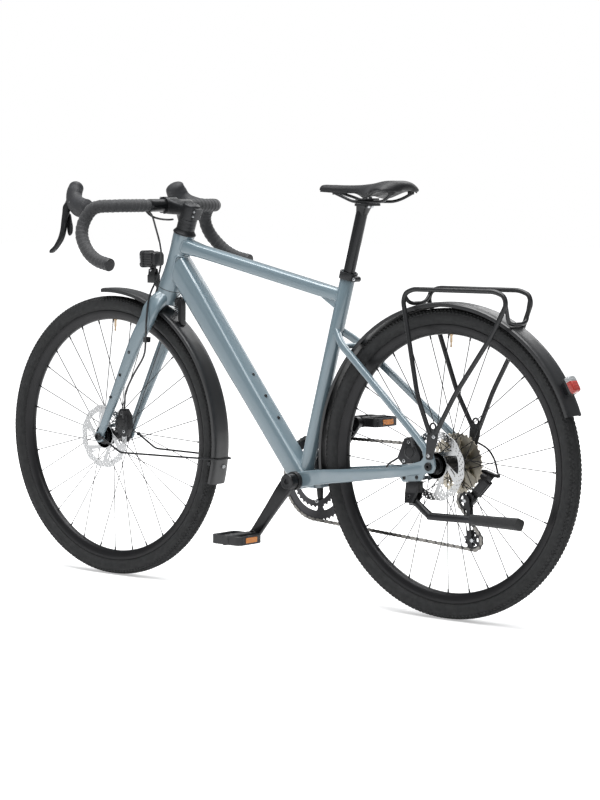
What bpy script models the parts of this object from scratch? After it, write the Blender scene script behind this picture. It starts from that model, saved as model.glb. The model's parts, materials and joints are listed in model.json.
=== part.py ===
"""Gravel bike with mudguards, rear rack, lights and kickstand.

Metres. +X points forward, +Y to the rider's left, +Z up. The origin is the centre of the bottom bracket.
"""

import math

import bmesh
import bpy
from mathutils import Matrix, Vector
from mathutils.geometry import tessellate_polygon

# Driving dimensions of the frame and wheels
WHEELBASE = 1.061
CHAINSTAY = 0.435
BB_DROP = 0.067
HEAD_ANGLE = math.radians(70.0)
SEAT_ANGLE = math.radians(74.5)
FORK_RAKE = 0.055
FORK_CROWN_ALONG = 0.4210
HEAD_TUBE_LENGTH = 0.1435
SEAT_TUBE_LENGTH = 0.5120
FIT_GAP = 0.0003
FRONT_HUB_WIDTH = 0.100
REAR_HUB_WIDTH = 0.1424
DROPOUT_THICKNESS = 0.0060
TYRE_RADIUS = 0.3540
TYRE_HALF_WIDTH = 0.0225
RIM_RADIUS = 0.3165
RIM_DEPTH = 0.0230
RIM_WELL = 0.0060
RIM_HALF_WIDTH = 0.0135
WHEEL_STEPS = 36
SPOKE_COUNT = 32
SPOKE_RADIUS = 0.0010
SPOKE_CROSSES = 3
AXLE_RADIUS = 0.0060
AXLE_HEAD_RADIUS = 0.0100

# Tubes: half sizes of the sections
HEAD_TOP_RADIUS = 0.0265
HEAD_LOW_RADIUS = 0.0285
HEAD_BORE_RADIUS = 0.0205
STEERER_RADIUS = 0.0143
SEAT_TUBE_RADIUS = 0.01745
DOWN_TUBE_HALF_HEIGHTS = (0.0255, 0.0310)
DOWN_TUBE_HALF_WIDTHS = (0.0260, 0.0235)
TOP_TUBE_HALF_HEIGHT = 0.0155
TOP_TUBE_HALF_WIDTH = 0.0180
BB_SHELL_RADIUS = 0.0210
BB_SHELL_HALF_WIDTH = 0.0340
BB_CUP_RADIUS = 0.0225
BB_CUP_DEPTH = 0.0100
SPINDLE_RADIUS = 0.0120

# Seat
POST_RADIUS = 0.0136
POST_INSERT = 0.1150
POST_BORE_END = 0.2500
SADDLE_CHANNEL = 0.0025
SADDLE_LENGTH = 0.2580
SADDLE_HALF_WIDTH = 0.0720
RAIL_RADIUS = 0.0035
RAIL_HALF_SPAN = 0.0220
RAIL_HEIGHT = 0.6580
POST_HEAD_DROP = 0.0220
SADDLE_RISE = 0.0430
SADDLE_REACH = 0.1247

# Cockpit
STEM_ALONG = 0.6240
STEM_HALF_HEIGHT = 0.0200
BAR_CLAMP = (0.4380, 0.0, 0.6480)
BAR_CLAMP_RADIUS = 0.0159
BAR_RADIUS = 0.0121
TAPE_RADIUS = 0.0160
TAPE_START = 0.0760
PLUG_THICKNESS = 0.0040
BAR_CLAMP_EDGE = 0.0460
LEVER_REACH = 0.1520
LEVER_SPREAD = 0.1960
LEVER_LIFT = 0.0070
LEVER_ROOT_RADIUS = 0.0090
LEVER_HALF_WIDTH = 0.0060
LEVER_FLARE = 0.2600
LEVER_PULL = math.radians(18.0)
PADDLE_THICKNESS = 0.0040

# Drivetrain
PITCH = 0.0127
CRANK_LENGTH = 0.1725
CRANK_ANGLE = math.radians(-52.5)
CRANK_SPACER = 0.0030
SPIDER_THICKNESS = 0.0044
PEDAL_WIDTH = 0.0850
PEDAL_AXLE_RADIUS = 0.0050
PEDAL_AXLE_LENGTH = 0.0760
OUTER_RING_TEETH = 50
INNER_RING_TEETH = 34
OUTER_RING_Y = -0.0475
INNER_RING_Y = -0.0395
RING_THICKNESS = 0.0022
RING_BOLT_RADIUS = 0.0550
RING_LUG_RADIUS = 0.0500
SPROCKETS = (34, 30, 26, 23, 21, 19, 17, 15, 13, 11)
SPROCKET_SPACING = 0.00395
SPROCKET_THICKNESS = 0.0016
FIRST_SPROCKET_Y = -0.0325
FREEHUB_RADIUS = 0.0175
CHAIN_SPROCKET = 15
PULLEY_TEETH = 11
PULLEY_THICKNESS = 0.0024
FD_PIVOT = (-0.0330, -0.0440, 0.1500)
FD_BARREL_RADIUS = 0.0060
FD_BARREL_HALF_LENGTH = 0.0080
FD_PLATE = 0.0014
FD_TOOTH_GAP = 0.0030
GUIDE_PULLEY = (-0.4330, -0.0219)
TENSION_PULLEY = (-0.4540, -0.1113)
CHAIN_HALF_HEIGHT = 0.0043
CHAIN_HALF_WIDTH = 0.0029
TOOTH_RISE = 0.0020
TOOTH_DEPTH = 0.0042

# Brakes
HOSE_RADIUS = 0.0024
ROTOR_RADIUS = 0.0800
ROTOR_THICKNESS = 0.0018
FRONT_ROTOR_Y = 0.0380
REAR_ROTOR_Y = 0.0490

# Mudguards, rack and stand
GUARD_RADIUS = 0.3670
GUARD_HALF_WIDTH = 0.0275
GUARD_THICKNESS = 0.0020
GUARD_LIP = 0.0110
FRONT_GUARD_RADIUS = 0.3685
FRONT_GUARD_LIFT = 0.0055
FRONT_GUARD_ARC = (87.0, 196.5)
REAR_GUARD_ARC = (-8.0, 159.5)
GUARD_STEP = 7.0
STAY_RADIUS = 0.0020
RACK_TUBE_RADIUS = 0.0055
RACK_ARCH_RADIUS = 0.0045
RACK_HALF_WIDTH = 0.0470
RACK_TOP_HEIGHT = 0.4620
RACK_FOOT_HEIGHT = 0.1500
RACK_AHEAD = 0.0958
RACK_BEHIND = 0.1902
STAND_TILT = math.radians(22.0)
DROPOUT_SLOPE = math.atan2(0.0055, 0.0530)
STAND_PIVOT = (-0.3838, 0.0760, -0.0084)

# Coiled cable behind the fork crown
COIL_WIRE_RADIUS = 0.00085
COIL_RADIUS = 0.0038
COIL_CURLS = 12
COIL_POINTS_PER_CURL = 8
COIL_LEAD_IN = (
    (0.3905, 0.0060, 0.4354),
    (0.3938, 0.0062, 0.4328),
    (0.3965, 0.0085, 0.4295),
    (0.3990, 0.0130, 0.4250),
)
COIL_LEAD_OUT = (
    (0.4040, 0.0200, 0.3640),
    (0.4000, 0.0175, 0.3625),
    (0.3985, 0.0140, 0.3620),
    (0.3985, 0.0103, 0.3620),
)
COIL_ROUTE = (
    (0.3985, 0.0170, 0.4180),
    (0.3995, 0.0170, 0.4000),
    (0.4010, 0.0170, 0.3820),
    (0.4100, 0.0190, 0.3690),
)

LEFT = Vector((0.0, 1.0, 0.0))
UP = Vector((0.0, 0.0, 1.0))
CHAIN_COG_Y = FIRST_SPROCKET_Y - SPROCKET_SPACING * SPROCKETS.index(CHAIN_SPROCKET)
REAR_AXLE = Vector((-math.sqrt(CHAINSTAY**2 - BB_DROP**2), 0.0, BB_DROP))
FRONT_AXLE = REAR_AXLE + Vector((WHEELBASE, 0.0, 0.0))
STEER_UP = Vector((-math.cos(HEAD_ANGLE), 0.0, math.sin(HEAD_ANGLE)))
STEER_FORWARD = Vector((math.sin(HEAD_ANGLE), 0.0, math.cos(HEAD_ANGLE)))
STEER_FOOT = FRONT_AXLE - FORK_RAKE * STEER_FORWARD
SEAT_UP = Vector((-math.cos(SEAT_ANGLE), 0.0, math.sin(SEAT_ANGLE)))
SEAT_FORWARD = Vector((math.sin(SEAT_ANGLE), 0.0, math.cos(SEAT_ANGLE)))
BAR_BEND = (BAR_CLAMP[0] + 0.0540, 0.2040, BAR_CLAMP[2] - 0.0055)
BRAKE_PIVOT = (BAR_CLAMP[0] + LEVER_REACH, LEVER_SPREAD, BAR_CLAMP[2] + LEVER_LIFT)
POST_TOP_ALONG = (RAIL_HEIGHT - POST_HEAD_DROP) / SEAT_UP.z
SADDLE_TOP = RAIL_HEIGHT + SADDLE_RISE
SADDLE_NOSE_X = (POST_TOP_ALONG + 0.0060) * SEAT_UP.x + SADDLE_REACH


def xyz(x, y, z):
    return Vector((x, y, z))


def steer(along, forward=0.0, left=0.0):
    """A point by its distance along the steering axis, ahead of it and to its left."""
    return STEER_FOOT + along * STEER_UP + forward * STEER_FORWARD + left * LEFT


def seat(along, forward=0.0, left=0.0):
    """A point by its distance along the seat tube's axis, ahead of it and to its left."""
    return along * SEAT_UP + forward * SEAT_FORWARD + left * LEFT


def mirrored(point):
    return Vector((point[0], -point[1], point[2]))


def pitch_radius(teeth):
    return PITCH / (2.0 * math.sin(math.pi / teeth))


# Materials


def material(name, colour, roughness, metallic=0.0):
    made = bpy.data.materials.new(name)
    made.use_nodes = True
    shader = made.node_tree.nodes["Principled BSDF"]
    shader.inputs["Base Color"].default_value = (*colour, 1.0)
    shader.inputs["Roughness"].default_value = roughness
    shader.inputs["Metallic"].default_value = metallic
    made.diffuse_color = (*colour, 1.0)
    return made


def build_materials():
    return {
        "paint": material("frame_paint", (0.30, 0.38, 0.42), 0.30, 0.2),
        "black": material("satin_black", (0.025, 0.026, 0.028), 0.45, 0.3),
        "plastic": material("black_plastic", (0.03, 0.03, 0.032), 0.55),
        "rubber": material("rubber", (0.028, 0.029, 0.031), 0.80),
        "tape": material("bar_tape", (0.045, 0.046, 0.048), 0.70),
        "tyre": material("tyre", (0.030, 0.031, 0.033), 0.85),
        "rim": material("rim_black", (0.030, 0.030, 0.031), 0.50, 0.4),
        "steel": material("bright_steel", (0.70, 0.70, 0.71), 0.25, 1.0),
        "sprocket": material("sprocket_steel", (0.52, 0.44, 0.33), 0.32, 1.0),
        "chain": material("chain_steel", (0.22, 0.21, 0.20), 0.35, 1.0),
        "red": material("red_lens", (0.65, 0.05, 0.04), 0.15),
    }


# Mesh helpers


def finish(name, bm, look, smooth=40.0):
    """Turns a bmesh into a named object with its faces pointing out."""
    bmesh.ops.recalc_face_normals(bm, faces=bm.faces[:])
    mesh = bpy.data.meshes.new(name)
    bm.to_mesh(mesh)
    bm.free()
    mesh.shade_smooth()
    mesh.set_sharp_from_angle(angle=math.radians(smooth))
    made = bpy.data.objects.new(name, mesh)
    made.data.materials.append(look)
    bpy.context.scene.collection.objects.link(made)
    return made


def loft(name, rings, look, closed=False, smooth=40.0):
    """A skin over rings of points that all have the same count, capped unless it closes on itself."""
    bm = bmesh.new()
    rows = [[bm.verts.new(point) for point in ring] for ring in rings]
    count = len(rows[0])
    pairs = list(zip(rows, rows[1:]))
    if closed:
        pairs.append((rows[-1], rows[0]))
    for low, high in pairs:
        for i in range(count):
            j = (i + 1) % count
            bm.faces.new((low[i], low[j], high[j], high[i]))
    if not closed:
        bm.faces.new(rows[0][::-1])
        bm.faces.new(rows[-1])
    return finish(name, bm, look, smooth)


def oval(half_w, half_h, sides=8, turn=0.0):
    """Points of an ellipse, whose flats rather than corners meet the axes when turn is half a step."""
    step = math.tau / sides
    return [
        (half_w * math.cos(step * i + turn), half_h * math.sin(step * i + turn)) for i in range(sides)
    ]


def chamfered(half_w, half_h, corner):
    """An eight-sided box section with its corners cut by the same width each way."""
    w, h, c = half_w, half_h, corner
    return [(w, h - c), (w - c, h), (c - w, h), (-w, h - c), (-w, c - h), (c - w, -h), (w - c, -h), (w, c - h)]


def path_frames(points, side, closed=False):
    """Each point of a path with the directions across it: sideways and upward."""
    frames = []
    count = len(points)
    for i, point in enumerate(points):
        before = points[i - 1] if i > 0 or closed else point
        after = points[(i + 1) % count] if i < count - 1 or closed else point
        along = (after - point).normalized() + (point - before).normalized()
        along.normalize()
        across = (side - side.dot(along) * along).normalized()
        frames.append((point, across, along.cross(across)))
    return frames


def sweep(name, points, sections, look, side=LEFT, closed=False, smooth=40.0):
    """A loft along a path, with one section for all its points or one for each."""
    if not isinstance(sections[0][0], tuple):
        sections = [sections] * len(points)
    rings = []
    for (point, across, upward), section in zip(path_frames(points, side, closed), sections):
        rings.append([point + w * across + h * upward for w, h in section])
    return loft(name, rings, look, closed, smooth)


def smooth_path(points, per_span):
    """A Catmull-Rom curve through the points, with per_span steps between each two."""
    ends = [2 * points[0] - points[1], *points, 2 * points[-1] - points[-2]]
    curve = []
    for p0, p1, p2, p3 in zip(ends, ends[1:], ends[2:], ends[3:]):
        for step in range(per_span):
            t = step / per_span
            curve.append(
                0.5
                * (
                    2 * p1
                    + (p2 - p0) * t
                    + (2 * p0 - 5 * p1 + 4 * p2 - p3) * t**2
                    + (3 * p1 - p0 - 3 * p2 + p3) * t**3
                )
            )
    curve.append(points[-1])
    return curve


def pipe(name, points, radius, look, sides=8, side=LEFT):
    return sweep(name, points, oval(radius, radius, sides, math.pi / sides), look, side)


def lathe(name, profile, centre, axis, steps, look, ring=False, smooth=40.0):
    """Turns (radius, along) points about an axis. A ring's profile is closed and never meets the axis."""
    axis = Vector(axis).normalized()
    start = axis.orthogonal().normalized() if abs(axis.y) < 0.99 else Vector((1.0, 0.0, 0.0))
    other = axis.cross(start)
    centre = Vector(centre)
    turns = [
        math.cos(math.tau * i / steps) * start + math.sin(math.tau * i / steps) * other
        for i in range(steps)
    ]
    if ring:
        rings = [[centre + along * axis + radius * turn for radius, along in profile] for turn in turns]
        return loft(name, rings, look, closed=True, smooth=smooth)
    rings = [[centre + along * axis + radius * turn for turn in turns] for radius, along in profile]
    return loft(name, rings, look, smooth=smooth)


def plate(name, outline, thickness, place, look, holes=(), smooth=40.0):
    """A flat plate: an outline in its own plane, with holes, centred on that plane."""
    loops = [[Vector((x, y, 0.0)) for x, y in loop] for loop in (outline, *holes)]
    flat = [point for loop in loops for point in loop]
    bm = bmesh.new()
    half = Vector((0.0, 0.0, thickness / 2.0))
    top = [bm.verts.new(place @ (point + half)) for point in flat]
    low = [bm.verts.new(place @ (point - half)) for point in flat]
    for a, b, c in tessellate_polygon(loops):
        bm.faces.new((top[a], top[b], top[c]))
        bm.faces.new((low[c], low[b], low[a]))
    start = 0
    for loop in loops:
        for i in range(len(loop)):
            j = start + (i + 1) % len(loop)
            bm.faces.new((top[start + i], top[j], low[j], low[start + i]))
        start += len(loop)
    return finish(name, bm, look, smooth)


def side_plane(y, x=0.0, z=0.0):
    """Places a plate's own x and y along world X and Z, at the given Y."""
    return Matrix(((1, 0, 0, x), (0, 0, -1, y), (0, 1, 0, z), (0, 0, 0, 1)))


def block(name, low, high, look):
    """A box between two corners."""
    outline = [(low[0], low[1]), (high[0], low[1]), (high[0], high[1]), (low[0], high[1])]
    place = Matrix.Translation((0.0, 0.0, (low[2] + high[2]) / 2.0))
    return plate(name, outline, high[2] - low[2], place, look)


def rod(name, start, end, radius, look, sides=8):
    """A straight round rod between two points."""
    start, end = Vector(start), Vector(end)
    axis = end - start
    return lathe(name, [(radius, 0.0), (radius, axis.length)], start, axis, sides, look)


def circle(radius, count, centre=(0.0, 0.0), turn=0.0):
    return [
        (
            centre[0] + radius * math.cos(math.tau * i / count + turn),
            centre[1] + radius * math.sin(math.tau * i / count + turn),
        )
        for i in range(count)
    ]


def combined(base, others, operation):
    """Applies one exact Boolean per other object, removes those objects and returns the base."""
    for other in others:
        step = base.modifiers.new("join", "BOOLEAN")
        step.operation = operation
        step.solver = "EXACT"
        step.object = other
    bpy.context.view_layer.update()
    seen = base.evaluated_get(bpy.context.evaluated_depsgraph_get())
    mesh = bpy.data.meshes.new_from_object(seen)
    base.modifiers.clear()
    old = base.data
    look = old.materials[0]
    base.data = mesh
    mesh.name = base.name
    mesh.materials.clear()
    mesh.materials.append(look)
    bpy.data.meshes.remove(old)
    for other in others:
        bpy.data.objects.remove(other)
    bm = bmesh.new()
    bm.from_mesh(mesh)
    bmesh.ops.remove_doubles(bm, verts=bm.verts[:], dist=2e-6)
    bmesh.ops.dissolve_degenerate(bm, edges=bm.edges[:], dist=2e-6)
    bm.to_mesh(mesh)
    bm.free()
    mesh.shade_smooth()
    mesh.set_sharp_from_angle(angle=math.radians(40.0))
    return base


def clear(radius, sides):
    """The corner radius of a bore whose flats clear a shaft of this radius."""
    return (radius + FIT_GAP) / math.cos(math.pi / sides)


def joined(base, *others):
    return combined(base, others, "UNION")


def cut(base, *cutters):
    return combined(base, cutters, "DIFFERENCE")


# Bodies: an empty on each joint's axis carries the pieces that turn or slide together


def body(name, pivot, parent=None):
    made = bpy.data.objects.new(name, None)
    made.empty_display_size = 0.03
    bpy.context.scene.collection.objects.link(made)
    made["pivot"] = tuple(pivot)
    origin = Vector(parent["pivot"]) if parent else Vector()
    made.parent = parent
    made.location = Vector(pivot) - origin
    return made


def carry(owner, *pieces):
    """Gives each piece its origin on the owner's pivot and parents it there."""
    pivot = Vector(owner["pivot"])
    for piece in pieces:
        piece.data.transform(Matrix.Translation(-pivot))
        piece.parent = owner


# Frame


def frame_tubes(look):
    head_middle = steer(FORK_CROWN_ALONG + HEAD_TUBE_LENGTH / 2.0)
    down = head_middle.normalized()
    low_h, high_h = DOWN_TUBE_HALF_HEIGHTS
    low_w, high_w = DOWN_TUBE_HALF_WIDTHS
    reach = head_middle.length
    down_tube = sweep(
        "down_tube",
        [down * 0.006, down * 0.25, down * (reach - 0.10), down * (reach - 0.012)],
        [
            chamfered(low_w, low_h, 0.009),
            chamfered(low_w, low_h, 0.009),
            chamfered(high_w, high_h, 0.009),
            chamfered(high_w - 0.0015, high_h, 0.009),
        ],
        look,
    )
    top_front = steer(FORK_CROWN_ALONG + HEAD_TUBE_LENGTH - 0.028, -0.008)
    top_rear = seat(SEAT_TUBE_LENGTH - 0.058)
    back = (top_rear - top_front).normalized()
    box = chamfered(TOP_TUBE_HALF_WIDTH, TOP_TUBE_HALF_HEIGHT, 0.007)
    tall = chamfered(TOP_TUBE_HALF_WIDTH + 0.002, TOP_TUBE_HALF_HEIGHT + 0.004, 0.008)
    top_tube = sweep(
        "top_tube",
        [top_front, top_front + back * 0.060, top_rear - back * 0.070, top_rear],
        [tall, box, box, chamfered(0.0140, TOP_TUBE_HALF_HEIGHT, 0.006)],
        look,
    )
    knee = top_rear - back * 0.078 - UP * 0.010
    gusset = plate(
        "gusset",
        [
            (knee.x, knee.z),
            (seat(SEAT_TUBE_LENGTH - 0.092).x + 0.010, seat(SEAT_TUBE_LENGTH - 0.092).z),
            (seat(SEAT_TUBE_LENGTH - 0.097).x, seat(SEAT_TUBE_LENGTH - 0.097).z),
            (top_rear.x, top_rear.z),
        ],
        0.0230,
        side_plane(0.0),
        look,
    )
    seat_tube = lathe(
        "seat_tube",
        [(SEAT_TUBE_RADIUS, 0.004), (SEAT_TUBE_RADIUS, SEAT_TUBE_LENGTH)],
        (0, 0, 0),
        SEAT_UP,
        16,
        look,
    )
    head_tube = lathe(
        "head_tube",
        [
            (HEAD_LOW_RADIUS, FORK_CROWN_ALONG),
            (HEAD_LOW_RADIUS, FORK_CROWN_ALONG + 0.018),
            (HEAD_TOP_RADIUS - 0.0015, FORK_CROWN_ALONG + 0.060),
            (HEAD_TOP_RADIUS, FORK_CROWN_ALONG + HEAD_TUBE_LENGTH - 0.010),
            (HEAD_TOP_RADIUS, FORK_CROWN_ALONG + HEAD_TUBE_LENGTH),
        ],
        STEER_FOOT,
        STEER_UP,
        16,
        look,
    )
    return head_tube, [down_tube, top_tube, gusset, seat_tube]


def bottom_bracket(look):
    """The shell with the two threaded cups' flanges on its ends, and the yoke that carries the chainstays."""
    ends = BB_SHELL_HALF_WIDTH + BB_CUP_DEPTH
    shell = lathe(
        "shell",
        [
            (BB_CUP_RADIUS, -ends),
            (BB_CUP_RADIUS, -BB_SHELL_HALF_WIDTH),
            (BB_SHELL_RADIUS, -BB_SHELL_HALF_WIDTH),
            (BB_SHELL_RADIUS, BB_SHELL_HALF_WIDTH),
            (BB_CUP_RADIUS, BB_SHELL_HALF_WIDTH),
            (BB_CUP_RADIUS, ends),
        ],
        (0, 0, 0),
        LEFT,
        16,
        look,
    )
    rear = REAR_AXLE.x + GUARD_RADIUS * math.cos(math.radians(REAR_GUARD_ARC[0])) + 2.0 * FIT_GAP
    yoke = block("yoke", (rear + 0.010, -0.0330, -0.0150), (-0.010, 0.0330, 0.0180), look)
    lug = block("lug", (rear, -0.0070, 0.0070), (rear + 0.012, 0.0070, 0.0175), look)
    return [shell, yoke, lug]


def chainstay(side, look):
    """One chainstay, flattened where it passes between the tyre and the chainrings."""
    stations = (
        (-0.014, 0.0270, 0.0035, 0.0065, 0.0190),
        (-0.052, 0.0325, 0.0105, 0.0045, 0.0180),
        (-0.082, 0.0332, 0.0150, 0.0050, 0.0172),
        (-0.112, 0.0372, 0.0188, 0.0065, 0.0165),
        (-0.170, 0.0430, 0.0255, 0.0085, 0.0155),
        (-0.280, 0.0590, 0.0395, 0.0085, 0.0125),
        (-0.350, 0.0742, 0.0490, 0.0065, 0.0110),
        (REAR_AXLE.x + 0.018, 0.0742, 0.0600, 0.0030, 0.0110),
    )
    points = [xyz(x, side * y, z) for x, y, z, w, h in stations]
    sections = [chamfered(w, h, 0.4 * w) for x, y, z, w, h in stations]
    return sweep("chainstay", points, sections, look)


def seatstay(side, look):
    stations = (
        (-0.1050, 0.0080, 0.3590, 0.0075, 0.0085),
        (-0.1440, 0.0330, 0.3270, 0.0070, 0.0090),
        (-0.1900, 0.0400, 0.2900, 0.0070, 0.0085),
        (-0.3900, 0.0640, 0.1275, 0.0070, 0.0085),
        (REAR_AXLE.x + 0.008, 0.0742, 0.0930, 0.0030, 0.0085),
    )
    points = [xyz(x, side * y, z) for x, y, z, w, h in stations]
    sections = [chamfered(w, h, 0.4 * w) for x, y, z, w, h in stations]
    return sweep("seatstay", points, sections, look)


def dropouts(look):
    """The left plate with the stand's lug, and the right one with the gear hanger."""
    inner = REAR_HUB_WIDTH / 2.0
    middle = inner + DROPOUT_THICKNESS / 2.0
    axle_x, axle_z = REAR_AXLE.x, REAR_AXLE.z
    left_outline = [
        (axle_x + 0.092, axle_z - 0.009),
        (axle_x + 0.0745, axle_z - 0.0400),
        (axle_x + 0.0215, axle_z - 0.0345),
        (axle_x + 0.0100, axle_z - 0.0150),
        (axle_x - 0.0095, axle_z - 0.0155),
        (axle_x - 0.0180, axle_z - 0.0020),
        (axle_x - 0.0170, axle_z + 0.0110),
        (axle_x - 0.0100, axle_z + 0.0330),
        (axle_x + 0.0080, axle_z + 0.0350),
        (axle_x + 0.0200, axle_z + 0.0120),
        (axle_x + 0.0500, axle_z + 0.0030),
    ]
    left = plate("dropout_left", left_outline, DROPOUT_THICKNESS, side_plane(middle), look)
    right_outline = [
        (axle_x + 0.0600, axle_z - 0.0150),
        (axle_x + 0.0130, axle_z - 0.0170),
        (axle_x + 0.0010, axle_z - 0.0200),
        (axle_x - 0.0060, axle_z - 0.0330),
        (axle_x - 0.0180, axle_z - 0.0330),
        (axle_x - 0.0190, axle_z - 0.0180),
        (axle_x - 0.0180, axle_z + 0.0060),
        (axle_x - 0.0100, axle_z + 0.0330),
        (axle_x + 0.0080, axle_z + 0.0350),
        (axle_x + 0.0200, axle_z + 0.0120),
        (axle_x + 0.0600, axle_z - 0.0020),
    ]
    right = plate("dropout_right", right_outline, DROPOUT_THICKNESS, side_plane(-middle), look)
    reach = inner + DROPOUT_THICKNESS + 0.002
    bore = rod("axle_bore", (axle_x, -reach, axle_z), (axle_x, reach, axle_z), clear(AXLE_RADIUS, 12), look, 12)
    return [left, right], bore


def derailleur_body(look):
    """The front derailleur's fixed half: an arm from the seat tube to the lug beside the cage's barrel."""
    x, y, z = FD_PIVOT
    inner = x - FD_BARREL_HALF_LENGTH - FIT_GAP
    arm = block("fd_arm", (inner - 0.0100, y + 0.0030, z - 0.0065), (inner, -0.0080, z + 0.0065), look)
    lug = rod("fd_lug", (inner - 0.0100, y, z), (inner, y, z), FD_BARREL_RADIUS, look, 10)
    return [arm, lug]


def build_frame(look):
    head_tube, tubes = frame_tubes(look)
    stays = [part for side in (1, -1) for part in (chainstay(side, look), seatstay(side, look))]
    bridge = rod("bridge", (-0.1490, -0.034, 0.3240), (-0.1490, 0.034, 0.3240), 0.0065, look)
    plates, axle_bore = dropouts(look)
    frame = joined(
        head_tube, *tubes, *bottom_bracket(look), *stays, bridge, *plates, *derailleur_body(look)
    )
    frame.name = "frame"
    ends = BB_SHELL_HALF_WIDTH + BB_CUP_DEPTH + 0.002
    spindle_bore = rod("spindle_bore", (0, -ends, 0), (0, ends, 0), clear(SPINDLE_RADIUS + FIT_GAP, 12), look, 12)
    head_bore = rod(
        "head_bore",
        steer(FORK_CROWN_ALONG - 0.002),
        steer(FORK_CROWN_ALONG + HEAD_TUBE_LENGTH + 0.002),
        HEAD_BORE_RADIUS,
        look,
        12,
    )
    post_bore = rod(
        "post_bore", seat(POST_BORE_END), seat(SEAT_TUBE_LENGTH + 0.002), clear(POST_RADIUS, 12), look, 12
    )
    return cut(frame, spindle_bore, head_bore, post_bore, axle_bore)


def build_seat_clamp(look):
    """The collar round the seat tube's top, split at the back, with its bolt ears."""
    inner = SEAT_TUBE_RADIUS + FIT_GAP
    outer = inner + 0.0034
    low = SEAT_TUBE_LENGTH - 0.0155
    collar = lathe(
        "seat_clamp",
        [(inner, low), (outer, low), (outer, SEAT_TUBE_LENGTH + 0.0025), (inner, SEAT_TUBE_LENGTH + 0.0025)],
        (0, 0, 0),
        SEAT_UP,
        16,
        look,
        ring=True,
    )
    along = low + 0.0075
    ear = rod("ear", seat(along, -outer - 0.0045, -0.0090), seat(along, -outer - 0.0045, 0.0090), 0.0065, look, 8)
    slot = sweep(
        "slot",
        [seat(low - 0.004, -outer), seat(SEAT_TUBE_LENGTH + 0.006, -outer)],
        chamfered(0.0008, 0.0150, 0.0001),
        look,
    )
    return cut(joined(collar, ear), slot)


# Seat post and saddle


def build_seatpost(look):
    """The post, its bore left closed, with the two-piece rail cradle on its head."""
    bottom = SEAT_TUBE_LENGTH - POST_INSERT
    post = lathe(
        "seatpost",
        [(POST_RADIUS, bottom), (POST_RADIUS, POST_TOP_ALONG - 0.004), (0.0115, POST_TOP_ALONG + 0.004)],
        (0, 0, 0),
        SEAT_UP,
        12,
        look,
    )
    head = seat(POST_TOP_ALONG + 0.006)
    deck = RAIL_HEIGHT - RAIL_RADIUS - FIT_GAP
    lid = RAIL_HEIGHT + RAIL_RADIUS + FIT_GAP
    neck = sweep(
        "neck",
        [seat(POST_TOP_ALONG - 0.012), xyz(head.x - 0.004, 0, deck - 0.003)],
        [chamfered(0.0095, 0.0110, 0.003), chamfered(0.0150, 0.0150, 0.003)],
        look,
    )
    x = head.x - 0.006
    cradle = block("cradle", (x - 0.0270, -0.0270, deck - 0.0060), (x + 0.0110, 0.0270, deck), look)
    web = block("web", (x - 0.0180, -0.0120, deck - 0.002), (x + 0.0050, 0.0120, lid + 0.002), look)
    upper = block("upper", (x - 0.0230, -0.0270, lid), (x + 0.0080, 0.0270, lid + 0.0040), look)
    return joined(post, neck, cradle, web, upper)


def build_rails(look):
    """One wire, bent round in the nose, with both of its ends under the saddle's back."""
    half = (
        (0.929, 0.0360, 0.430),
        (0.848, 0.0300, 0.163),
        (0.770, RAIL_HALF_SPAN, 0.0),
        (0.437, RAIL_HALF_SPAN, 0.0),
        (0.336, 0.0200, 0.209),
        (0.204, 0.0120, 0.442),
        (0.177, 0.0060, 0.477),
    )
    left = [
        xyz(SADDLE_NOSE_X - SADDLE_LENGTH * back, y, RAIL_HEIGHT + SADDLE_RISE * rise)
        for back, y, rise in half
    ]
    nose = xyz(SADDLE_NOSE_X - SADDLE_LENGTH * 0.169, 0.0, RAIL_HEIGHT + SADDLE_RISE * 0.484)
    route = left + [nose] + [mirrored(point) for point in reversed(left)]
    return sweep("saddle_rails", route, oval(RAIL_RADIUS, RAIL_RADIUS, 6), look, side=UP)


def saddle_station(t):
    """Half width, top height and how far the wings hang at t, which runs from the nose to the tail."""
    nose = 0.0190
    flare = 1.0 / (1.0 + math.exp(-(t - 0.62) / 0.075))
    width = nose + (SADDLE_HALF_WIDTH - nose) * flare
    tip = min(1.0, (t + 0.004) / 0.055, (1.004 - t) / 0.130)
    width *= math.sqrt(max(0.0, 1.0 - (1.0 - tip) ** 2))
    top = SADDLE_TOP - 0.0045 * math.sin(math.pi * min(1.0, t / 0.80)) + 0.0040 * flare
    top -= 0.0070 * (1.0 - tip) ** 2
    hang = 0.0140 + 0.0180 * math.exp(-(((t - 0.64) / 0.130) ** 2))
    return width, top, hang


def build_saddle(look):
    """A crowned cushion, waisted between nose and wings, with its sides drawn in to the base."""
    rings = []
    crown = [math.cos(math.pi * i / 12.0) for i in range(13)]
    count = 22
    for i in range(count + 1):
        t = 0.5 - 0.5 * math.cos(math.pi * i / count)
        width, top, hang = saddle_station(t)
        x = SADDLE_NOSE_X - SADDLE_LENGTH * t
        ring = [
            xyz(x, width * s, top - hang * abs(s) ** 2.8 - SADDLE_CHANNEL * (1.0 - abs(s)) ** 2)
            for s in crown
        ]
        base = top - max(hang, 0.0155) - 0.0035
        rise = 0.0060 * min(1.0, width / 0.030)
        ring += [
            xyz(x, -width * 0.84, base),
            xyz(x, -width * 0.40, base + rise),
            xyz(x, width * 0.40, base + rise),
            xyz(x, width * 0.84, base),
        ]
        rings.append(ring)
    return loft("saddle", rings, look, smooth=60.0)


# Wheels


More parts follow.
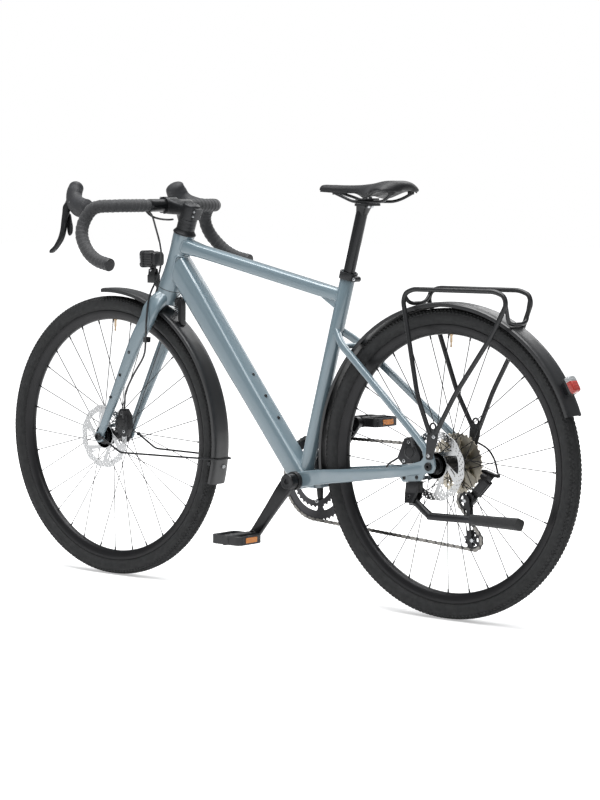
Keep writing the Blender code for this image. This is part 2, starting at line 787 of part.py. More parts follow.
def spokes(centre, flanges, flange_radius, look):
    """Crossed spokes. Each flange, given by its distance to the left, laces every other rim hole."""
    made = []
    per_side = SPOKE_COUNT // 2
    hole = math.tau / SPOKE_COUNT
    lead = SPOKE_CROSSES * math.tau / per_side
    rim_reach = RIM_RADIUS - RIM_DEPTH + 0.004
    for k in range(SPOKE_COUNT):
        side = k % 2
        pulls = 1 if (k // 2) % 2 else -1
        rim_turn = hole * k
        hub_turn = rim_turn + pulls * lead
        y = flanges[side] + pulls * 0.0012
        start = centre + xyz(flange_radius * math.cos(hub_turn), y, flange_radius * math.sin(hub_turn))
        bias = 0.0020 * (1 if side == 0 else -1)
        end = centre + xyz(rim_reach * math.cos(rim_turn), bias, rim_reach * math.sin(rim_turn))
        made.append(rod("spoke", start, end, SPOKE_RADIUS, look, 3))
    return made


def build_wheel(name, centre, hub_profile, flanges, flange_radius, look):
    """Rim, hub and laced spokes in one piece."""
    deep = RIM_RADIUS - RIM_DEPTH
    w = RIM_HALF_WIDTH
    profile = [
        (RIM_RADIUS, w),
        (RIM_RADIUS - RIM_WELL, 0.0),
        (RIM_RADIUS, -w),
        (RIM_RADIUS - 0.0130, -w),
        (deep, -0.0050),
        (deep, 0.0050),
        (RIM_RADIUS - 0.0130, w),
    ]
    rim = lathe(name, profile, centre, LEFT, WHEEL_STEPS, look, ring=True)
    hub = lathe("hub", hub_profile, centre, LEFT, 12, look, ring=True)
    return joined(rim, hub, *spokes(centre, flanges, flange_radius, look))


def build_front_wheel(look):
    half = FRONT_HUB_WIDTH / 2.0 - FIT_GAP
    bore = clear(AXLE_RADIUS + FIT_GAP, 12)
    seat_y = FRONT_ROTOR_Y + 0.0040
    profile = [
        (bore, half),
        (0.0100, half),
        (0.0100, seat_y),
        (0.0170, seat_y),
        (0.0170, 0.0290),
        (0.0245, 0.0265),
        (0.0245, 0.0225),
        (0.0125, 0.0170),
        (0.0125, -0.0260),
        (0.0225, -0.0320),
        (0.0225, -0.0360),
        (0.0100, -0.0400),
        (0.0100, -half),
        (bore, -half),
    ]
    return build_wheel("front_wheel", FRONT_AXLE, profile, (0.0245, -0.0340), 0.0205, look)


def build_rear_wheel(look):
    left = REAR_HUB_WIDTH / 2.0 - FIT_GAP
    bore = clear(AXLE_RADIUS + FIT_GAP, 12)
    seat_y = REAR_ROTOR_Y + 0.0040
    right = -(abs(FIRST_SPROCKET_Y) - 0.0035)
    profile = [
        (bore, left),
        (0.0110, left),
        (0.0110, seat_y),
        (0.0170, seat_y),
        (0.0170, 0.0400),
        (0.0255, 0.0370),
        (0.0255, 0.0330),
        (0.0150, 0.0260),
        (0.0150, -0.0120),
        (0.0245, -0.0190),
        (0.0245, -0.0230),
        (0.0150, right),
        (bore, right),
    ]
    return build_wheel("rear_wheel", REAR_AXLE, profile, (0.0350, -0.0210), 0.0215, look)


def build_tyre(name, centre, look):
    """The tyre, with its beads resting in the rim's well."""
    w = TYRE_HALF_WIDTH
    half = [
        (RIM_RADIUS + 2.0 * FIT_GAP, RIM_HALF_WIDTH),
        (RIM_RADIUS + 0.0130, w),
        (TYRE_RADIUS - 0.0065, w - 0.0050),
        (TYRE_RADIUS, w - 0.0150),
    ]
    well = RIM_RADIUS - RIM_WELL + 2.0 * FIT_GAP
    profile = [(well, 0.0)] + half + [(radius, -y) for radius, y in reversed(half)]
    return lathe(name, profile, centre, LEFT, WHEEL_STEPS, look, ring=True, smooth=60.0)


def build_rotor(name, centre, y, look):
    """A brake disc: a wavy rim carried by slanted arms on a splined carrier."""
    waves, arms = 12, 6
    outline = []
    for i in range(3 * waves):
        turn = math.tau * i / (3 * waves)
        outline.append((ROTOR_RADIUS - (0.0022 if i % 3 == 0 else 0.0), turn))
    rim = [(r * math.cos(a), r * math.sin(a)) for r, a in outline]
    holes = []
    inner_r, outer_r, hub_r = 0.0290, 0.0635, 0.0180
    for k in range(arms):
        start = math.tau * k / arms
        gap = math.tau / arms
        lean = math.radians(28.0)
        outer = [(outer_r, start + lean + gap * f) for f in (0.06, 0.34, 0.62, 0.90)]
        inner = [(inner_r, start + gap * f) for f in (0.84, 0.45, 0.08)]
        holes.append([(r * math.cos(a), r * math.sin(a)) for r, a in outer + inner])
    holes.append(circle(hub_r, 12))
    place = side_plane(y, centre.x, centre.z)
    return plate(name, rim, ROTOR_THICKNESS, place, look, holes)


def toothed(teeth):
    """A sprocket's outline: one root and one tip for each tooth."""
    tip = pitch_radius(teeth) + TOOTH_RISE
    points = []
    for i in range(2 * teeth):
        radius = tip if i % 2 else tip - TOOTH_DEPTH
        angle = math.pi * i / teeth
        points.append((radius * math.cos(angle), radius * math.sin(angle)))
    return points


def stack(name, levels, centre, look):
    """A solid turned about the Y axis from flat levels, each (y, outline). Neighbours with as many points
    are walled together. Where two share a y, the flat between their outlines is filled."""
    bm = bmesh.new()
    rows = []
    for y, outline in levels:
        rows.append((y, outline, [bm.verts.new(centre + xyz(px, y, pz)) for px, pz in outline]))
    for (y0, flat0, row0), (y1, flat1, row1) in zip(rows, rows[1:] + rows[:1]):
        if abs(y0 - y1) > 1e-9:
            for i in range(len(row0)):
                j = (i + 1) % len(row0)
                bm.faces.new((row0[i], row0[j], row1[j], row1[i]))
            continue
        wide, narrow = (flat0, row0), (flat1, row1)
        if flat1[0][0] ** 2 + flat1[0][1] ** 2 > flat0[0][0] ** 2 + flat0[0][1] ** 2:
            wide, narrow = narrow, wide
        corners = wide[1] + narrow[1]
        loops = [[Vector((px, pz, 0.0)) for px, pz in flat] for flat in (wide[0], narrow[0])]
        for a, b, c in tessellate_polygon(loops):
            bm.faces.new((corners[a], corners[b], corners[c]))
    return finish(name, bm, look)


def build_cassette(look):
    """Ten sprockets on the freewheel body, which turns on the rear axle."""
    bore = circle(AXLE_RADIUS + 3.0 * FIT_GAP, 12)
    core = circle(FREEHUB_RADIUS, 12)
    inner = FIRST_SPROCKET_Y + 0.0032
    last = FIRST_SPROCKET_Y - SPROCKET_SPACING * (len(SPROCKETS) - 1)
    levels = [(inner, bore), (inner, core)]
    for i, teeth in enumerate(SPROCKETS):
        y = FIRST_SPROCKET_Y - SPROCKET_SPACING * i
        high, low = y + SPROCKET_THICKNESS / 2.0, y - SPROCKET_THICKNESS / 2.0
        disc = toothed(teeth)
        levels += [(high, core), (high, disc), (low, disc), (low, core)]
    lock = circle(FREEHUB_RADIUS * 0.55, 12)
    end = last - SPROCKET_THICKNESS / 2.0 - 0.0004
    tip = -REAR_HUB_WIDTH / 2.0 + FIT_GAP
    levels += [(end, core), (end, lock), (tip, lock), (tip, bore)]
    return stack("cassette", levels, REAR_AXLE, look)


def build_axle(name, centre, hub_width, thickness, length_right, look):
    """A through axle, its head on the left, with a hex socket in the head."""
    head = hub_width / 2.0 + thickness + FIT_GAP
    tip = -hub_width / 2.0 - length_right
    shaft = lathe(
        name,
        [
            (AXLE_RADIUS, tip),
            (AXLE_RADIUS, head),
            (AXLE_HEAD_RADIUS, head),
            (AXLE_HEAD_RADIUS, head + 0.0025),
            (AXLE_HEAD_RADIUS - 0.0015, head + 0.0040),
        ],
        centre,
        LEFT,
        12,
        look,
    )
    socket = lathe("socket", [(0.0034, head - 0.004), (0.0034, head + 0.006)], centre, LEFT, 6, look)
    return cut(shaft, socket)


# Fork


def build_fork(look):
    """Steerer, crown and two straight blades that lean forward to the dropouts."""
    crown_top = FORK_CROWN_ALONG - FIT_GAP
    column = lathe(
        "fork",
        [
            (HEAD_LOW_RADIUS, crown_top - 0.034),
            (HEAD_LOW_RADIUS, crown_top),
            (0.0190, crown_top),
            (0.0190, crown_top + 0.030),
            (STEERER_RADIUS, crown_top + 0.050),
            (STEERER_RADIUS, STEM_ALONG + 0.0180),
        ],
        STEER_FOOT,
        STEER_UP,
        14,
        look,
    )
    axle_y = FRONT_HUB_WIDTH / 2.0
    blades = []
    for side in (1, -1):
        stations = (
            (steer(crown_top - 0.016, 0.000), 0.002, 0.0200, 0.0170),
            (steer(crown_top - 0.030, 0.001), 0.026, 0.0165, 0.0200),
            (steer(crown_top - 0.052, 0.003), 0.0475, 0.0115, 0.0225),
            (steer(crown_top - 0.085, 0.005), 0.0550, 0.0095, 0.0220),
            (xyz(0.5100, 0, 0.3040), 0.0570, 0.0095, 0.0195),
            (xyz(0.5850, 0, 0.1570), 0.0565, 0.0080, 0.0130),
            (xyz(0.6180, 0, 0.0920), 0.0550, 0.0055, 0.0105),
        )
        points = [point + side * y * LEFT for point, y, w, h in stations]
        sections = [chamfered(w, h, 0.45 * min(w, h)) for point, y, w, h in stations]
        blades.append(sweep("blade", points, sections, look))
        tip = lathe(
            "tip",
            [(0.0145, axle_y), (0.0145, axle_y + DROPOUT_THICKNESS + 0.0010), (0.0125, axle_y + 0.0085)],
            FRONT_AXLE,
            side * LEFT,
            14,
            look,
        )
        toe = sweep(
            "toe",
            [xyz(0.6120, side * (axle_y + 0.0045), 0.1040), FRONT_AXLE + side * (axle_y + 0.0040) * LEFT],
            [chamfered(0.0042, 0.0105, 0.002), chamfered(0.0035, 0.0110, 0.002)],
            look,
        )
        blades += [tip, toe]
    fork = joined(column, *blades)
    reach = axle_y + 0.012
    bore = rod(
        "axle_bore",
        FRONT_AXLE - reach * LEFT,
        FRONT_AXLE + reach * LEFT,
        clear(AXLE_RADIUS, 12),
        look,
        12,
    )
    return cut(fork, bore)


# Cockpit


def build_headset_cover(look):
    """The flared ring and the spacers between the head tube and the stem."""
    low = FORK_CROWN_ALONG + HEAD_TUBE_LENGTH + FIT_GAP
    high = STEM_ALONG - STEM_HALF_HEIGHT - FIT_GAP
    bore = clear(STEERER_RADIUS, 14)
    profile = [
        (bore, low),
        (HEAD_TOP_RADIUS + 0.0020, low),
        (HEAD_TOP_RADIUS + 0.0020, low + 0.0035),
        (0.0232, low + 0.0120),
        (0.0225, high),
        (bore, high),
    ]
    return lathe("headset_cover", profile, STEER_FOOT, STEER_UP, 14, look, ring=True)


def build_stem(look):
    """The stem's body, from the steerer clamp to the half shell behind the bar."""
    clamp = lathe(
        "stem",
        [(0.0225, STEM_ALONG - STEM_HALF_HEIGHT), (0.0225, STEM_ALONG + STEM_HALF_HEIGHT - 0.002),
         (0.0190, STEM_ALONG + STEM_HALF_HEIGHT)],
        STEER_FOOT,
        STEER_UP,
        16,
        look,
    )
    middle = steer(STEM_ALONG)
    bar = Vector(BAR_CLAMP)
    ahead = (bar - middle).normalized()
    arm = sweep(
        "arm",
        [middle + ahead * 0.004, middle + ahead * 0.034, bar - ahead * 0.006],
        [chamfered(0.0200, 0.0150, 0.005), chamfered(0.0195, 0.0160, 0.006), chamfered(0.0200, 0.0205, 0.006)],
        look,
    )
    pinch = sweep(
        "pinch",
        [steer(STEM_ALONG - 0.014, -0.0240), steer(STEM_ALONG + 0.014, -0.0240)],
        chamfered(0.0120, 0.0050, 0.002),
        look,
    )
    stem = joined(clamp, arm, pinch)
    bore = rod("bore", steer(STEM_ALONG - 0.030), steer(STEM_ALONG + 0.0183), clear(STEERER_RADIUS, 14), look, 14)
    grip = rod("grip", bar - 0.030 * LEFT, bar + 0.030 * LEFT, clear(BAR_CLAMP_RADIUS, 12), look, 12)
    return cut(stem, bore, grip)


def build_faceplate(look):
    """The front half of the bar clamp, which the stem's four bolts hold."""
    bar = Vector(BAR_CLAMP)
    middle = steer(STEM_ALONG)
    ahead = (bar - middle).normalized()
    upward = ahead.cross(LEFT) * -1.0
    inner, outer = clear(BAR_CLAMP_RADIUS, 12), 0.0215
    rings = []
    turns = [math.radians(a) for a in (-72, -43, -14, 14, 43, 72)]
    for y in (-0.0200, 0.0200):
        arc = [bar + y * LEFT + outer * (math.cos(a) * ahead + math.sin(a) * upward) for a in turns]
        back = [bar + y * LEFT + inner * (math.cos(a) * ahead + math.sin(a) * upward) for a in turns]
        rings.append(arc + back[::-1])
    return loft("stem_faceplate", rings, look)


def bar_route():
    """The bar's left half beyond its clamp: top, forward bend, hook and flared drop."""
    x, _, z = BAR_CLAMP
    return [
        xyz(x, 0.062, z),
        xyz(x, 0.130, z),
        xyz(x + 0.0110, 0.1790, z - 0.0005),
        xyz(*BAR_BEND),
        xyz(x + 0.0775, 0.2150, z - 0.0360),
        xyz(x + 0.0735, 0.2285, z - 0.0720),
        xyz(x + 0.0430, 0.2400, z - 0.1080),
        xyz(x + 0.0040, 0.2465, z - 0.1300),
        xyz(x - 0.0400, 0.2500, z - 0.1400),
    ]


def bar_rings(radius, first=0):
    """Eight-sided rings round the bar's left half from one of its points outward, kept free of twist."""
    curve = smooth_path(bar_route(), 2)
    rings = []
    across = UP.copy()
    for i, point in enumerate(curve):
        before = curve[max(0, i - 1)]
        after = curve[min(len(curve) - 1, i + 1)]
        along = (after - before).normalized()
        across = (across - across.dot(along) * along).normalized()
        upward = along.cross(across)
        rings.append([point + w * across + h * upward for w, h in oval(radius, radius, 8, math.pi / 8)])
    return rings[first:]


def bar_side(rings, side):
    """The left half's rings, or their mirror image for the right."""
    return rings if side > 0 else [[mirrored(point) for point in ring] for ring in rings]


def build_handlebar(look):
    """The bar, thicker where the stem clamps it."""
    left = bar_rings(BAR_RADIUS)
    clamp = [[xyz(p.x, BAR_CLAMP_EDGE, p.z) for p in bar_rings(BAR_CLAMP_RADIUS)[0]]]
    half = clamp + left
    return loft("handlebar", bar_side(half, -1)[::-1] + half, look)


def build_tape(name, side, look):
    """The wrapped grip: a sleeve on the bar from beside the stem to the bar's end, closed by its plug."""
    bore, skin = bar_rings(clear(BAR_RADIUS, 8), 2), bar_rings(TAPE_RADIUS, 2)
    start = [[xyz(p.x, TAPE_START, p.z) for p in ring] for ring in (bore[0], skin[0])]
    curve = bar_route()
    tip = (curve[-1] - curve[-2]).normalized()
    bore[-1] = [point + 2.0 * FIT_GAP * tip for point in bore[-1]]
    plug = [point + PLUG_THICKNESS * tip for point in skin[-1]]
    rings = [start[0], *bore][::-1] + [start[1], *skin, plug]
    return loft(name, bar_side(rings, side), look)


def lever_plane(side, inboard=0.0):
    """Places a flat side view of a lever in its own plane, which flares outward toward the ground."""
    px, py, pz = BRAKE_PIVOT
    flare = LEVER_FLARE
    return Matrix(
        (
            (1.0, 0.0, 0.0, 0.0),
            (0.0, -side * flare, -1.0, side * (py - inboard + flare * pz)),
            (0.0, 1.0, 0.0, 0.0),
            (0.0, 0.0, 0.0, 1.0),
        )
    )


def build_hood(name, side, look):
    """A lever body: it starts on the bar's bend, runs forward to the lever's pivot and rises to its horn."""
    bend, pivot = BAR_BEND, BRAKE_PIVOT
    stations = (
        (bend, 0.0200, 0.0035, 0.0035, 0.0150, 0.0140),
        (pivot, -0.0600, 0.0085, -0.0130, 0.0175, 0.0225),
        (pivot, -0.0420, 0.0045, -0.0100, 0.0180, 0.0245),
        (pivot, -0.0240, -0.0005, -0.0020, 0.0175, 0.0240),
        (pivot, -0.0090, -0.0050, 0.0100, 0.0175, 0.0240),
        (pivot, -0.0010, -0.0090, 0.0250, 0.0180, 0.0235),
        (pivot, 0.0025, -0.0122, 0.0400, 0.0170, 0.0205),
        (pivot, 0.0030, -0.0138, 0.0510, 0.0110, 0.0125),
    )
    points = [
        xyz(start[0] + x, side * (start[1] + y), start[2] + z) for start, x, y, z, w, h in stations
    ]
    sections = [oval(w, h, 8, math.pi / 8) for start, x, y, z, w, h in stations]
    hood = sweep(name, points, sections, look, smooth=60.0)
    bar_cut = loft("bar_cut", bar_side(bar_rings(TAPE_RADIUS + 1.1 * FIT_GAP, 3)[:-4], side), look)
    px, _, pz = BRAKE_PIVOT
    reach = (LEVER_ROOT_RADIUS + 2.0 * FIT_GAP) / math.cos(math.pi / 8)
    back = math.pi - LEVER_PULL
    drop = 0.040 + reach * math.sin(back)
    outline = [(px + reach * math.cos(back) - drop * math.tan(LEVER_PULL), pz - 0.040)]
    outline += [(px + 0.030, pz - 0.040), (px + 0.030, pz)]
    outline += [(px + reach * math.cos(a), pz + reach * math.sin(a)) for a in (0.0, 0.75, 1.5, 2.2, back)]
    slot = plate("slot", outline, 2.0 * (LEVER_HALF_WIDTH + FIT_GAP), lever_plane(side), look)
    return cut(hood, bar_cut, slot)


def lever_pivot(side):
    px, py, pz = BRAKE_PIVOT
    return xyz(px, side * py, pz)


def build_brake_lever(name, side, look):
    """A blade from its pivot in the hood, curling back to an outward hook."""
    px, _, pz = BRAKE_PIVOT
    root = [
        (px + LEVER_ROOT_RADIUS * math.cos(a), pz + LEVER_ROOT_RADIUS * math.sin(a))
        for a in (3.5, 2.8, 2.1, 1.4, 0.7, 0.0)
    ]
    front = [(0.0140, -0.0090), (0.0110, -0.0430), (0.0090, -0.0650), (0.0120, -0.0860), (0.0220, -0.1050)]
    tip = [(0.0330, -0.1150), (0.0320, -0.1220)]
    back = [(0.0220, -0.1210), (0.0080, -0.1080), (-0.0040, -0.0880), (-0.0070, -0.0650), (-0.0055, -0.0430)]
    outline = root + [(px + x, pz + z) for x, z in front + tip + back]
    return plate(name, outline, 2.0 * LEVER_HALF_WIDTH, lever_plane(side), look)


def paddle_inboard():
    """How far the paddle's own plane lies inboard of the blade's."""
    return LEVER_HALF_WIDTH + FIT_GAP + PADDLE_THICKNESS / 2.0


def paddle_pivot(side):
    px, py, pz = BRAKE_PIVOT
    return xyz(px + 0.0040, side * (py - paddle_inboard()), pz)


def build_shift_paddle(name, side, look):
    """The small paddle beside the blade's inner face."""
    px, _, pz = BRAKE_PIVOT
    corners = (
        (-0.0060, -0.0280),
        (0.0020, -0.0280),
        (0.0000, -0.0500),
        (-0.0060, -0.0700),
        (-0.0150, -0.0800),
        (-0.0230, -0.0740),
        (-0.0210, -0.0580),
        (-0.0130, -0.0420),
    )
    outline = [(px + x, pz + z) for x, z in corners]
    return plate(name, outline, PADDLE_THICKNESS, lever_plane(side, paddle_inboard()), look)


# Cords


def cord(name, route, radius, look, per_span=3, resolution=2):
    """A round cord on a smooth curve through its route."""
    curve = bpy.data.curves.new(name, "CURVE")
    curve.dimensions = "3D"
    curve.bevel_depth = radius
    curve.bevel_resolution = resolution
    curve.use_fill_caps = True
    points = smooth_path([Vector(p) for p in route], per_span)
    spline = curve.splines.new("POLY")
    spline.points.add(len(points) - 1)
    for slot, point in zip(spline.points, points):
        slot.co = (*point, 1.0)
    made = bpy.data.objects.new(name, curve)
    curve.materials.append(look)
    bpy.context.scene.collection.objects.link(made)
    return made


def build_front_hose(look):
    """The front brake's hose, from the tape's edge down the left blade to the caliper."""
    route = (
        (0.4340, 0.0757, 0.6331),
        (0.4338, 0.0650, 0.6240),
        (0.4333, 0.0550, 0.6004),
        (0.4327, 0.0350, 0.5388),
        (0.4400, 0.0330, 0.4845),
        (0.4560, 0.0520, 0.4260),
        (0.4508, 0.0690, 0.3680),
        (0.4540, 0.0690, 0.3183),
        (0.4600, 0.0700, 0.2784),
        (0.4942, 0.0700, 0.2324),
        (0.5243, 0.0680, 0.1870),
        (0.5420, 0.0540, 0.1570),
        (0.5520, 0.0450, 0.1510),
        (0.5600, 0.0385, 0.1428),
    )
    return cord("front_brake_hose", route, HOSE_RADIUS, look, 2)


def build_bar_hose(look):
    """The rear brake's hose, looping from the tape under the stem."""
    route = (
        (0.4420, 0.0757, 0.6333),
        (0.4425, 0.0660, 0.6265),
        (0.4400, 0.0540, 0.6200),
        (0.4300, 0.0400, 0.6150),
        (0.4150, 0.0270, 0.6130),
        (0.3990, 0.0270, 0.6140),
    )
    return cord("bar_hose", route, HOSE_RADIUS, look, 2)


def coil_points():
    """The coiled cable: straight leads at both ends of one unbroken helix."""
    route = [xyz(*point) for point in COIL_ROUTE]
    samples = COIL_CURLS * COIL_POINTS_PER_CURL
    curve = smooth_path(route, samples // (len(route) - 1))
    count = len(curve) - 1
    points = []
    for i, (point, across, upward) in enumerate(path_frames(curve, LEFT)):
        turn = math.tau * COIL_CURLS * i / count
        points.append(point + COIL_RADIUS * (math.cos(turn) * across + math.sin(turn) * upward))
    lead_in = [xyz(*point) for point in COIL_LEAD_IN]
    lead_out = [xyz(*point) for point in COIL_LEAD_OUT]
    return lead_in + points + lead_out


def least_coil_gap(points):
    """The least distance between the wire's surfaces on curls next to each other."""
    least = 1.0
    for i in range(len(points)):
        for j in range(i + COIL_POINTS_PER_CURL // 2, len(points)):
            least = min(least, (points[i] - points[j]).length)
    return least - 2.0 * COIL_WIRE_RADIUS


def build_coil(look):
    points = coil_points()
    print("coiled cable: least gap between curls", round(least_coil_gap(points) * 1000.0, 3), "mm")
    return cord("coiled_cable", points, COIL_WIRE_RADIUS, look, 1, 1)


def build_gear_housing(look):
    """The rear derailleur's cable housing, from the right seatstay to the barrel adjuster."""
    route = (
        (-0.4100, -0.0840, 0.1180),
        (-0.4400, -0.0850, 0.1120),
        (-0.4740, -0.0850, 0.0980),
        (-0.4930, -0.0850, 0.0760),
        (-0.5003, -0.0850, 0.0560),
        (-0.5040, -0.0850, 0.0424),
    )
    return cord("gear_housing", route, 0.0022, look, 2)


def build_rear_hose(look):
    """The rear brake's hose, out of the left chainstay and up to its caliper."""
    route = (
        (-0.2960, 0.0600, 0.0560),
        (-0.3050, 0.0600, 0.0650),
        (-0.3170, 0.0590, 0.0720),
        (-0.3270, 0.0580, 0.0780),
    )
    return cord("rear_brake_hose", route, HOSE_RADIUS, look, 2)


# Brakes


def build_caliper(name, outline, y_low, y_high, rotor_y, centre, look):
    """A caliper body with the slot that its disc runs in."""
    middle = (y_low + y_high) / 2.0
    caliper = plate(name, outline, y_high - y_low, side_plane(middle), look)
    slot_half = ROTOR_THICKNESS / 2.0 + 0.0008
    slot = lathe(
        "slot",
        [(ROTOR_RADIUS + 0.0016, rotor_y - slot_half), (ROTOR_RADIUS + 0.0016, rotor_y + slot_half)],
        centre,
        LEFT,
        48,
        look,
    )
    return cut(caliper, slot)


def build_rear_caliper(look):
    outline = [
        (-0.3300, 0.0800),
        (-0.3450, 0.0650),
        (-0.3960, 0.0740),
        (-0.3960, 0.0880),
        (-0.3820, 0.1130),
        (-0.3640, 0.1290),
        (-0.3500, 0.1250),
    ]
    return build_caliper("rear_caliper", outline, 0.0360, 0.0640, REAR_ROTOR_Y, REAR_AXLE, look)


def build_front_caliper(look):
    outline = [
        (0.5420, 0.1240),
        (0.5400, 0.0900),
        (0.5520, 0.0700),
        (0.5740, 0.0760),
        (0.5860, 0.1030),
        (0.5680, 0.1400),
        (0.5540, 0.1400),
    ]
    return build_caliper("front_caliper", outline, 0.0264, 0.0470, FRONT_ROTOR_Y, FRONT_AXLE, look)


# Mudguards, lights and rack


def guard_section(outer_radius):
    """A crowned channel with turned-down sides, as (radius, y) points round its skin."""
    w, t = GUARD_HALF_WIDTH, GUARD_THICKNESS
    lip, shoulder = outer_radius - GUARD_LIP, outer_radius - 0.0035
    outside = [(lip, w), (shoulder, w), (outer_radius, w - 0.0100)]
    inside = [(lip, w - t), (shoulder - 0.0008, w - t), (outer_radius - t, w - 0.0110)]
    skin = outside + [(radius, -y) for radius, y in reversed(outside)]
    return skin + [(radius, -y) for radius, y in inside] + inside[::-1]


def build_guard(name, centre, radius, arc, look):
    first, last = arc
    count = round((last - first) / GUARD_STEP)
    rings = []
    for i in range(count + 1):
        turn = math.radians(first + (last - first) * i / count)
        out = xyz(math.cos(turn), 0.0, math.sin(turn))
        rings.append([centre + reach * out + y * LEFT for reach, y in guard_section(radius)])
    return loft(name, rings, look)


FRONT_GUARD_CENTRE = FRONT_AXLE + FRONT_GUARD_LIFT * UP


def build_front_guard(look):
    """The front mudguard with the rounded bracket that bolts it behind the crown."""
    guard = build_guard("front_mudguard", FRONT_GUARD_CENTRE, FRONT_GUARD_RADIUS, FRONT_GUARD_ARC, look)
    crown = steer(FORK_CROWN_ALONG - 0.024, 0.0007 - HEAD_LOW_RADIUS)
    foot = FRONT_GUARD_CENTRE.z + math.sqrt(
        FRONT_GUARD_RADIUS**2 - (crown.x - 0.020 - FRONT_GUARD_CENTRE.x) ** 2
    )
    outline = [
        (crown.x - 0.0300, foot - 0.0080),
        (crown.x - 0.0120, foot + 0.0040),
        (crown.x - 0.0130, crown.z - 0.0140),
        (crown.x, crown.z - 0.0080),
        (crown.x - 0.0035, crown.z + 0.0070),
        (crown.x - 0.0160, crown.z + 0.0120),
        (crown.x - 0.0270, crown.z + 0.0080),
        (crown.x - 0.0310, crown.z - 0.0060),
    ]
    return joined(guard, plate("bracket", outline, 0.0200, side_plane(0.0), look))


def build_guard_stay(look):
    """One wire bow: from the left fork end, round the mudguard and back to the right one."""
    turn = math.radians(186.5)
    out = xyz(math.cos(turn), 0.0, math.sin(turn))
    corner = FRONT_GUARD_CENTRE + (FRONT_GUARD_RADIUS + STAY_RADIUS + FIT_GAP) * out
    side = GUARD_HALF_WIDTH + STAY_RADIUS + FIT_GAP
    inner = FRONT_GUARD_CENTRE + (FRONT_GUARD_RADIUS - 0.014) * out
    left = [
        xyz(0.6120, 0.0655, 0.0665),
        xyz(0.6000, 0.0655, 0.0600),
        xyz(0.5500, 0.0640, 0.0330),
        xyz(0.4000, 0.0500, 0.0330),
        xyz(inner.x, side, inner.z),
        xyz(corner.x, side, corner.z),
        xyz(corner.x, side - 0.0060, corner.z),
    ]
    route = left + [mirrored(point) for point in reversed(left)]
    return sweep("guard_stay", route, oval(STAY_RADIUS, STAY_RADIUS, 6), look, side=UP)


def rack_point(along, out, up, side):
    """A point on the rack: ahead of or behind the axle, from the rail's line out to the foot, and up."""
    reach = RACK_AHEAD if along > 0 else RACK_BEHIND
    foot_y = REAR_HUB_WIDTH / 2.0 + DROPOUT_THICKNESS + FIT_GAP + 0.0040
    return xyz(
        REAR_AXLE.x + along * reach,
        side * (RACK_HALF_WIDTH + out * (foot_y - RACK_HALF_WIDTH)),
        RACK_FOOT_HEIGHT + up * (RACK_TOP_HEIGHT - RACK_FOOT_HEIGHT),
    )


def rack_foot(ahead, side):
    """Where a leg meets the foot plate."""
    lug = rack_point(0.0, 1.0, 0.0, side)
    return lug + xyz(ahead - 0.0150, 0.0, -0.0080)


def rack_side(side, look):
    """One side: a tube hoop whose two legs meet on a lug, and the foot plate down to the dropout."""
    foot_x, foot_z = REAR_AXLE.x - 0.0150, RACK_FOOT_HEIGHT
    front = [
        rack_foot(0.0080, side),
        rack_point(0.353, 0.783, 0.237, side),
        rack_point(0.854, 0.203, 0.769, side),
        rack_point(1.000, 0.0, 0.910, side),
        rack_point(0.937, 0.0, 0.971, side),
        rack_point(0.708, 0.0, 1.0, side),
    ]
    rear = [
        rack_point(-0.832, 0.0, 1.0, side),
        rack_point(-0.968, 0.0, 0.971, side),
        rack_point(-1.000, 0.0, 0.910, side),
        rack_point(-0.842, 0.203, 0.705, side),
        rack_point(-0.359, 0.725, 0.256, side),
        rack_foot(-0.0080, side),
    ]
    hoop = pipe("rack", front + rear, RACK_TUBE_RADIUS, look, 6)
    inner = REAR_HUB_WIDTH / 2.0 + DROPOUT_THICKNESS + FIT_GAP
    outline = [
        (foot_x - 0.0140, foot_z + 0.0020),
        (foot_x - 0.0120, foot_z - 0.0220),
        (foot_x + 0.0030, REAR_AXLE.z + 0.0160),
        (foot_x + 0.0200, REAR_AXLE.z + 0.0160),
        (foot_x + 0.0170, foot_z - 0.0150),
        (foot_x + 0.0140, foot_z + 0.0020),
    ]
    foot = plate("foot", outline, 0.0040, side_plane(side * (inner + 0.0020)), look)
    return [hoop, foot]


def rack_arch(along, look):
    """A bridge between the two rails that dips onto the mudguard."""
    rail = rack_point(along, 0.0, 0.955, 1)
    clear_radius = GUARD_RADIUS + FIT_GAP + RACK_ARCH_RADIUS
    top = REAR_AXLE.z + math.sqrt(clear_radius**2 - (rail.x - REAR_AXLE.x) ** 2)
    half = [
        xyz(rail.x, rail.y + 0.0010, rail.z),
        xyz(rail.x, rail.y - 0.0130, top + 0.0060),
        xyz(rail.x, 0.0180, top + 0.0010),
    ]
    arch = half + [mirrored(point) for point in reversed(half)]
    return pipe("arch", arch, RACK_ARCH_RADIUS, look, 6, side=Vector((1.0, 0.0, 0.0)))


def build_rack(look):
    """Two sides, tied over the wheel by two arches."""
    left, right = rack_side(1, look), rack_side(-1, look)
    return joined(left[0], left[1], *right, rack_arch(0.958, look), rack_arch(-0.984, look))


def rear_light_frame():
    """Where the rear lamp sits: on the mudguard's back, its own x outward and its y along the guard."""
    turn = math.radians(149.0)
    out = xyz(math.cos(turn), 0.0, math.sin(turn))
    along = xyz(-math.sin(turn), 0.0, math.cos(turn))
    return REAR_AXLE + (GUARD_RADIUS + FIT_GAP) * out, out, along


def build_rear_light(look):
    foot, out, along = rear_light_frame()
    rings = []
    for reach, w, h in ((0.0, 0.0120, 0.0240), (0.0100, 0.0170, 0.0280), (0.0200, 0.0170, 0.0280)):
        rings.append([foot + reach * out + u * LEFT + v * along for u, v in chamfered(w, h, 0.004)])
    return loft("rear_light", rings, look)


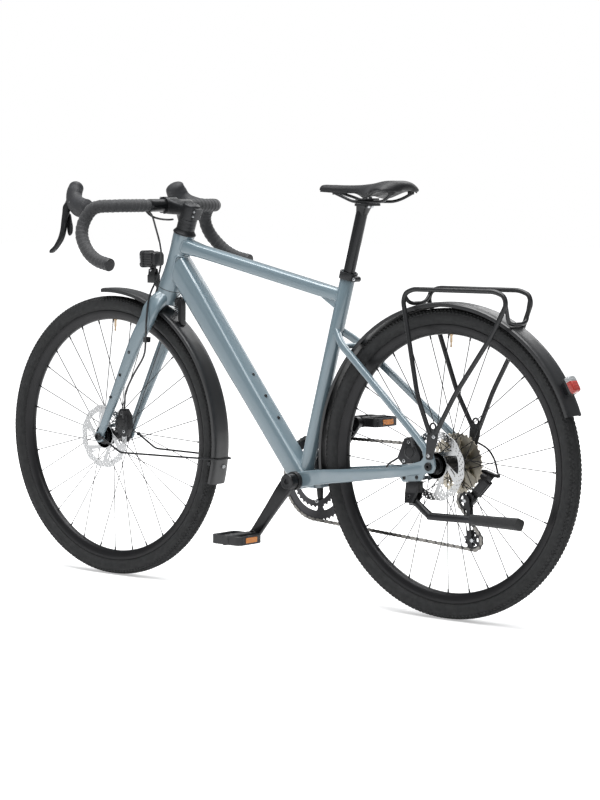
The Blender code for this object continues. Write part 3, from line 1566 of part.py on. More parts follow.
def build_rear_lens(look):
    foot, out, along = rear_light_frame()
    rings = []
    for reach, w, h in ((0.0203, 0.0165, 0.0275), (0.0300, 0.0165, 0.0275), (0.0350, 0.0130, 0.0240)):
        rings.append([foot + reach * out + u * LEFT + v * along for u, v in chamfered(w, h, 0.005)])
    return loft("rear_light_lens", rings, look)


LIGHT_PIVOT = (0.4930, 0.0, 0.4880)


def build_front_light(look):
    """The lamp body, deeper at its front, on the small tongue of its hinge."""
    rings = []
    for x, w, h in ((0.4700, 0.0170, 0.0150), (0.4760, 0.0215, 0.0200), (0.5120, 0.0235, 0.0215), (0.5200, 0.0220, 0.0195)):
        rings.append([xyz(x, u, 0.5150 + v) for u, v in chamfered(w, h, 0.006)])
    lamp = loft("front_light", rings, look)
    x, _, z = LIGHT_PIVOT
    tongue = plate(
        "tongue",
        [(x - 0.0080, z + 0.012), (x - 0.0070, z - 0.0060), (x + 0.0070, z - 0.0060), (x + 0.0080, z + 0.012)],
        0.0080,
        side_plane(0.0),
        look,
    )
    return joined(lamp, tongue)


def build_light_bracket(look):
    """The bracket on the crown's front: two ears for the lamp's tongue on a stalk and a foot."""
    x, _, z = LIGHT_PIVOT
    pieces = []
    for side in (1, -1):
        y = side * (0.0040 + FIT_GAP + 0.0020)
        pieces.append(
            plate(
                "ear",
                [(x - 0.0080, z + 0.0028), (x - 0.0110, z - 0.0180), (x + 0.0110, z - 0.0180), (x + 0.0080, z + 0.0028)],
                0.0040,
                side_plane(y),
                look,
            )
        )
    base = block("light_bracket", (x - 0.0140, -0.0100, z - 0.0320), (x + 0.0110, 0.0100, z - 0.0120), look)
    crown = steer(FORK_CROWN_ALONG - 0.020, HEAD_LOW_RADIUS + FIT_GAP * 2.0)
    stalk = sweep(
        "stalk",
        [xyz(x - 0.006, 0.0, z - 0.0240), steer(FORK_CROWN_ALONG - 0.012, HEAD_LOW_RADIUS + 0.0060),
         steer(FORK_CROWN_ALONG - 0.030, HEAD_LOW_RADIUS + 0.0060)],
        chamfered(0.0085, 0.0035, 0.001),
        look,
    )
    foot = rod("foot", crown, crown + STEER_FORWARD * 0.0050, 0.0065, look, 8)
    return joined(base, *pieces, stalk, foot)


# Stand


def stand_point(x, down, out=0.0):
    """A point in the stand's own tilted plane: ahead of its pivot, below it, and outward."""
    lower = xyz(0.0, math.sin(STAND_TILT), -math.cos(STAND_TILT))
    outward = xyz(0.0, math.cos(STAND_TILT), math.sin(STAND_TILT))
    return Vector(STAND_PIVOT) + xyz(x, 0.0, 0.0) + down * lower + out * outward


def build_stand_mount(look):
    """The block bolted under the left dropout, with the two ears that hold the leg."""
    rings = []
    middle = STAND_PIVOT[0] - 0.0040
    seat_z = REAR_AXLE.z - 0.0345 - FIT_GAP / math.cos(DROPOUT_SLOPE)
    for depth, h, slope in ((0.0, 0.0110, math.tan(DROPOUT_SLOPE)), (0.0160, 0.0125, 0.0)):
        ring = []
        for u, v in chamfered(0.0180, h, 0.003):
            drop = slope * (middle + u - REAR_AXLE.x - 0.0215)
            ring.append(xyz(middle + u, 0.0742 + v, seat_z - depth - drop))
        rings.append(ring)
    rings.append([stand_point(u, -0.0100, v) for u, v in chamfered(0.0175, 0.0130, 0.003)])
    rings.append([stand_point(u, 0.0130, v) for u, v in chamfered(0.0120, 0.0130, 0.003)])
    mount = loft("stand_mount", rings, look)
    slot = loft(
        "slot",
        [
            [stand_point(-0.040, d, v) for d, v in ((-0.0150, -0.0075), (-0.0150, 0.0075), (0.03, 0.0075), (0.03, -0.0075))],
            [stand_point(0.040, d, v) for d, v in ((-0.0150, -0.0075), (-0.0150, 0.0075), (0.03, 0.0075), (0.03, -0.0075))],
        ],
        look,
    )
    return cut(mount, slot)


def build_stand_leg(look):
    """The leg: a flat eye between the ears, a bend and a long straight tube."""
    eye = loft(
        "stand_leg",
        [
            [stand_point(p, q, out) for p, q in circle(0.0125, 12)]
            for out in (-0.0070, 0.0070)
        ],
        look,
    )
    route = [
        stand_point(0.0, 0.0),
        stand_point(-0.0200, 0.0120),
        stand_point(-0.0560, 0.0330),
        stand_point(-0.0680, 0.0360),
        stand_point(-0.1750, 0.0345),
    ]
    sections = [oval(0.0065, 0.0090, 8), oval(0.0068, 0.0090, 8)] + [oval(0.0085, 0.0088, 8)] * 3
    tube = sweep("tube", route, sections, look)
    return joined(eye, tube)


def build_stand_foot(look):
    """The rubber sleeve that flares toward the ground end."""
    rings = []
    for x, w, h in ((-0.1750, 0.0110, 0.0125), (-0.2400, 0.0115, 0.0135), (-0.3060, 0.0125, 0.0160)):
        rings.append([stand_point(x, 0.0345 + v, u) for u, v in oval(w, h, 8, math.pi / 8)])
    sleeve = loft("stand_foot", rings, look)
    sleeve.data.transform(Matrix.Translation((-FIT_GAP, 0.0, 0.0)))
    return sleeve


# Cranks and pedals


def crank_end(side):
    """The pedal axle's inner end: the left arm points down and forward, the right one opposite."""
    return side * CRANK_LENGTH * xyz(math.cos(CRANK_ANGLE), 0.0, math.sin(CRANK_ANGLE))


def crank_inner(side):
    """How far from the middle an arm's boss begins: it bears on its cup."""
    return BB_SHELL_HALF_WIDTH + BB_CUP_DEPTH + FIT_GAP + (0.0 if side > 0 else CRANK_SPACER)


def crank_face(side):
    """How far from the middle the outer face of an arm's pedal eye lies."""
    return crank_inner(side) + 0.0265


def crank_arm(name, side, look):
    """An arm with its boss, its pedal eye and the pedal's spindle."""
    end = crank_end(side)
    out = side * LEFT
    boss_y = crank_inner(side)
    stations = (
        (0.00, boss_y + 0.0110, 0.0105, 0.0160),
        (0.22, boss_y + 0.0140, 0.0080, 0.0150),
        (0.80, boss_y + 0.0185, 0.0065, 0.0130),
        (1.00, boss_y + 0.0195, 0.0065, 0.0130),
    )
    points = [end * t + y * out for t, y, w, h in stations]
    sections = [chamfered(w, h, 0.003) for t, y, w, h in stations]
    arm = sweep(name, points, sections, look)
    boss = lathe(
        "boss", [(0.0195, boss_y), (0.0195, boss_y + 0.0200), (0.0150, boss_y + 0.0225)], (0, 0, 0), out, 14, look
    )
    face = crank_face(side)
    eye = lathe("eye", [(0.0140, face - 0.0140), (0.0140, face)], end, out, 12, look)
    spindle = lathe(
        "pedal_axle",
        [
            (0.0080, face - 0.001),
            (0.0080, face + 0.0080),
            (PEDAL_AXLE_RADIUS, face + 0.0100),
            (PEDAL_AXLE_RADIUS, face + 0.0115 + PEDAL_AXLE_LENGTH - 0.0040),
        ],
        end,
        out,
        10,
        look,
    )
    return [arm, boss, eye, spindle]


def build_crank_left(look):
    boss_y = crank_inner(1)
    crank = joined(*crank_arm("crank_left", 1, look))
    bore = rod("bore", (0, boss_y - 0.002, 0), (0, boss_y + 0.0170, 0), clear(SPINDLE_RADIUS, 12), look, 12)
    return cut(crank, bore)


def build_crankset(look):
    """The right arm with its spider and the spindle that passes through the bottom bracket."""
    arm, *rest = crank_arm("crankset", -1, look)
    boss_y = crank_inner(-1)
    spindle = rod("spindle", (0, -boss_y - 0.010, 0), (0, crank_inner(1) + 0.0165, 0), SPINDLE_RADIUS, look, 12)
    ring_y = OUTER_RING_Y - RING_THICKNESS / 2.0 - FIT_GAP - SPIDER_THICKNESS / 2.0
    half = SPIDER_THICKNESS / 2.0
    legs = []
    for k in range(4):
        tip = ring_bolt(k)
        legs.append(
            sweep(
                "leg",
                [tip * 0.15 - (boss_y + 0.0080) * LEFT, tip * 0.75 + ring_y * LEFT, tip * 1.10 + ring_y * LEFT],
                [
                    chamfered(0.0035, 0.0110, 0.001),
                    chamfered(half, 0.0090, 0.001),
                    chamfered(half, 0.0070, 0.001),
                ],
                look,
            )
        )
    return joined(arm, *rest, spindle, *legs)


def ring_lugs(inner_radius):
    """A ring's inner outline, drawn in at its four bolts."""
    outline = []
    for i in range(20):
        angle = CRANK_ANGLE + math.pi / 4.0 + math.tau * i / 20.0
        radius = RING_LUG_RADIUS if i % 5 == 0 else inner_radius
        outline.append((radius * math.cos(angle), radius * math.sin(angle)))
    return outline


def ring_bolt(k):
    angle = CRANK_ANGLE + math.pi / 4.0 + math.pi / 2.0 * k
    return RING_BOLT_RADIUS * xyz(math.cos(angle), 0.0, math.sin(angle))


def build_outer_ring(look):
    hole = ring_lugs(0.0850)
    return plate(
        "outer_chainring", toothed(OUTER_RING_TEETH), RING_THICKNESS, side_plane(OUTER_RING_Y), look, [hole]
    )


def build_inner_ring(look):
    """The small ring, with the four sleeves that stand it off the large one."""
    ring = plate(
        "inner_chainring",
        toothed(INNER_RING_TEETH),
        RING_THICKNESS,
        side_plane(INNER_RING_Y),
        look,
        [ring_lugs(0.0590)],
    )
    seat_y = OUTER_RING_Y + RING_THICKNESS / 2.0 + FIT_GAP
    sleeves = []
    for k in range(4):
        bolt = ring_bolt(k)
        sleeves.append(rod("sleeve", bolt + INNER_RING_Y * LEFT, bolt + seat_y * LEFT, 0.0045, look, 6))
    return joined(ring, *sleeves)


def build_pedal(name, side, look):
    """A cage pedal: a tube round the spindle, a frame with two windows, and a reflector at each end."""
    end = crank_end(side)
    start = crank_face(side) + 0.0115
    half_long, half_wide, half_high = 0.0465, PEDAL_WIDTH / 2.0, 0.0110
    outline = [(half_long, half_wide - 0.009), (half_long - 0.009, half_wide)]
    outline += [(-x, y) for x, y in reversed(outline)]
    outline += [(-x, -y) for x, y in outline]
    holes = [
        [(s * 0.0040, -0.0300), (s * 0.0370, -0.0300), (s * 0.0370, 0.0300), (s * 0.0040, 0.0300)]
        for s in (1, -1)
    ]
    centre = end + side * (start + half_wide) * LEFT
    cage = plate(name, outline, 2.0 * half_high, Matrix.Translation(centre), look, holes)
    tube = lathe(
        "tube", [(0.0125, start - 0.0015), (0.0125, start + PEDAL_WIDTH + 0.0020)], end, side * LEFT, 10, look
    )
    lamps = [
        block(
            "reflector",
            centre + xyz(s * (half_long - 0.004) - 0.005, -0.0200, -0.0065),
            centre + xyz(s * (half_long - 0.004) + 0.005, 0.0200, 0.0065),
            look,
        )
        for s in (1, -1)
    ]
    pedal = joined(cage, tube, *lamps)
    reach = PEDAL_AXLE_LENGTH - 0.0030
    bore = lathe(
        "bore",
        [(clear(PEDAL_AXLE_RADIUS, 10), start - 0.003), (clear(PEDAL_AXLE_RADIUS, 10), start + reach)],
        end,
        side * LEFT,
        10,
        look,
    )
    return cut(pedal, bore)


# Gears


def tangent(first, second):
    """Where the chain leaves one wheel and reaches the next. Each is (centre, radius, sense), and the
    sense is 1 where it turns as the cranks do and -1 where it turns against them."""
    (c1, r1, s1), (c2, r2, s2) = first, second
    span = Vector((c2[0] - c1[0], c2[1] - c1[1]))
    reach = s1 * r1 - s2 * r2
    normal_turn = math.atan2(span.y, span.x) + math.acos(reach / span.length)
    normal = Vector((math.cos(normal_turn), math.sin(normal_turn)))
    return Vector(c1) + s1 * r1 * normal, Vector(c2) + s2 * r2 * normal


def chain_wheels():
    """The wheels in the chain's order of travel: (centre, teeth, sense, middle y, tooth thickness)."""
    return [
        ((REAR_AXLE.x, REAR_AXLE.z), CHAIN_SPROCKET, 1, CHAIN_COG_Y, SPROCKET_THICKNESS),
        ((0.0, 0.0), OUTER_RING_TEETH, 1, OUTER_RING_Y, RING_THICKNESS),
        (TENSION_PULLEY, PULLEY_TEETH, 1, CHAIN_COG_Y, PULLEY_THICKNESS),
        (GUIDE_PULLEY, PULLEY_TEETH, -1, CHAIN_COG_Y, PULLEY_THICKNESS),
    ]


def chain_stations():
    """The chain's closed route over its four wheels: a station for each link that bends round one."""
    wheels = [(c, pitch_radius(teeth), sense, y) for c, teeth, sense, y, thick in chain_wheels()]
    links = [tangent(wheels[i][:3], wheels[(i + 1) % 4][:3]) for i in range(4)]
    points = []
    for i, (centre, radius, sense, y) in enumerate(wheels):
        enter = links[i - 1][1] - Vector(centre)
        leave = links[i][0] - Vector(centre)
        begin = math.atan2(enter.y, enter.x)
        wrap = (begin - math.atan2(leave.y, leave.x)) * sense % math.tau
        steps = max(2, round(wrap * radius / PITCH))
        for k in range(steps + 1):
            angle = begin - sense * wrap * k / steps
            points.append(xyz(centre[0] + radius * math.cos(angle), y, centre[1] + radius * math.sin(angle)))
        next_y = wheels[(i + 1) % 4][3]
        if next_y != y:
            start, stop = links[i]
            ahead = 2.5 * PITCH * (stop - start).normalized()
            points.append(xyz(start.x + ahead.x, y, start.y + ahead.y))
            points.append(xyz(stop.x - ahead.x, next_y, stop.y - ahead.y))
    return points


def build_chain(look):
    """The chain as one band, grooved where the teeth reach into it."""
    w, h = CHAIN_HALF_WIDTH, CHAIN_HALF_HEIGHT
    section = [(w, 0.6 * h), (0.6 * w, h), (-0.6 * w, h), (-w, 0.6 * h)]
    section += [(-x, -y) for x, y in section]
    chain = sweep("chain", chain_stations(), section, look, closed=True)
    grooves = []
    for centre, teeth, sense, y, thickness in chain_wheels():
        half = thickness / 2.0 + FIT_GAP
        steps = max(10, teeth // 2)
        reach = (pitch_radius(teeth) + TOOTH_RISE + FIT_GAP) / math.cos(math.pi / steps)
        place = xyz(centre[0], 0.0, centre[1])
        grooves.append(lathe("groove", [(reach, y - half), (reach, y + half)], place, LEFT, steps, look))
    return cut(chain, *grooves)


def build_pulley(name, centre, look):
    cog_y = CHAIN_COG_Y
    place = side_plane(cog_y, centre[0], centre[1])
    return plate(name, toothed(PULLEY_TEETH), PULLEY_THICKNESS, place, look, [circle(0.0040, 10)])


# Rear derailleur: its links swing on slanted axes, so that it drops as it moves inward

LINK_START = xyz(-0.4780, -0.0800, 0.0260)
LINK_END = xyz(-0.4435, -0.0790, -0.0107)
LINK_SPACING = 0.0150
LINK_THICKNESS = 0.0036
SHIFT_SLANT = math.radians(25.0)


def link_axis():
    along = (LINK_END - LINK_START).normalized()
    inward = xyz(0.0, math.cos(SHIFT_SLANT), -math.sin(SHIFT_SLANT))
    return along.cross(inward).normalized()


def link_frame():
    """The links' direction, their hinge axis and the way across from the outer link to the inner one."""
    along = (LINK_END - LINK_START).normalized()
    axis = link_axis()
    return along, axis, axis.cross(along)


def link_piece(name, side, look):
    """One link of the parallelogram: side is -1 for the outer and 1 for the inner."""
    along, axis, inward = link_frame()
    shift = side * LINK_SPACING / 2.0 * inward
    section = chamfered(0.0085, LINK_THICKNESS / 2.0, 0.001)
    return sweep(name, [LINK_START + shift, LINK_END + shift], section, look, side=axis)


def link_lug(start, end, look):
    """A knuckle's tongue between the two links."""
    _, axis, _ = link_frame()
    half = (LINK_SPACING - LINK_THICKNESS) / 2.0 - FIT_GAP
    return sweep("lug", [start, end], chamfered(0.0080, half, 0.001), look, side=axis)


def build_derailleur_hanger(look):
    """The upper knuckle on the frame's hanger, with its barrel adjuster."""
    bolt = xyz(REAR_AXLE.x - 0.0120, 0.0, REAR_AXLE.z - 0.0260)
    outer = -REAR_HUB_WIDTH / 2.0 - DROPOUT_THICKNESS - FIT_GAP
    knuckle = rod("rd_knuckle_upper", (bolt.x, outer, bolt.z), (bolt.x, outer - 0.0120, bolt.z), 0.0095, look, 12)
    arm = sweep(
        "arm",
        [
            xyz(bolt.x, outer - 0.0060, bolt.z),
            xyz(-0.4700, outer - 0.0055, 0.0430),
            xyz(-0.4860, outer - 0.0045, 0.0400),
            xyz(-0.5050, -0.0845, 0.0365),
        ],
        [
            chamfered(0.0050, 0.0075, 0.002),
            chamfered(0.0050, 0.0070, 0.002),
            chamfered(0.0045, 0.0060, 0.002),
            chamfered(0.0030, 0.0030, 0.001),
        ],
        look,
    )
    along, _, _ = link_frame()
    lug = link_lug(LINK_START, LINK_START - 0.0140 * along, look)
    barrel = rod("barrel", (-0.5065, -0.0850, 0.0332), (-0.5042, -0.0850, 0.0418), 0.0042, look, 8)
    return joined(knuckle, arm, lug, barrel)


def build_lower_knuckle(look):
    """The knuckle that carries the cage: its spring housing and the tongue between the links."""
    outer = CHAIN_COG_Y - 0.0075 - FIT_GAP
    x, z = GUIDE_PULLEY
    housing = rod("rd_knuckle_lower", (x, outer, z), (x, outer - 0.0147, z), 0.0135, look, 14)
    lug = link_lug(LINK_END, xyz(x, LINK_END.y, z), look)
    return joined(housing, lug)


def build_cage(look):
    """Two plates joined by the pulleys' bolts."""
    cog_y = CHAIN_COG_Y
    upper, lower = Vector(GUIDE_PULLEY), Vector(TENSION_PULLEY)
    down = (lower - upper).normalized()
    across = Vector((-down.y, down.x))
    outline = []
    for centre, turns in ((upper, (200, 160, 120, 90)), (lower, (20, -10, -45, -80))):
        for angle in turns:
            a = math.radians(angle)
            r = 0.0130 if centre is upper else 0.0120
            outline.append(centre + r * (math.cos(a) * across - math.sin(a) * down))
    flat = [(p.x, p.y) for p in convex(outline)]
    plates = []
    for y in (cog_y + 0.0062, cog_y - 0.0062):
        plates.append(plate("cage_plate", flat, 0.0016, side_plane(y), look))
    bolts = []
    for centre in (GUIDE_PULLEY, TENSION_PULLEY):
        ends = [(centre[0], cog_y + s * 0.0060, centre[1]) for s in (1, -1)]
        bolts.append(rod("bolt", ends[0], ends[1], 0.0034, look, 10))
    cage = joined(plates[0], plates[1], *bolts)
    cage.name = "rd_cage"
    return cage


def convex(points):
    """The convex outline round some flat points."""
    ordered = sorted(points, key=lambda p: (p.x, p.y))
    hull = []
    for direction in (ordered, ordered[::-1]):
        start = len(hull)
        for point in direction:
            while len(hull) >= start + 2:
                a, b = hull[-2], hull[-1]
                if (b.x - a.x) * (point.y - a.y) - (b.y - a.y) * (point.x - a.x) > 0:
                    break
                hull.pop()
            hull.append(point)
        hull.pop()
    return hull


def build_front_derailleur(look):
    """The cage over the outer ring: two plates tied at both ends, under the barrel that it swings on."""
    tip = pitch_radius(OUTER_RING_TEETH) + TOOTH_RISE
    angles = [math.radians(a) for a in (90, 101, 112, 123, 133)]
    high = [((tip + 0.0165) * math.cos(a), (tip + 0.0165) * math.sin(a)) for a in angles]
    plates = []
    for reach, y in ((tip - 0.0100, OUTER_RING_Y + 0.0062), (tip + FD_TOOTH_GAP, OUTER_RING_Y - 0.0062)):
        low = [(reach * math.cos(a), reach * math.sin(a)) for a in angles]
        plates.append(plate("front_derailleur", low + high[::-1], FD_PLATE, side_plane(y), look))
    ties = []
    for angle in (math.radians(94), math.radians(130)):
        x, z = (tip + 0.0138) * math.cos(angle), (tip + 0.0138) * math.sin(angle)
        ties.append(rod("tie", (x, OUTER_RING_Y - 0.0060, z), (x, OUTER_RING_Y + 0.0060, z), 0.0022, look, 6))
    x, y, z = FD_PIVOT
    half = FD_BARREL_HALF_LENGTH
    barrel = rod("barrel", (x - half, y, z), (x + half, y, z), FD_BARREL_RADIUS, look, 10)
    inner_y = OUTER_RING_Y + 0.0062 + FD_PLATE / 2.0
    arm = block("arm", (x - half, inner_y - 0.0040, 0.1060), (x + half, inner_y, z), look)
    return joined(plates[0], plates[1], *ties, barrel, arm)


# Assembly


def build_bike():
    look = build_materials()
    ground = body("bike", (0, 0, 0))
    steering = body("steering_axis", STEER_FOOT + FORK_CROWN_ALONG * STEER_UP, ground)
    front = body("front_wheel_axis", FRONT_AXLE, steering)
    rear = body("rear_wheel_axis", REAR_AXLE, ground)
    gears = body("cassette_axis", REAR_AXLE, ground)
    cranks = body("crank_axis", (0, 0, 0), ground)
    seatpost = body("seatpost_slide", seat(SEAT_TUBE_LENGTH), ground)
    stand = body("stand_axis", STAND_PIVOT, ground)

    carry(
        ground,
        build_frame(look["paint"]),
        build_seat_clamp(look["black"]),
        build_guard("rear_mudguard", REAR_AXLE, GUARD_RADIUS, REAR_GUARD_ARC, look["plastic"]),
        build_rack(look["black"]),
        build_rear_light(look["plastic"]),
        build_rear_lens(look["red"]),
        build_stand_mount(look["black"]),
        build_rear_caliper(look["black"]),
        build_rear_hose(look["rubber"]),
        build_derailleur_hanger(look["black"]),
        build_gear_housing(look["rubber"]),
        build_chain(look["chain"]),
        build_axle("rear_axle", REAR_AXLE, REAR_HUB_WIDTH, DROPOUT_THICKNESS, 0.0060, look["black"]),
    )
    carry(
        steering,
        build_fork(look["paint"]),
        build_headset_cover(look["black"]),
        build_stem(look["black"]),
        build_faceplate(look["black"]),
        build_handlebar(look["black"]),
        build_tape("bar_tape_left", 1, look["tape"]),
        build_tape("bar_tape_right", -1, look["tape"]),
        build_hood("hood_left", 1, look["rubber"]),
        build_hood("hood_right", -1, look["rubber"]),
        build_front_hose(look["rubber"]),
        build_bar_hose(look["rubber"]),
        build_coil(look["rubber"]),
        build_light_bracket(look["plastic"]),
        build_front_guard(look["plastic"]),
        build_guard_stay(look["black"]),
        build_front_caliper(look["black"]),
        build_axle("front_axle", FRONT_AXLE, FRONT_HUB_WIDTH, 0.0085, 0.0070, look["black"]),
    )
    carry(body("front_light_axis", LIGHT_PIVOT, steering), build_front_light(look["plastic"]))
    for label, side in (("left", 1), ("right", -1)):
        lever = body(f"brake_lever_{label}_axis", lever_pivot(side), steering)
        carry(lever, build_brake_lever(f"brake_lever_{label}", side, look["black"]))
        paddle = body(f"shift_paddle_{label}_axis", paddle_pivot(side), lever)
        carry(paddle, build_shift_paddle(f"shift_paddle_{label}", side, look["black"]))
    carry(
        front,
        build_front_wheel(look["rim"]),
        build_tyre("front_tyre", FRONT_AXLE, look["tyre"]),
        build_rotor("front_rotor", FRONT_AXLE, FRONT_ROTOR_Y, look["steel"]),
    )
    carry(
        rear,
        build_rear_wheel(look["rim"]),
        build_tyre("rear_tyre", REAR_AXLE, look["tyre"]),
        build_rotor("rear_rotor", REAR_AXLE, REAR_ROTOR_Y, look["steel"]),
    )
    carry(gears, build_cassette(look["sprocket"]))
    carry(
        cranks,
        build_crankset(look["black"]),
        build_crank_left(look["black"]),
        build_outer_ring(look["black"]),
        build_inner_ring(look["black"]),
    )
    for label, side in (("left", 1), ("right", -1)):
        pedal = body(f"pedal_{label}_axis", crank_end(side), cranks)
        carry(pedal, build_pedal(f"pedal_{label}", side, look["plastic"]))
    carry(seatpost, build_seatpost(look["black"]), build_rails(look["black"]), build_saddle(look["rubber"]))
    carry(stand, build_stand_leg(look["black"]), build_stand_foot(look["rubber"]))

    across = LINK_SPACING / 2.0 * link_frame()[2]
    outer_link = body("rd_outer_link_axis", LINK_START - across, ground)
    carry(outer_link, link_piece("rd_outer_link", -1, look["black"]))
    inner_link = body("rd_inner_link_axis", LINK_START + across, ground)
    carry(inner_link, link_piece("rd_inner_link", 1, look["black"]))
    knuckle = body("rd_knuckle_axis", LINK_END - across, outer_link)
    carry(knuckle, build_lower_knuckle(look["black"]))
    cage = body("rd_cage_axis", (GUIDE_PULLEY[0], 0.0, GUIDE_PULLEY[1]), knuckle)
    carry(cage, build_cage(look["black"]))
    guide = body("guide_pulley_axis", (GUIDE_PULLEY[0], 0.0, GUIDE_PULLEY[1]), cage)
    carry(guide, build_pulley("guide_pulley", GUIDE_PULLEY, look["plastic"]))
    tension = body("tension_pulley_axis", (TENSION_PULLEY[0], 0.0, TENSION_PULLEY[1]), cage)
    carry(tension, build_pulley("tension_pulley", TENSION_PULLEY, look["plastic"]))
    carry(body("fd_axis", FD_PIVOT, ground), build_front_derailleur(look["black"]))


def main():
    for old in list(bpy.data.objects):
        bpy.data.objects.remove(old)
    build_bike()


main()
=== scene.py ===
"""The finished look of a gravel bike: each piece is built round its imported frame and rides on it."""

import json
import math
from functools import partial

import bmesh
import bpy
from bpy.props import FloatProperty, FloatVectorProperty, IntProperty, PointerProperty
from mathutils import Matrix, Vector
from mathutils.bvhtree import BVHTree
from mathutils.geometry import tessellate_polygon

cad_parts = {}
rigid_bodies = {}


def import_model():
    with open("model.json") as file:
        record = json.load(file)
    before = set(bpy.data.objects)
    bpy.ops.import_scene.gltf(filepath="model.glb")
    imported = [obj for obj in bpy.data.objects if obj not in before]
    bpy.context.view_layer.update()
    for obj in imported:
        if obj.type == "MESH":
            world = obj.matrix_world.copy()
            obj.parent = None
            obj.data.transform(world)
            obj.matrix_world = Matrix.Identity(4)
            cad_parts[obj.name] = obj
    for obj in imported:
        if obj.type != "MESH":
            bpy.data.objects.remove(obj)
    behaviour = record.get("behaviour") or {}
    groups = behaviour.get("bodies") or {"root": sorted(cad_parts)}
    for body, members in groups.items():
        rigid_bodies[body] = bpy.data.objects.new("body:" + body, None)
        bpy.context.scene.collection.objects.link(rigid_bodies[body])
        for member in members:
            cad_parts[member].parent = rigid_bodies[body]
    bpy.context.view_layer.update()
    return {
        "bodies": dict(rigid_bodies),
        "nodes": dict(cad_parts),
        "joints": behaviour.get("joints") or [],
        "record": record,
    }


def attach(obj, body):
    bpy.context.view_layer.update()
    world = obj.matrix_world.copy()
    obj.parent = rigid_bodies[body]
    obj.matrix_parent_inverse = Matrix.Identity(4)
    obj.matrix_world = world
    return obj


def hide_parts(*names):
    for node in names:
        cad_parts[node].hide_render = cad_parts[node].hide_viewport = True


bl_info = {
    "name": "Gravel Bike",
    "version": (1, 0, 0),
    "blender": (4, 5, 0),
    "location": "View3D > Sidebar > Gravel Bike",
    "description": "Builds the finished pieces of a gravel bike round its frame",
    "category": "Object",
}

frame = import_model()


def pivot(name):
    """Where one of the frame's joints turns."""
    return next(row["pos_m"] for row in frame["joints"] if row["name"] == name)


def direction(name):
    """Which way one of the frame's joints turns or slides."""
    return Vector(next(row["axis"] for row in frame["joints"] if row["name"] == name))


# Where things are

REAR_AXLE = Vector(pivot("rear_wheel_spin"))
FRONT_AXLE = Vector(pivot("front_wheel_spin"))
STEER_UP = direction("steering_turn")
STEER_FORWARD = Vector((STEER_UP.z, 0.0, -STEER_UP.x))
STEER_FOOT = FRONT_AXLE - 0.055 * STEER_FORWARD
SEAT_UP = direction("seatpost_slide")
SEAT_FORWARD = Vector((SEAT_UP.z, 0.0, -SEAT_UP.x))
AHEAD = Vector((1.0, 0.0, 0.0))
LEFT = Vector((0.0, 1.0, 0.0))
UP = Vector((0.0, 0.0, 1.0))
CROWN = 0.4210
HEAD_LENGTH = 0.1435
GROUND = -0.287
RIM = 0.3165
ORIGIN = Vector((0.0, 0.0, 0.0))
SIDES = ((1, "left"), (-1, "right"))


def xyz(x, y, z):
    return Vector((x, y, z))


def steer(along, forward=0.0, left=0.0):
    """A point by its distance up the steering axis, ahead of it and to its left."""
    return STEER_FOOT + along * STEER_UP + forward * STEER_FORWARD + left * LEFT


def seat(along, forward=0.0, left=0.0):
    """A point by its distance up the seat tube, ahead of it and to its left."""
    return along * SEAT_UP + forward * SEAT_FORWARD + left * LEFT


def spots(*places):
    return [xyz(*place) for place in places]


def mirrored(points):
    return [xyz(p.x, -p.y, p.z) for p in points]


def doubled(half):
    """A path from one side to the other, from its left half."""
    return half + mirrored(half)[::-1]


def polar(radius, angle, y=0.0):
    """A point by its distance from the middle and its turn, seen from the side."""
    return xyz(radius * math.cos(angle), y, radius * math.sin(angle))


def flat_polar(pairs):
    """Flat points from (radius, turn) pairs."""
    return [(radius * math.cos(turn), radius * math.sin(turn)) for radius, turn in pairs]


# Shapes: each is a pair of points and faces


def merge(*shapes):
    points, faces = [], []
    for more_points, more_faces in shapes:
        base = len(points)
        points += list(more_points)
        faces += [tuple(base + i for i in face) for face in more_faces]
    return points, faces


def loft(rings, closed=False):
    """Walls between rings of as many points, with an end on each unless they close up."""
    count, total = len(rings[0]), len(rings)
    points = [p for ring in rings for p in ring]
    faces = []
    for r in range(total if closed else total - 1):
        low, high = r * count, (r + 1) % total * count
        for i in range(count):
            j = (i + 1) % count
            faces.append((low + i, low + j, high + j, high + i))
    if not closed:
        faces.append(tuple(reversed(range(count))))
        faces.append(tuple(range((total - 1) * count, total * count)))
    return points, faces


def oval(half_w, half_h, sides=16):
    turns = [math.tau * i / sides for i in range(sides)]
    return [(half_w * math.cos(turn), half_h * math.sin(turn)) for turn in turns]


def rounded(half_w, half_h, corner, steps=4):
    """A box section with round corners, as many points whatever its size."""
    corner = min(corner, 0.98 * half_w, 0.98 * half_h)
    points = []
    for quarter, (sx, sy) in enumerate(((1, 1), (-1, 1), (-1, -1), (1, -1))):
        for i in range(steps + 1):
            angle = math.pi / 2 * (quarter + i / steps)
            points.append((sx * (half_w - corner) + corner * math.cos(angle),
                           sy * (half_h - corner) + corner * math.sin(angle)))
    return points


def curve_through(points, steps=6, closed=False):
    """A smooth curve through the points."""
    if closed:
        ends = [points[-1], *points, points[0], points[1]]
    else:
        ends = [2 * points[0] - points[1], *points, 2 * points[-1] - points[-2]]
    curve = []
    for p0, p1, p2, p3 in zip(ends, ends[1:], ends[2:], ends[3:]):
        for step in range(steps):
            t = step / steps
            curve.append(0.5 * (2 * p1 + (p2 - p0) * t + (2 * p0 - 5 * p1 + 4 * p2 - p3) * t * t
                                + (3 * p1 - p0 - 3 * p2 + p3) * t * t * t))
    return curve if closed else [*curve, points[-1]]


def curve_stations(stations, steps):
    """A smooth route through (point, half width, half height) stations, and its sizes eased alike."""
    route = curve_through([point for point, w, h in stations], steps)
    sizes = curve_through([xyz(w, h, 0) for point, w, h in stations], steps)
    return route, [(size.x, size.y) for size in sizes]


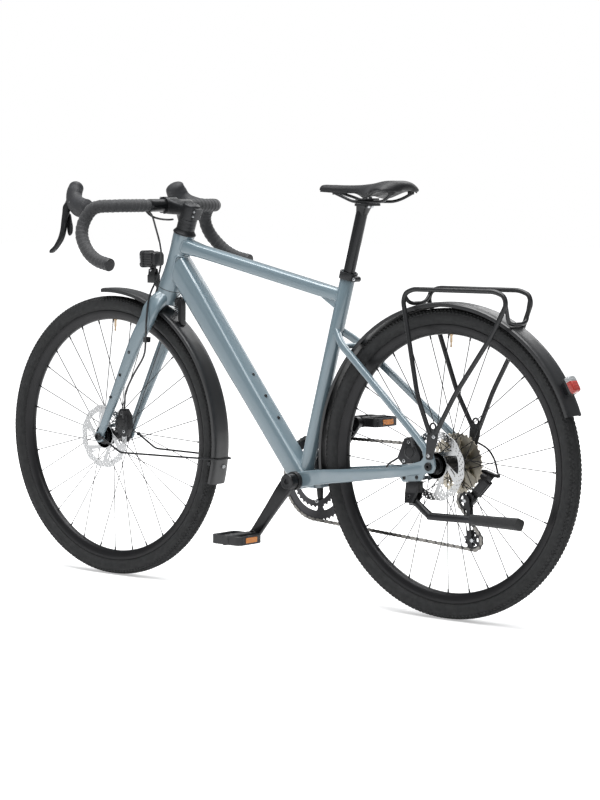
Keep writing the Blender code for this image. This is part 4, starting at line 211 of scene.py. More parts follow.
def rounded_corners(points, radius, steps=5):
    """A path whose corners are turned on a radius, as bent tube is."""
    path = [points[0]]
    for before, corner, after in zip(points, points[1:], points[2:]):
        back, ahead = before - corner, after - corner
        cut = min(radius, 0.45 * back.length, 0.45 * ahead.length)
        first, last = corner + cut * back.normalized(), corner + cut * ahead.normalized()
        for i in range(steps + 1):
            t = i / steps
            path.append((1 - t) ** 2 * first + 2 * t * (1 - t) * corner + t * t * last)
    return [*path, points[-1]]


def soft_outline(corners, radius, steps=3):
    """A closed flat outline whose corners are turned on a radius."""
    corners = [xyz(x, y, 0) for x, y in corners]
    seam = corners[-1].lerp(corners[0], 0.5)
    return [(p.x, p.y) for p in rounded_corners([seam, *corners, seam], radius, steps)[:-1]]


def frames_along(points, side=LEFT, closed=False):
    """Each point with the two directions across the path, carried along it without twist."""
    frames, across, count = [], Vector(side), len(points)
    for i, point in enumerate(points):
        before = points[i - 1] if i or closed else point
        after = points[(i + 1) % count] if i < count - 1 or closed else point
        along = (after - before).normalized()
        across = (across - across.dot(along) * along).normalized()
        frames.append((point, across, along.cross(across)))
    return frames


def sweep(points, sections, side=LEFT, closed=False):
    """A section, or one for each point, drawn along a path."""
    if not isinstance(sections[0][0], tuple):
        sections = [sections] * len(points)
    rings = []
    for (point, across, upward), section in zip(frames_along(points, side, closed), sections):
        rings.append([point + w * across + h * upward for w, h in section])
    return loft(rings, closed)


def between(sections, steps):
    """Sections eased from each one to the next."""
    made = []
    for first, last in zip(sections, sections[1:]):
        for step in range(steps):
            t = step / steps
            made.append([(a[0] + t * (b[0] - a[0]), a[1] + t * (b[1] - a[1]))
                         for a, b in zip(first, last)])
    return [*made, sections[-1]]


def across_axis(axis):
    """The axis at unit length, with two directions square to it."""
    axis = Vector(axis).normalized()
    start = xyz(1.0, 0.0, 0.0) if abs(axis.x) < 0.5 else xyz(0.0, 0.0, 1.0)
    start = (start - start.dot(axis) * axis).normalized()
    return axis, start, axis.cross(start)


def turned(profile, centre, axis=LEFT, steps=32, ring=False):
    """(radius, along) points turned about an axis. A ring's profile is closed and never meets the axis."""
    axis, start, other = across_axis(axis)
    turns = [math.tau * i / steps for i in range(steps)]
    turns = [math.cos(turn) * start + math.sin(turn) * other for turn in turns]
    if ring:
        return loft([[centre + r * turn + a * axis for r, a in profile] for turn in turns], closed=True)
    return loft([[centre + r * turn + a * axis for turn in turns] for r, a in profile])


def rod(start, end, radius, sides=16, edge=0.12):
    """A round bar with its two ends eased."""
    span = end - start
    ease = min(edge * radius, 0.3 * span.length)
    profile = [(radius - ease, 0.0), (radius, ease), (radius, span.length - ease),
               (radius - ease, span.length)]
    return turned(profile, start, span, sides)


def cross_rod(x, z, half, radius, sides=16):
    """A round bar straight across the bike."""
    return rod(xyz(x, -half, z), xyz(x, half, z), radius, sides)


def plate(outlines, thickness, place, edge=0.0003):
    """A flat plate cut to its first outline, with the others as holes, and its edges eased."""
    half = thickness / 2
    levels = [(-half, edge), (edge - half, 0.0), (half - edge, 0.0), (half, edge)]
    points, faces, rows = [], [], []
    for height, inset in levels:
        row = []
        for number, outline in enumerate(outlines):
            flat = [Vector(p) for p in outline]
            area = sum(a.x * b.y - b.x * a.y for a, b in zip(flat, flat[1:] + flat[:1]))
            push = inset * (1 if area > 0 else -1) * (1 if number == 0 else -1)
            loop = []
            for before, here, after in zip(flat[-1:] + flat[:-1], flat, flat[1:] + flat[:1]):
                along = ((here - before).normalized() + (after - here).normalized()).normalized()
                shifted = here + push * Vector((-along.y, along.x))
                loop.append(len(points))
                points.append(place @ Vector((shifted.x, shifted.y, height)))
            row.append(loop)
        rows.append(row)
    for low, high in zip(rows, rows[1:]):
        for loop_low, loop_high in zip(low, high):
            for i in range(len(loop_low)):
                j = (i + 1) % len(loop_low)
                faces.append((loop_low[i], loop_low[j], loop_high[j], loop_high[i]))
    fan = tessellate_polygon([[Vector((x, y, 0.0)) for x, y in outline] for outline in outlines])
    for row, turn in ((rows[0], -1), (rows[-1], 1)):
        order = [i for loop in row for i in loop]
        faces += [tuple(order[i] for i in face[::turn]) for face in fan]
    return points, faces


def side_plane(y, x=0.0, z=0.0):
    """Stands a flat drawing upright in the bike's own plane, y to the left."""
    return Matrix(((1, 0, 0, x), (0, 0, -1, y), (0, 1, 0, z), (0, 0, 0, 1)))


def ringlet(radius, count, centre=(0.0, 0.0)):
    """A round hole or disc as a flat outline."""
    turns = [math.tau * i / count for i in range(count)]
    return [(centre[0] + radius * math.cos(turn), centre[1] + radius * math.sin(turn)) for turn in turns]


def bolt(point, axis, radius, height, socket=0.55):
    """A button-headed screw with a six-sided socket."""
    axis, start, other = across_axis(axis)
    sides = 18
    points, faces = turned([(radius, -0.3 * height), (radius, 0.45 * height), (0.92 * radius, 0.8 * height),
                            (0.72 * radius, height), (socket * radius, height)], point, axis, sides)
    faces.pop()
    corners = [Vector(corner) for corner in ringlet(1.0, 6)]
    base = len(points)
    for level in (height, 0.25 * height):
        for i in range(sides):
            step = i % 3 / 3.0
            flat = socket * radius * ((1 - step) * corners[i // 3] + step * corners[(i // 3 + 1) % 6])
            points.append(point + flat.x * start + flat.y * other + level * axis)
    rim, floor = base - sides, base + sides
    for i in range(sides):
        j = (i + 1) % sides
        faces.append((rim + i, rim + j, base + j, base + i))
        faces.append((base + i, base + j, floor + j, floor + i))
    faces.append(tuple(range(floor, floor + sides)))
    return points, faces


# Pieces


def body_name(node):
    parent = frame["nodes"][node].parent
    return next(name for name, empty in frame["bodies"].items() if empty == parent)


def slot_name(node):
    return next(row["material_slot"] for row in frame["record"]["subparts"] if row["node"] == node)


def mesh_of(name, groups, sharp=35.0):
    """One mesh from (finish, shape) groups, with its faces turned outward and its edges kept by angle."""
    mesh = bpy.data.meshes.new(name)
    points, faces, marks = [], [], []
    for number, (look, shape) in enumerate(groups):
        base = len(points)
        points += shape[0]
        faces += [tuple(base + i for i in face) for face in shape[1]]
        marks += [number] * len(shape[1])
    mesh.from_pydata([tuple(p) for p in points], [], faces)
    mesh.polygons.foreach_set("material_index", marks)
    bm = bmesh.new()
    bm.from_mesh(mesh)
    bmesh.ops.recalc_face_normals(bm, faces=bm.faces)
    bm.to_mesh(mesh)
    bm.free()
    for look, shape in groups:
        mesh.materials.append(finish(look))
    mesh.shade_smooth()
    mesh.set_sharp_from_angle(angle=math.radians(sharp))
    return mesh


def placed(name, data):
    """A new object, put in the scene."""
    thing = bpy.data.objects.new(name, data)
    bpy.context.scene.collection.objects.link(thing)
    return thing


def ride(thing, node, replaces=()):
    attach(thing, body_name(node))
    if replaces:
        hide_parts(*replaces)
    slot_name(node)
    return thing


def piece(name, node, groups, sharp=35.0, replaces=None):
    """A finished piece that stands for a node, or rides with it where replaces is empty."""
    thing = placed(name, mesh_of(name, groups, sharp))
    return ride(thing, node, (node,) if replaces is None else replaces)


def applied(thing):
    """Turns what the object's modifiers make into its own plain mesh."""
    graph = bpy.context.evaluated_depsgraph_get()
    mesh = bpy.data.meshes.new_from_object(thing.evaluated_get(graph), depsgraph=graph)
    thing.modifiers.clear()
    thing.data = mesh
    return thing


def dressed(name, node, look, width=0.0006, extra=(), steps=2, sharp=32.0):
    """The node's own form with its edges rounded, for machined and moulded pieces."""
    bm = bmesh.new()
    bm.from_mesh(frame["nodes"][node].data)
    bmesh.ops.remove_doubles(bm, verts=bm.verts, dist=0.00002)
    bmesh.ops.dissolve_limit(bm, angle_limit=math.radians(1.0), verts=bm.verts, edges=bm.edges)
    mesh = bpy.data.meshes.new(name)
    bm.to_mesh(mesh)
    bm.free()
    mesh.materials.clear()
    mesh.materials.append(finish(look))
    mesh.polygons.foreach_set("material_index", [0] * len(mesh.polygons))
    thing = placed(name, mesh)
    bevel = thing.modifiers.new("Edges", "BEVEL")
    bevel.width, bevel.segments, bevel.limit_method = width, steps, "ANGLE"
    bevel.angle_limit, bevel.use_clamp_overlap = math.radians(sharp), True
    applied(thing)
    thing.data.shade_smooth()
    thing.data.set_sharp_from_angle(angle=math.radians(sharp))
    ride(thing, node, (node,))
    if extra:
        piece(name + "_fittings", node, extra, replaces=())
    return thing


# Repeats, made by geometry nodes

ROUND = "Set out round an axle"
PATH = "Set out along a path"


def feed(tree, socket, value):
    """Gives an input a plain value, or a link from another socket."""
    if isinstance(value, bpy.types.NodeSocket):
        tree.links.new(value, socket)
    else:
        socket.default_value = value


def add_node(tree, kind, links=(), **settings):
    """A node with its settings and its (input, value) pairs."""
    node = tree.nodes.new(kind)
    for key, value in settings.items():
        setattr(node, key, value)
    for label, value in links:
        feed(tree, node.inputs[label], value)
    return node


def new_tree(name, inputs):
    """A node tree with its named inputs, its geometry output and a quick way to add nodes."""
    tree = bpy.data.node_groups.new(name, "GeometryNodeTree")
    for label, kind in inputs:
        tree.interface.new_socket(name=label, in_out="INPUT", socket_type="NodeSocket" + kind)
    tree.interface.new_socket(name="Geometry", in_out="OUTPUT", socket_type="NodeSocketGeometry")
    source, sink = tree.nodes.new("NodeGroupInput"), tree.nodes.new("NodeGroupOutput")
    return tree, source.outputs, sink.inputs, partial(add_node, tree)


def finish_tree(tree, source, sink, add, geometry):
    """Ends a tree: its instances made real, with their finish set."""
    real = add("GeometryNodeRealizeInstances", [("Geometry", geometry)])
    painted = add("GeometryNodeSetMaterial", [("Geometry", real.outputs[0]), ("Material", source["Finish"])])
    feed(tree, sink["Geometry"], painted.outputs[0])
    return tree


def round_tree():
    """Sets an item out round an axle."""
    tree, source, sink, add = new_tree(ROUND, [
        ("Item", "Object"), ("Count", "Int"), ("Radius", "Float"), ("Start", "Float"), ("Centre", "Vector"),
        ("Finish", "Material")])
    step = add("ShaderNodeMath", [(0, math.tau), (1, source["Count"])], operation="DIVIDE")
    index = add("GeometryNodeInputIndex")
    turn = add("ShaderNodeMath", [(0, index.outputs[0]), (1, step.outputs[0]), (2, source["Start"])],
               operation="MULTIPLY_ADD")
    cos = add("ShaderNodeMath", [(0, turn.outputs[0])], operation="COSINE")
    sin = add("ShaderNodeMath", [(0, turn.outputs[0])], operation="SINE")
    flat = add("ShaderNodeCombineXYZ", [("X", cos.outputs[0]), ("Z", sin.outputs[0])])
    out = add("ShaderNodeVectorMath", [(0, flat.outputs[0]), (1, source["Radius"]), (2, source["Centre"])],
              operation="MULTIPLY_ADD")
    dots = add("GeometryNodePoints", [("Count", source["Count"]), ("Position", out.outputs[0])])
    back = add("ShaderNodeMath", [(0, turn.outputs[0]), (1, -1.0)], operation="MULTIPLY")
    euler = add("ShaderNodeCombineXYZ", [("Y", back.outputs[0])])
    item = add("GeometryNodeObjectInfo", [("Object", source["Item"])])
    items = add("GeometryNodeInstanceOnPoints", [
        ("Points", dots.outputs[0]), ("Instance", item.outputs["Geometry"]), ("Rotation", euler.outputs[0])])
    return finish_tree(tree, source, sink, add, items.outputs[0])


def path_tree():
    """Sets an item out along a closed or open path, upright and turned to follow it."""
    tree, source, sink, add = new_tree(PATH, [
        ("Path", "Geometry"), ("Item", "Object"), ("Count", "Int"), ("Every", "Int"), ("First", "Int"),
        ("Side", "Vector"), ("Finish", "Material")])
    line = add("GeometryNodeMeshToCurve", [("Mesh", source["Path"])])
    even = add("GeometryNodeResampleCurve", [("Curve", line.outputs[0]), ("Count", source["Count"])],
               mode="COUNT")
    along = add("GeometryNodeInputTangent")
    turn = add("FunctionNodeAxesToRotation", [
        ("Primary Axis", along.outputs[0]), ("Secondary Axis", source["Side"])], primary_axis="X",
        secondary_axis="Y")
    index = add("GeometryNodeInputIndex")
    ahead = add("ShaderNodeMath", [(0, index.outputs[0]), (1, source["First"])], operation="ADD")
    rest = add("ShaderNodeMath", [(0, ahead.outputs[0]), (1, source["Every"])], operation="MODULO")
    chosen = add("FunctionNodeCompare", [(0, rest.outputs[0]), (1, 0.5)], data_type="FLOAT",
                 operation="LESS_THAN")
    item = add("GeometryNodeObjectInfo", [("Object", source["Item"])])
    items = add("GeometryNodeInstanceOnPoints", [
        ("Points", even.outputs[0]), ("Selection", chosen.outputs[0]), ("Instance", item.outputs["Geometry"]),
        ("Rotation", turn.outputs[0])])
    return finish_tree(tree, source, sink, add, items.outputs[0])


def set_out(thing, name, maker, group, sharp, **values):
    """Runs a tree on the object with one (finish, shape) group as its item, and keeps the plain mesh."""
    tree = bpy.data.node_groups.get(name) or maker()
    item = bpy.data.objects.new("item", mesh_of("item", [group], sharp))
    values.update(Item=item, Finish=finish(group[0]))
    modifier = thing.modifiers.new("Repeat", "NODES")
    modifier.node_group = tree
    for socket in tree.interface.items_tree:
        if socket.in_out == "INPUT" and socket.name in values:
            modifier[socket.identifier] = values[socket.name]
    applied(thing)
    bpy.data.objects.remove(item)


def repeat_round(name, node, shape, count, centre, look, radius=0.0, start=0.0, sharp=35.0):
    """One shape, drawn about the axle at the origin, set out evenly round an axle of the bike."""
    thing = placed(name, bpy.data.meshes.new(name))
    set_out(thing, ROUND, round_tree, (look, shape), sharp, Count=count, Radius=radius, Start=start,
            Centre=list(centre))
    return ride(thing, node)


def repeat_along(name, node, shape, points, count, look, every=1, closed=True, side=LEFT, sharp=35.0,
                 first=0):
    """One shape, drawn with its length on X, set out evenly along a path."""
    mesh = bpy.data.meshes.new(name)
    edges = [(i, i + 1) for i in range(len(points) - 1)] + ([(len(points) - 1, 0)] if closed else [])
    mesh.from_pydata([tuple(p) for p in points], edges, [])
    thing = placed(name, mesh)
    set_out(thing, PATH, path_tree, (look, shape), sharp, Count=count, Every=every, First=first,
            Side=list(side))
    return ride(thing, node)


# Finishes


def srgb(red, green, blue):
    return [((c / 255 + 0.055) / 1.055) ** 2.4 if c > 10 else c / 255 / 12.92 for c in (red, green, blue)]


def darker(colour, share):
    return [c * share for c in colour]


def paler(colour, share, lift=0.0):
    return [min(1.0, c * share + lift) for c in colour]


class Finish:
    """One material's nodes: its own coordinates, its shader and a quick way to add to them."""

    def __init__(self, name):
        self.material = bpy.data.materials.new(name)
        self.material.use_nodes = True
        self.tree = self.material.node_tree
        self.shader = self.tree.nodes["Principled BSDF"]
        self.place = self.add("ShaderNodeTexCoord").outputs["Object"]

    def add(self, kind, links=(), **settings):
        return add_node(self.tree, kind, links, **settings)

    def set(self, **values):
        """Sets the shader's own inputs, named in small letters."""
        for label, value in values.items():
            self.join(value, label.replace("_", " ").title().replace("Ior", "IOR"))

    def join(self, value, label):
        feed(self.tree, self.shader.inputs[label], value)

    def noise(self, scale, detail=3.0, rough=0.5, place=None):
        """A soft random pattern from 0 to 1."""
        return self.add("ShaderNodeTexNoise", [
            ("Vector", place or self.place), ("Scale", scale), ("Detail", detail),
            ("Roughness", rough)]).outputs["Fac"]

    def cells(self, scale, output="Distance", links=(), **settings):
        """A pattern of cells, by the distance from their middles."""
        links = [("Vector", self.place), ("Scale", scale), *links]
        return self.add("ShaderNodeTexVoronoi", links, **settings).outputs[output]

    def tone(self, scale, dark, colour):
        """A colour that drifts between two."""
        return self.blend(self.spread(self.noise(scale), 0.0, 1.0), dark, colour)

    def gloss(self, scale, low, high):
        """Lets the roughness drift between two values."""
        self.join(self.spread(self.noise(scale), low, high), "Roughness")

    def spread(self, socket, low, high, start=0.3, stop=0.7):
        """A 0 to 1 pattern brought between two values."""
        return self.add("ShaderNodeMapRange", [("Value", socket), ("From Min", start), ("From Max", stop),
                                               ("To Min", low), ("To Max", high)]).outputs["Result"]

    def blend(self, share, first, second):
        ends = [end if isinstance(end, bpy.types.NodeSocket) else (*end, 1.0) for end in (first, second)]
        links = [("Factor", share), (6, ends[0]), (7, ends[1])]
        return self.add("ShaderNodeMix", links, data_type="RGBA").outputs[2]

    def math(self, operation, *values):
        return self.add("ShaderNodeMath", enumerate(values), operation=operation).outputs[0]

    def bump(self, height, strength, distance=0.0004, over=None):
        links = [("Height", height), ("Strength", strength), ("Distance", distance)]
        if over:
            links.append(("Normal", over))
        return self.add("ShaderNodeBump", links).outputs["Normal"]

    def round_axle(self, centre):
        """The distance from an axle and the turn round it."""
        moved = self.add("ShaderNodeMapping", [
            ("Vector", self.place), ("Location", tuple(-c for c in centre)), ("Scale", (1.0, 0.0, 1.0))],
            vector_type="POINT").outputs[0]
        reach = self.add("ShaderNodeVectorMath", [(0, moved)], operation="LENGTH").outputs["Value"]
        parts = self.add("ShaderNodeSeparateXYZ", [(0, moved)])
        return reach, self.math("ARCTAN2", parts.outputs["Z"], parts.outputs["X"])


def surface(name, colour, rough, grain, depth, tone=0.82, scale=40.0, worn=0.0, **sockets):
    """A finish with a drifting tone, a drifting gloss, a fine grain and, where worn, paler edges."""
    made, colour = Finish(name), srgb(*colour)
    paint = made.tone(scale, darker(colour, tone), colour)
    if worn:
        edge = made.add("ShaderNodeNewGeometry").outputs["Pointiness"]
        scuffed = made.math("MULTIPLY", made.spread(edge, 0.0, worn, 0.52, 0.60), made.noise(scale * 6.0))
        paint = made.blend(scuffed, paint, paler(colour, 2.5, 0.06))
    made.join(paint, "Base Color")
    made.gloss(scale * 2.7, *rough)
    made.join(made.bump(made.noise(grain, 2.0), depth), "Normal")
    made.set(**sockets)
    return made


def paint_finish():
    """Gloss frame paint: fine flake under a clear coat, with the slightest waviness."""
    colour = list(bpy.context.scene.gravel_bike.paint)
    made = Finish("frame_gloss_paint")
    flake = made.add("ShaderNodeSeparateColor", [(0, made.cells(1500.0, "Color"))]).outputs[0]
    spark = made.spread(flake, 0.0, 1.0, 0.0, 1.0)
    base = made.tone(5.0, darker(colour, 0.96), colour)
    made.join(made.blend(spark, base, paler(colour, 1.07)), "Base Color")
    made.gloss(60.0, 0.30, 0.38)
    made.join(made.bump(made.noise(90.0, 1.0), 0.012), "Normal")
    made.set(metallic=0.10, coat_weight=1.0, coat_roughness=0.05)
    return made


def tyre_finish(name, centre):
    """Black rubber with moulded rings round its side walls and a dusty bloom."""
    made, colour = Finish(name), list(bpy.context.scene.gravel_bike.tyre)
    reach, turn = made.round_axle(centre)
    rings = made.math("SINE", made.math("MULTIPLY", reach, 4200.0))
    ribs = made.math("SINE", made.math("MULTIPLY", turn, 360.0))
    low = made.spread(reach, 1.0, 0.0, 0.3360, 0.3400)
    lines = made.math("MULTIPLY", made.math("ADD", rings, made.math("MULTIPLY", ribs, 0.35)), low)
    made.join(made.tone(55.0, darker(colour, 0.75), darker(colour, 1.2)), "Base Color")
    made.gloss(90.0, 0.72, 0.86)
    first = made.bump(lines, 0.35, 0.0002)
    made.join(made.bump(made.noise(1400.0, 2.0), 0.12, 0.0003, first), "Normal")
    return made


def turned_metal(name, colour, centre, rough=(0.22, 0.34)):
    """Steel or alloy brushed round its axle."""
    made, colour = Finish(name), srgb(*colour)
    reach, turn = made.round_axle(centre)
    grooves = made.add("ShaderNodeCombineXYZ", [
        ("X", made.math("MULTIPLY", reach, 2600.0)), ("Y", made.math("MULTIPLY", turn, 2.0))]).outputs[0]
    brushed = made.noise(1.0, 3.0, 0.6, grooves)
    made.join(made.blend(made.spread(brushed, 0.0, 1.0), darker(colour, 0.78), colour), "Base Color")
    made.join(made.spread(brushed, *rough), "Roughness")
    made.join(made.bump(brushed, 0.10, 0.0001), "Normal")
    made.set(metallic=1.0)
    return made


def rubber_finish(name, colour, scale=420.0):
    """Moulded rubber with a fine raised pattern."""
    made, colour = Finish(name), srgb(*colour)
    dots = made.cells(scale, links=[("Randomness", 0.25)], distance="CHEBYCHEV")
    made.join(made.tone(70.0, darker(colour, 0.8), colour), "Base Color")
    made.gloss(120.0, 0.60, 0.74)
    first = made.bump(made.spread(dots, 1.0, 0.0, 0.1, 0.6), 0.30, 0.0003)
    made.join(made.bump(made.noise(1500.0, 2.0), 0.10, 0.0002, first), "Normal")
    return made


def lens_finish(name, colour, scale, transmission):
    """A moulded lens with rows of prisms behind its skin, each prism paler on its top as painted highlight
    and darker at its edges as painted shade.
    """
    made = Finish(name)
    height = made.spread(made.cells(scale, links=[("Randomness", 0.0)]), 1.0, 0.0, 0.0, 0.6)
    # The colour follows the prisms' height: painted highlight on their tops, painted shade in the grooves
    # between them.
    made.join(made.blend(height, darker(colour, 0.55), paler(colour, 1.15)), "Base Color")
    made.gloss(90.0, 0.10, 0.18)
    made.join(made.bump(height, 0.35, 0.0004), "Normal")
    made.set(ior=1.45, transmission_weight=transmission, coat_weight=0.25)
    return made


def cover_finish():
    """Smooth black synthetic leather, with a fine pebble and a soft sheen."""
    made, colour = Finish("saddle_cover"), srgb(25, 26, 28)
    made.join(made.tone(25.0, darker(colour, 0.78), colour), "Base Color")
    made.gloss(60.0, 0.44, 0.56)
    first = made.bump(made.spread(made.cells(900.0), 0.0, 1.0, 0.0, 0.8), 0.22, 0.0002)
    made.join(made.bump(made.noise(130.0, 3.0), 0.05, 0.0006, first), "Normal")
    made.set(sheen_weight=0.05, sheen_roughness=0.4, specular_ior_level=0.28)
    return made


def tape_finish():
    """Padded grip tape: cork-like foam with small pressed dots, each darkened in its hollow as painted shade.
    """
    made, colour = Finish("bar_tape_foam"), list(bpy.context.scene.gravel_bike.tape)
    pits_with_painted_shade = made.spread(made.cells(360.0, links=[("Randomness", 0.1)]), 0.0, 1.0, 0.12, 0.32)
    base = made.tone(220.0, darker(colour, 0.72), colour)
    # The pressed dots are darkened in the base colour: painted shade in their hollows.
    made.join(made.blend(pits_with_painted_shade, darker(colour, 0.55), base), "Base Color")
    made.gloss(160.0, 0.66, 0.82)
    first = made.bump(pits_with_painted_shade, 0.35, 0.0003)
    made.join(made.bump(made.noise(900.0, 3.0), 0.18, 0.0003, first), "Normal")
    made.set(sheen_weight=0.15)
    return made


# Plain surfaces: name, sRGB colour, roughness, fineness and depth of the grain, and what else differs

SURFACES = {
    "black_alloy": ("satin_black_alloy", (32, 33, 35), (0.34, 0.46), 900.0, 0.04,
                    {"worn": 0.5, "metallic": 0.55}),
    "polished_black": ("polished_black_alloy", (26, 27, 29), (0.28, 0.38), 500.0, 0.02,
                       {"worn": 0.4, "metallic": 0.6, "coat_weight": 0.12}),
    "plastic": ("moulded_black_plastic", (30, 31, 33), (0.44, 0.58), 650.0, 0.16, {}),
    "guard": ("mudguard_satin_black", (31, 32, 34), (0.34, 0.44), 420.0, 0.05,
              {"scale": 18.0, "coat_weight": 0.15}),
    "rack": ("powder_coated_tube", (26, 27, 29), (0.36, 0.48), 520.0, 0.14, {"worn": 0.3, "metallic": 0.2}),
    "rim": ("anodised_rim", (27, 27, 29), (0.34, 0.44), 800.0, 0.03, {"scale": 16.0, "metallic": 0.5}),
    "spoke": ("black_spoke_steel", (40, 40, 42), (0.30, 0.40), 900.0, 0.02, {"metallic": 0.7}),
    "hub": ("anodised_hub", (28, 29, 31), (0.26, 0.36), 600.0, 0.03, {"worn": 0.3, "metallic": 0.6}),
    "steel": ("plated_steel", (186, 188, 190), (0.20, 0.32), 900.0, 0.04, {"metallic": 1.0}),
    "brass": ("valve_brass", (204, 180, 150), (0.20, 0.32), 900.0, 0.04, {"metallic": 1.0}),
    "chain_plate": ("chain_plate_steel", (136, 134, 130), (0.26, 0.40), 1500.0, 0.10,
                    {"scale": 300.0, "metallic": 1.0}),
    "chain_inner": ("chain_inner_steel", (92, 91, 90), (0.30, 0.44), 1500.0, 0.10,
                    {"scale": 300.0, "metallic": 1.0}),
    "base_shell": ("saddle_base_shell", (26, 27, 28), (0.40, 0.52), 500.0, 0.12, {}),
    "hose": ("hose_jacket", (30, 31, 33), (0.36, 0.46), 1100.0, 0.10, {"scale": 90.0}),
    "mirror": ("lamp_reflector", (225, 226, 228), (0.06, 0.12), 200.0, 0.01, {"tone": 0.95, "metallic": 1.0}),
}
FINISHES = {
    "paint": paint_finish,
    "front_rotor": lambda: turned_metal("front_disc_steel", (184, 185, 186), FRONT_AXLE),
    "rear_rotor": lambda: turned_metal("rear_disc_steel", (184, 185, 186), REAR_AXLE),
    "sprocket": lambda: turned_metal("sprocket_steel", (206, 199, 184), REAR_AXLE, (0.28, 0.40)),
    "ring": lambda: turned_metal("chainring_alloy", (74, 74, 76), ORIGIN, (0.28, 0.38)),
    "front_tyre": lambda: tyre_finish("front_tyre_rubber", FRONT_AXLE),
    "rear_tyre": lambda: tyre_finish("rear_tyre_rubber", REAR_AXLE),
    "rubber": lambda: rubber_finish("moulded_rubber", (32, 33, 34)),
    "hood": lambda: rubber_finish("hood_rubber", (40, 41, 44), 300.0),
    "tape": tape_finish,
    "cover": cover_finish,
    "amber": lambda: lens_finish("amber_reflector", bpy.context.scene.gravel_bike.reflector, 420.0, 0.0),
    "red": lambda: lens_finish("red_lens", bpy.context.scene.gravel_bike.lens, 300.0, 0.15),
    "clear": lambda: lens_finish("clear_lens", srgb(222, 226, 228), 260.0, 0.35),
}
made_finishes = {}


def finish(name):
    """The material of that name, made when it is first asked for."""
    if name not in made_finishes:
        if name in SURFACES:
            *plain, others = SURFACES[name]
            made_finishes[name] = surface(*plain, **others).material
        else:
            made_finishes[name] = FINISHES[name]().material
    return made_finishes[name]


# Camera, light and floor


def build_stage():
    """The photograph's viewing angle, plain soft light and a pale floor."""
    scene = bpy.context.scene
    data = bpy.data.cameras.new("Camera")
    data.lens, data.sensor_width, data.clip_end = 112.94, 36.0, 100.0
    scene.camera = placed("Camera", data)
    scene.camera.matrix_world = Matrix((
        (-0.7602, 0.0527, -0.6475, -3.8414), (-0.6497, -0.0646, 0.7575, 4.5098),
        (-0.0019, 0.9965, 0.0833, 0.6846), (0, 0, 0, 1)))
    scene.view_settings.view_transform = "Standard"
    lamps = (("Key", (-2.2, 2.4, 4.2), 2.4, 62.0), ("Fill", (2.6, 3.4, 1.8), 2.6, 6.0),
             ("Far side", (1.0, -3.6, 3.0), 2.6, 52.0), ("Top", (0.2, 0.3, 3.6), 3.2, 215.0))
    for name, place, size, power in lamps:
        light = bpy.data.lights.new(name, "AREA")
        light.size, light.energy, light.color = size, power, (1.0, 1.0, 1.0)
        lamp = placed(name, light)
        lamp.location = place
        lamp.rotation_euler = (xyz(0.1, 0.0, 0.1) - Vector(place)).to_track_quat("-Z", "Y").to_euler()
    world = bpy.data.worlds.new("Studio")
    scene.world = world
    world.use_nodes = True
    world.node_tree.nodes.clear()
    add = partial(add_node, world.node_tree)
    path = add("ShaderNodeLightPath").outputs
    seen = add("ShaderNodeMath", [(0, path["Is Camera Ray"]), (1, path["Is Transmission Ray"])],
               operation="MAXIMUM")
    soft = add("ShaderNodeBackground", [("Color", (0.94, 0.96, 0.98, 1.0)), ("Strength", 0.30)])
    white = add("ShaderNodeBackground", [("Color", (1.0, 1.0, 1.0, 1.0)), ("Strength", 1.0)])
    mix = add("ShaderNodeMixShader", [(0, seen.outputs[0]), (1, soft.outputs[0]), (2, white.outputs[0])])
    add("ShaderNodeOutputWorld", [(0, mix.outputs[0])])
    floor = placed("Floor", bpy.data.meshes.new("Floor"))
    corners = [(30.0 * x, 30.0 * y, GROUND) for x, y in ((-1, -1), (1, -1), (1, 1), (-1, 1))]
    floor.data.from_pydata(corners, [], [(0, 1, 2, 3)])
    pale = Finish("pale_floor")
    pale.join(pale.tone(2.0, (0.80, 0.80, 0.80), (0.83, 0.83, 0.83)), "Base Color")
    rays = pale.add("ShaderNodeLightPath").outputs
    shown = pale.math("MAXIMUM", rays["Is Camera Ray"], rays["Is Glossy Ray"])
    reach = pale.add("ShaderNodeVectorMath", [(0, pale.place)], operation="LENGTH").outputs["Value"]
    glow = pale.math("MULTIPLY", shown, pale.spread(reach, 0.42, 1.0, 0.9, 2.6))
    pale.set(roughness=0.9, specular_ior_level=0.1, emission_color=(1.0, 1.0, 1.0, 1.0),
             emission_strength=glow)
    floor.data.materials.append(pale.material)


# Cords: the hoses, the gear housing and the coiled light cable


HOSE_RADIUS = 0.0024
CABLE_RADIUS = 0.00085


def lay_cord(name, node, points, radius):
    """A cord as one open curve of round section."""
    curve = bpy.data.curves.new(name, "CURVE")
    curve.dimensions, curve.use_fill_caps = "3D", True
    curve.bevel_depth, curve.bevel_resolution = radius, 3
    spline = curve.splines.new("POLY")
    spline.points.add(len(points) - 1)
    for mark, point in zip(spline.points, points):
        mark.co = (*point, 1.0)
    spline.use_smooth = True
    curve.materials.append(finish("hose"))
    cord = ride(placed(name, curve), node, (node,))
    reach = sum((b - a).length for a, b in zip(points, points[1:]))
    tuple(points[0])


FRONT_HOSE = spots(
    (.4340, .0757, .6331), (.4338, .0650, .6240), (.4333, .0550, .6004), (.4327, .0350, .5388),
    (.4400, .0330, .4845), (.4560, .0520, .4260), (.4508, .0690, .3680), (.4540, .0690, .3183),
    (.4600, .0700, .2784), (.4942, .0700, .2324), (.5243, .0680, .1870), (.5420, .0540, .1570),
    (.5520, .0450, .1510), (.5600, .0385, .1428))
BAR_HOSE = spots(
    (.4420, .0757, .6333), (.4425, .0660, .6265), (.4400, .0540, .6200), (.4300, .0400, .6150),
    (.4150, .0270, .6130), (.3990, .0270, .6140))
GEAR_HOUSING = spots(
    (-.4100, -.0840, .1180), (-.4400, -.0850, .1120), (-.4740, -.0850, .0980), (-.4930, -.0850, .0760),
    (-.5003, -.0850, .0560), (-.5040, -.0850, .0424))
REAR_HOSE = spots(
    (-.2960, .0600, .0560), (-.3050, .0600, .0650), (-.3170, .0590, .0720), (-.3270, .0580, .0780))
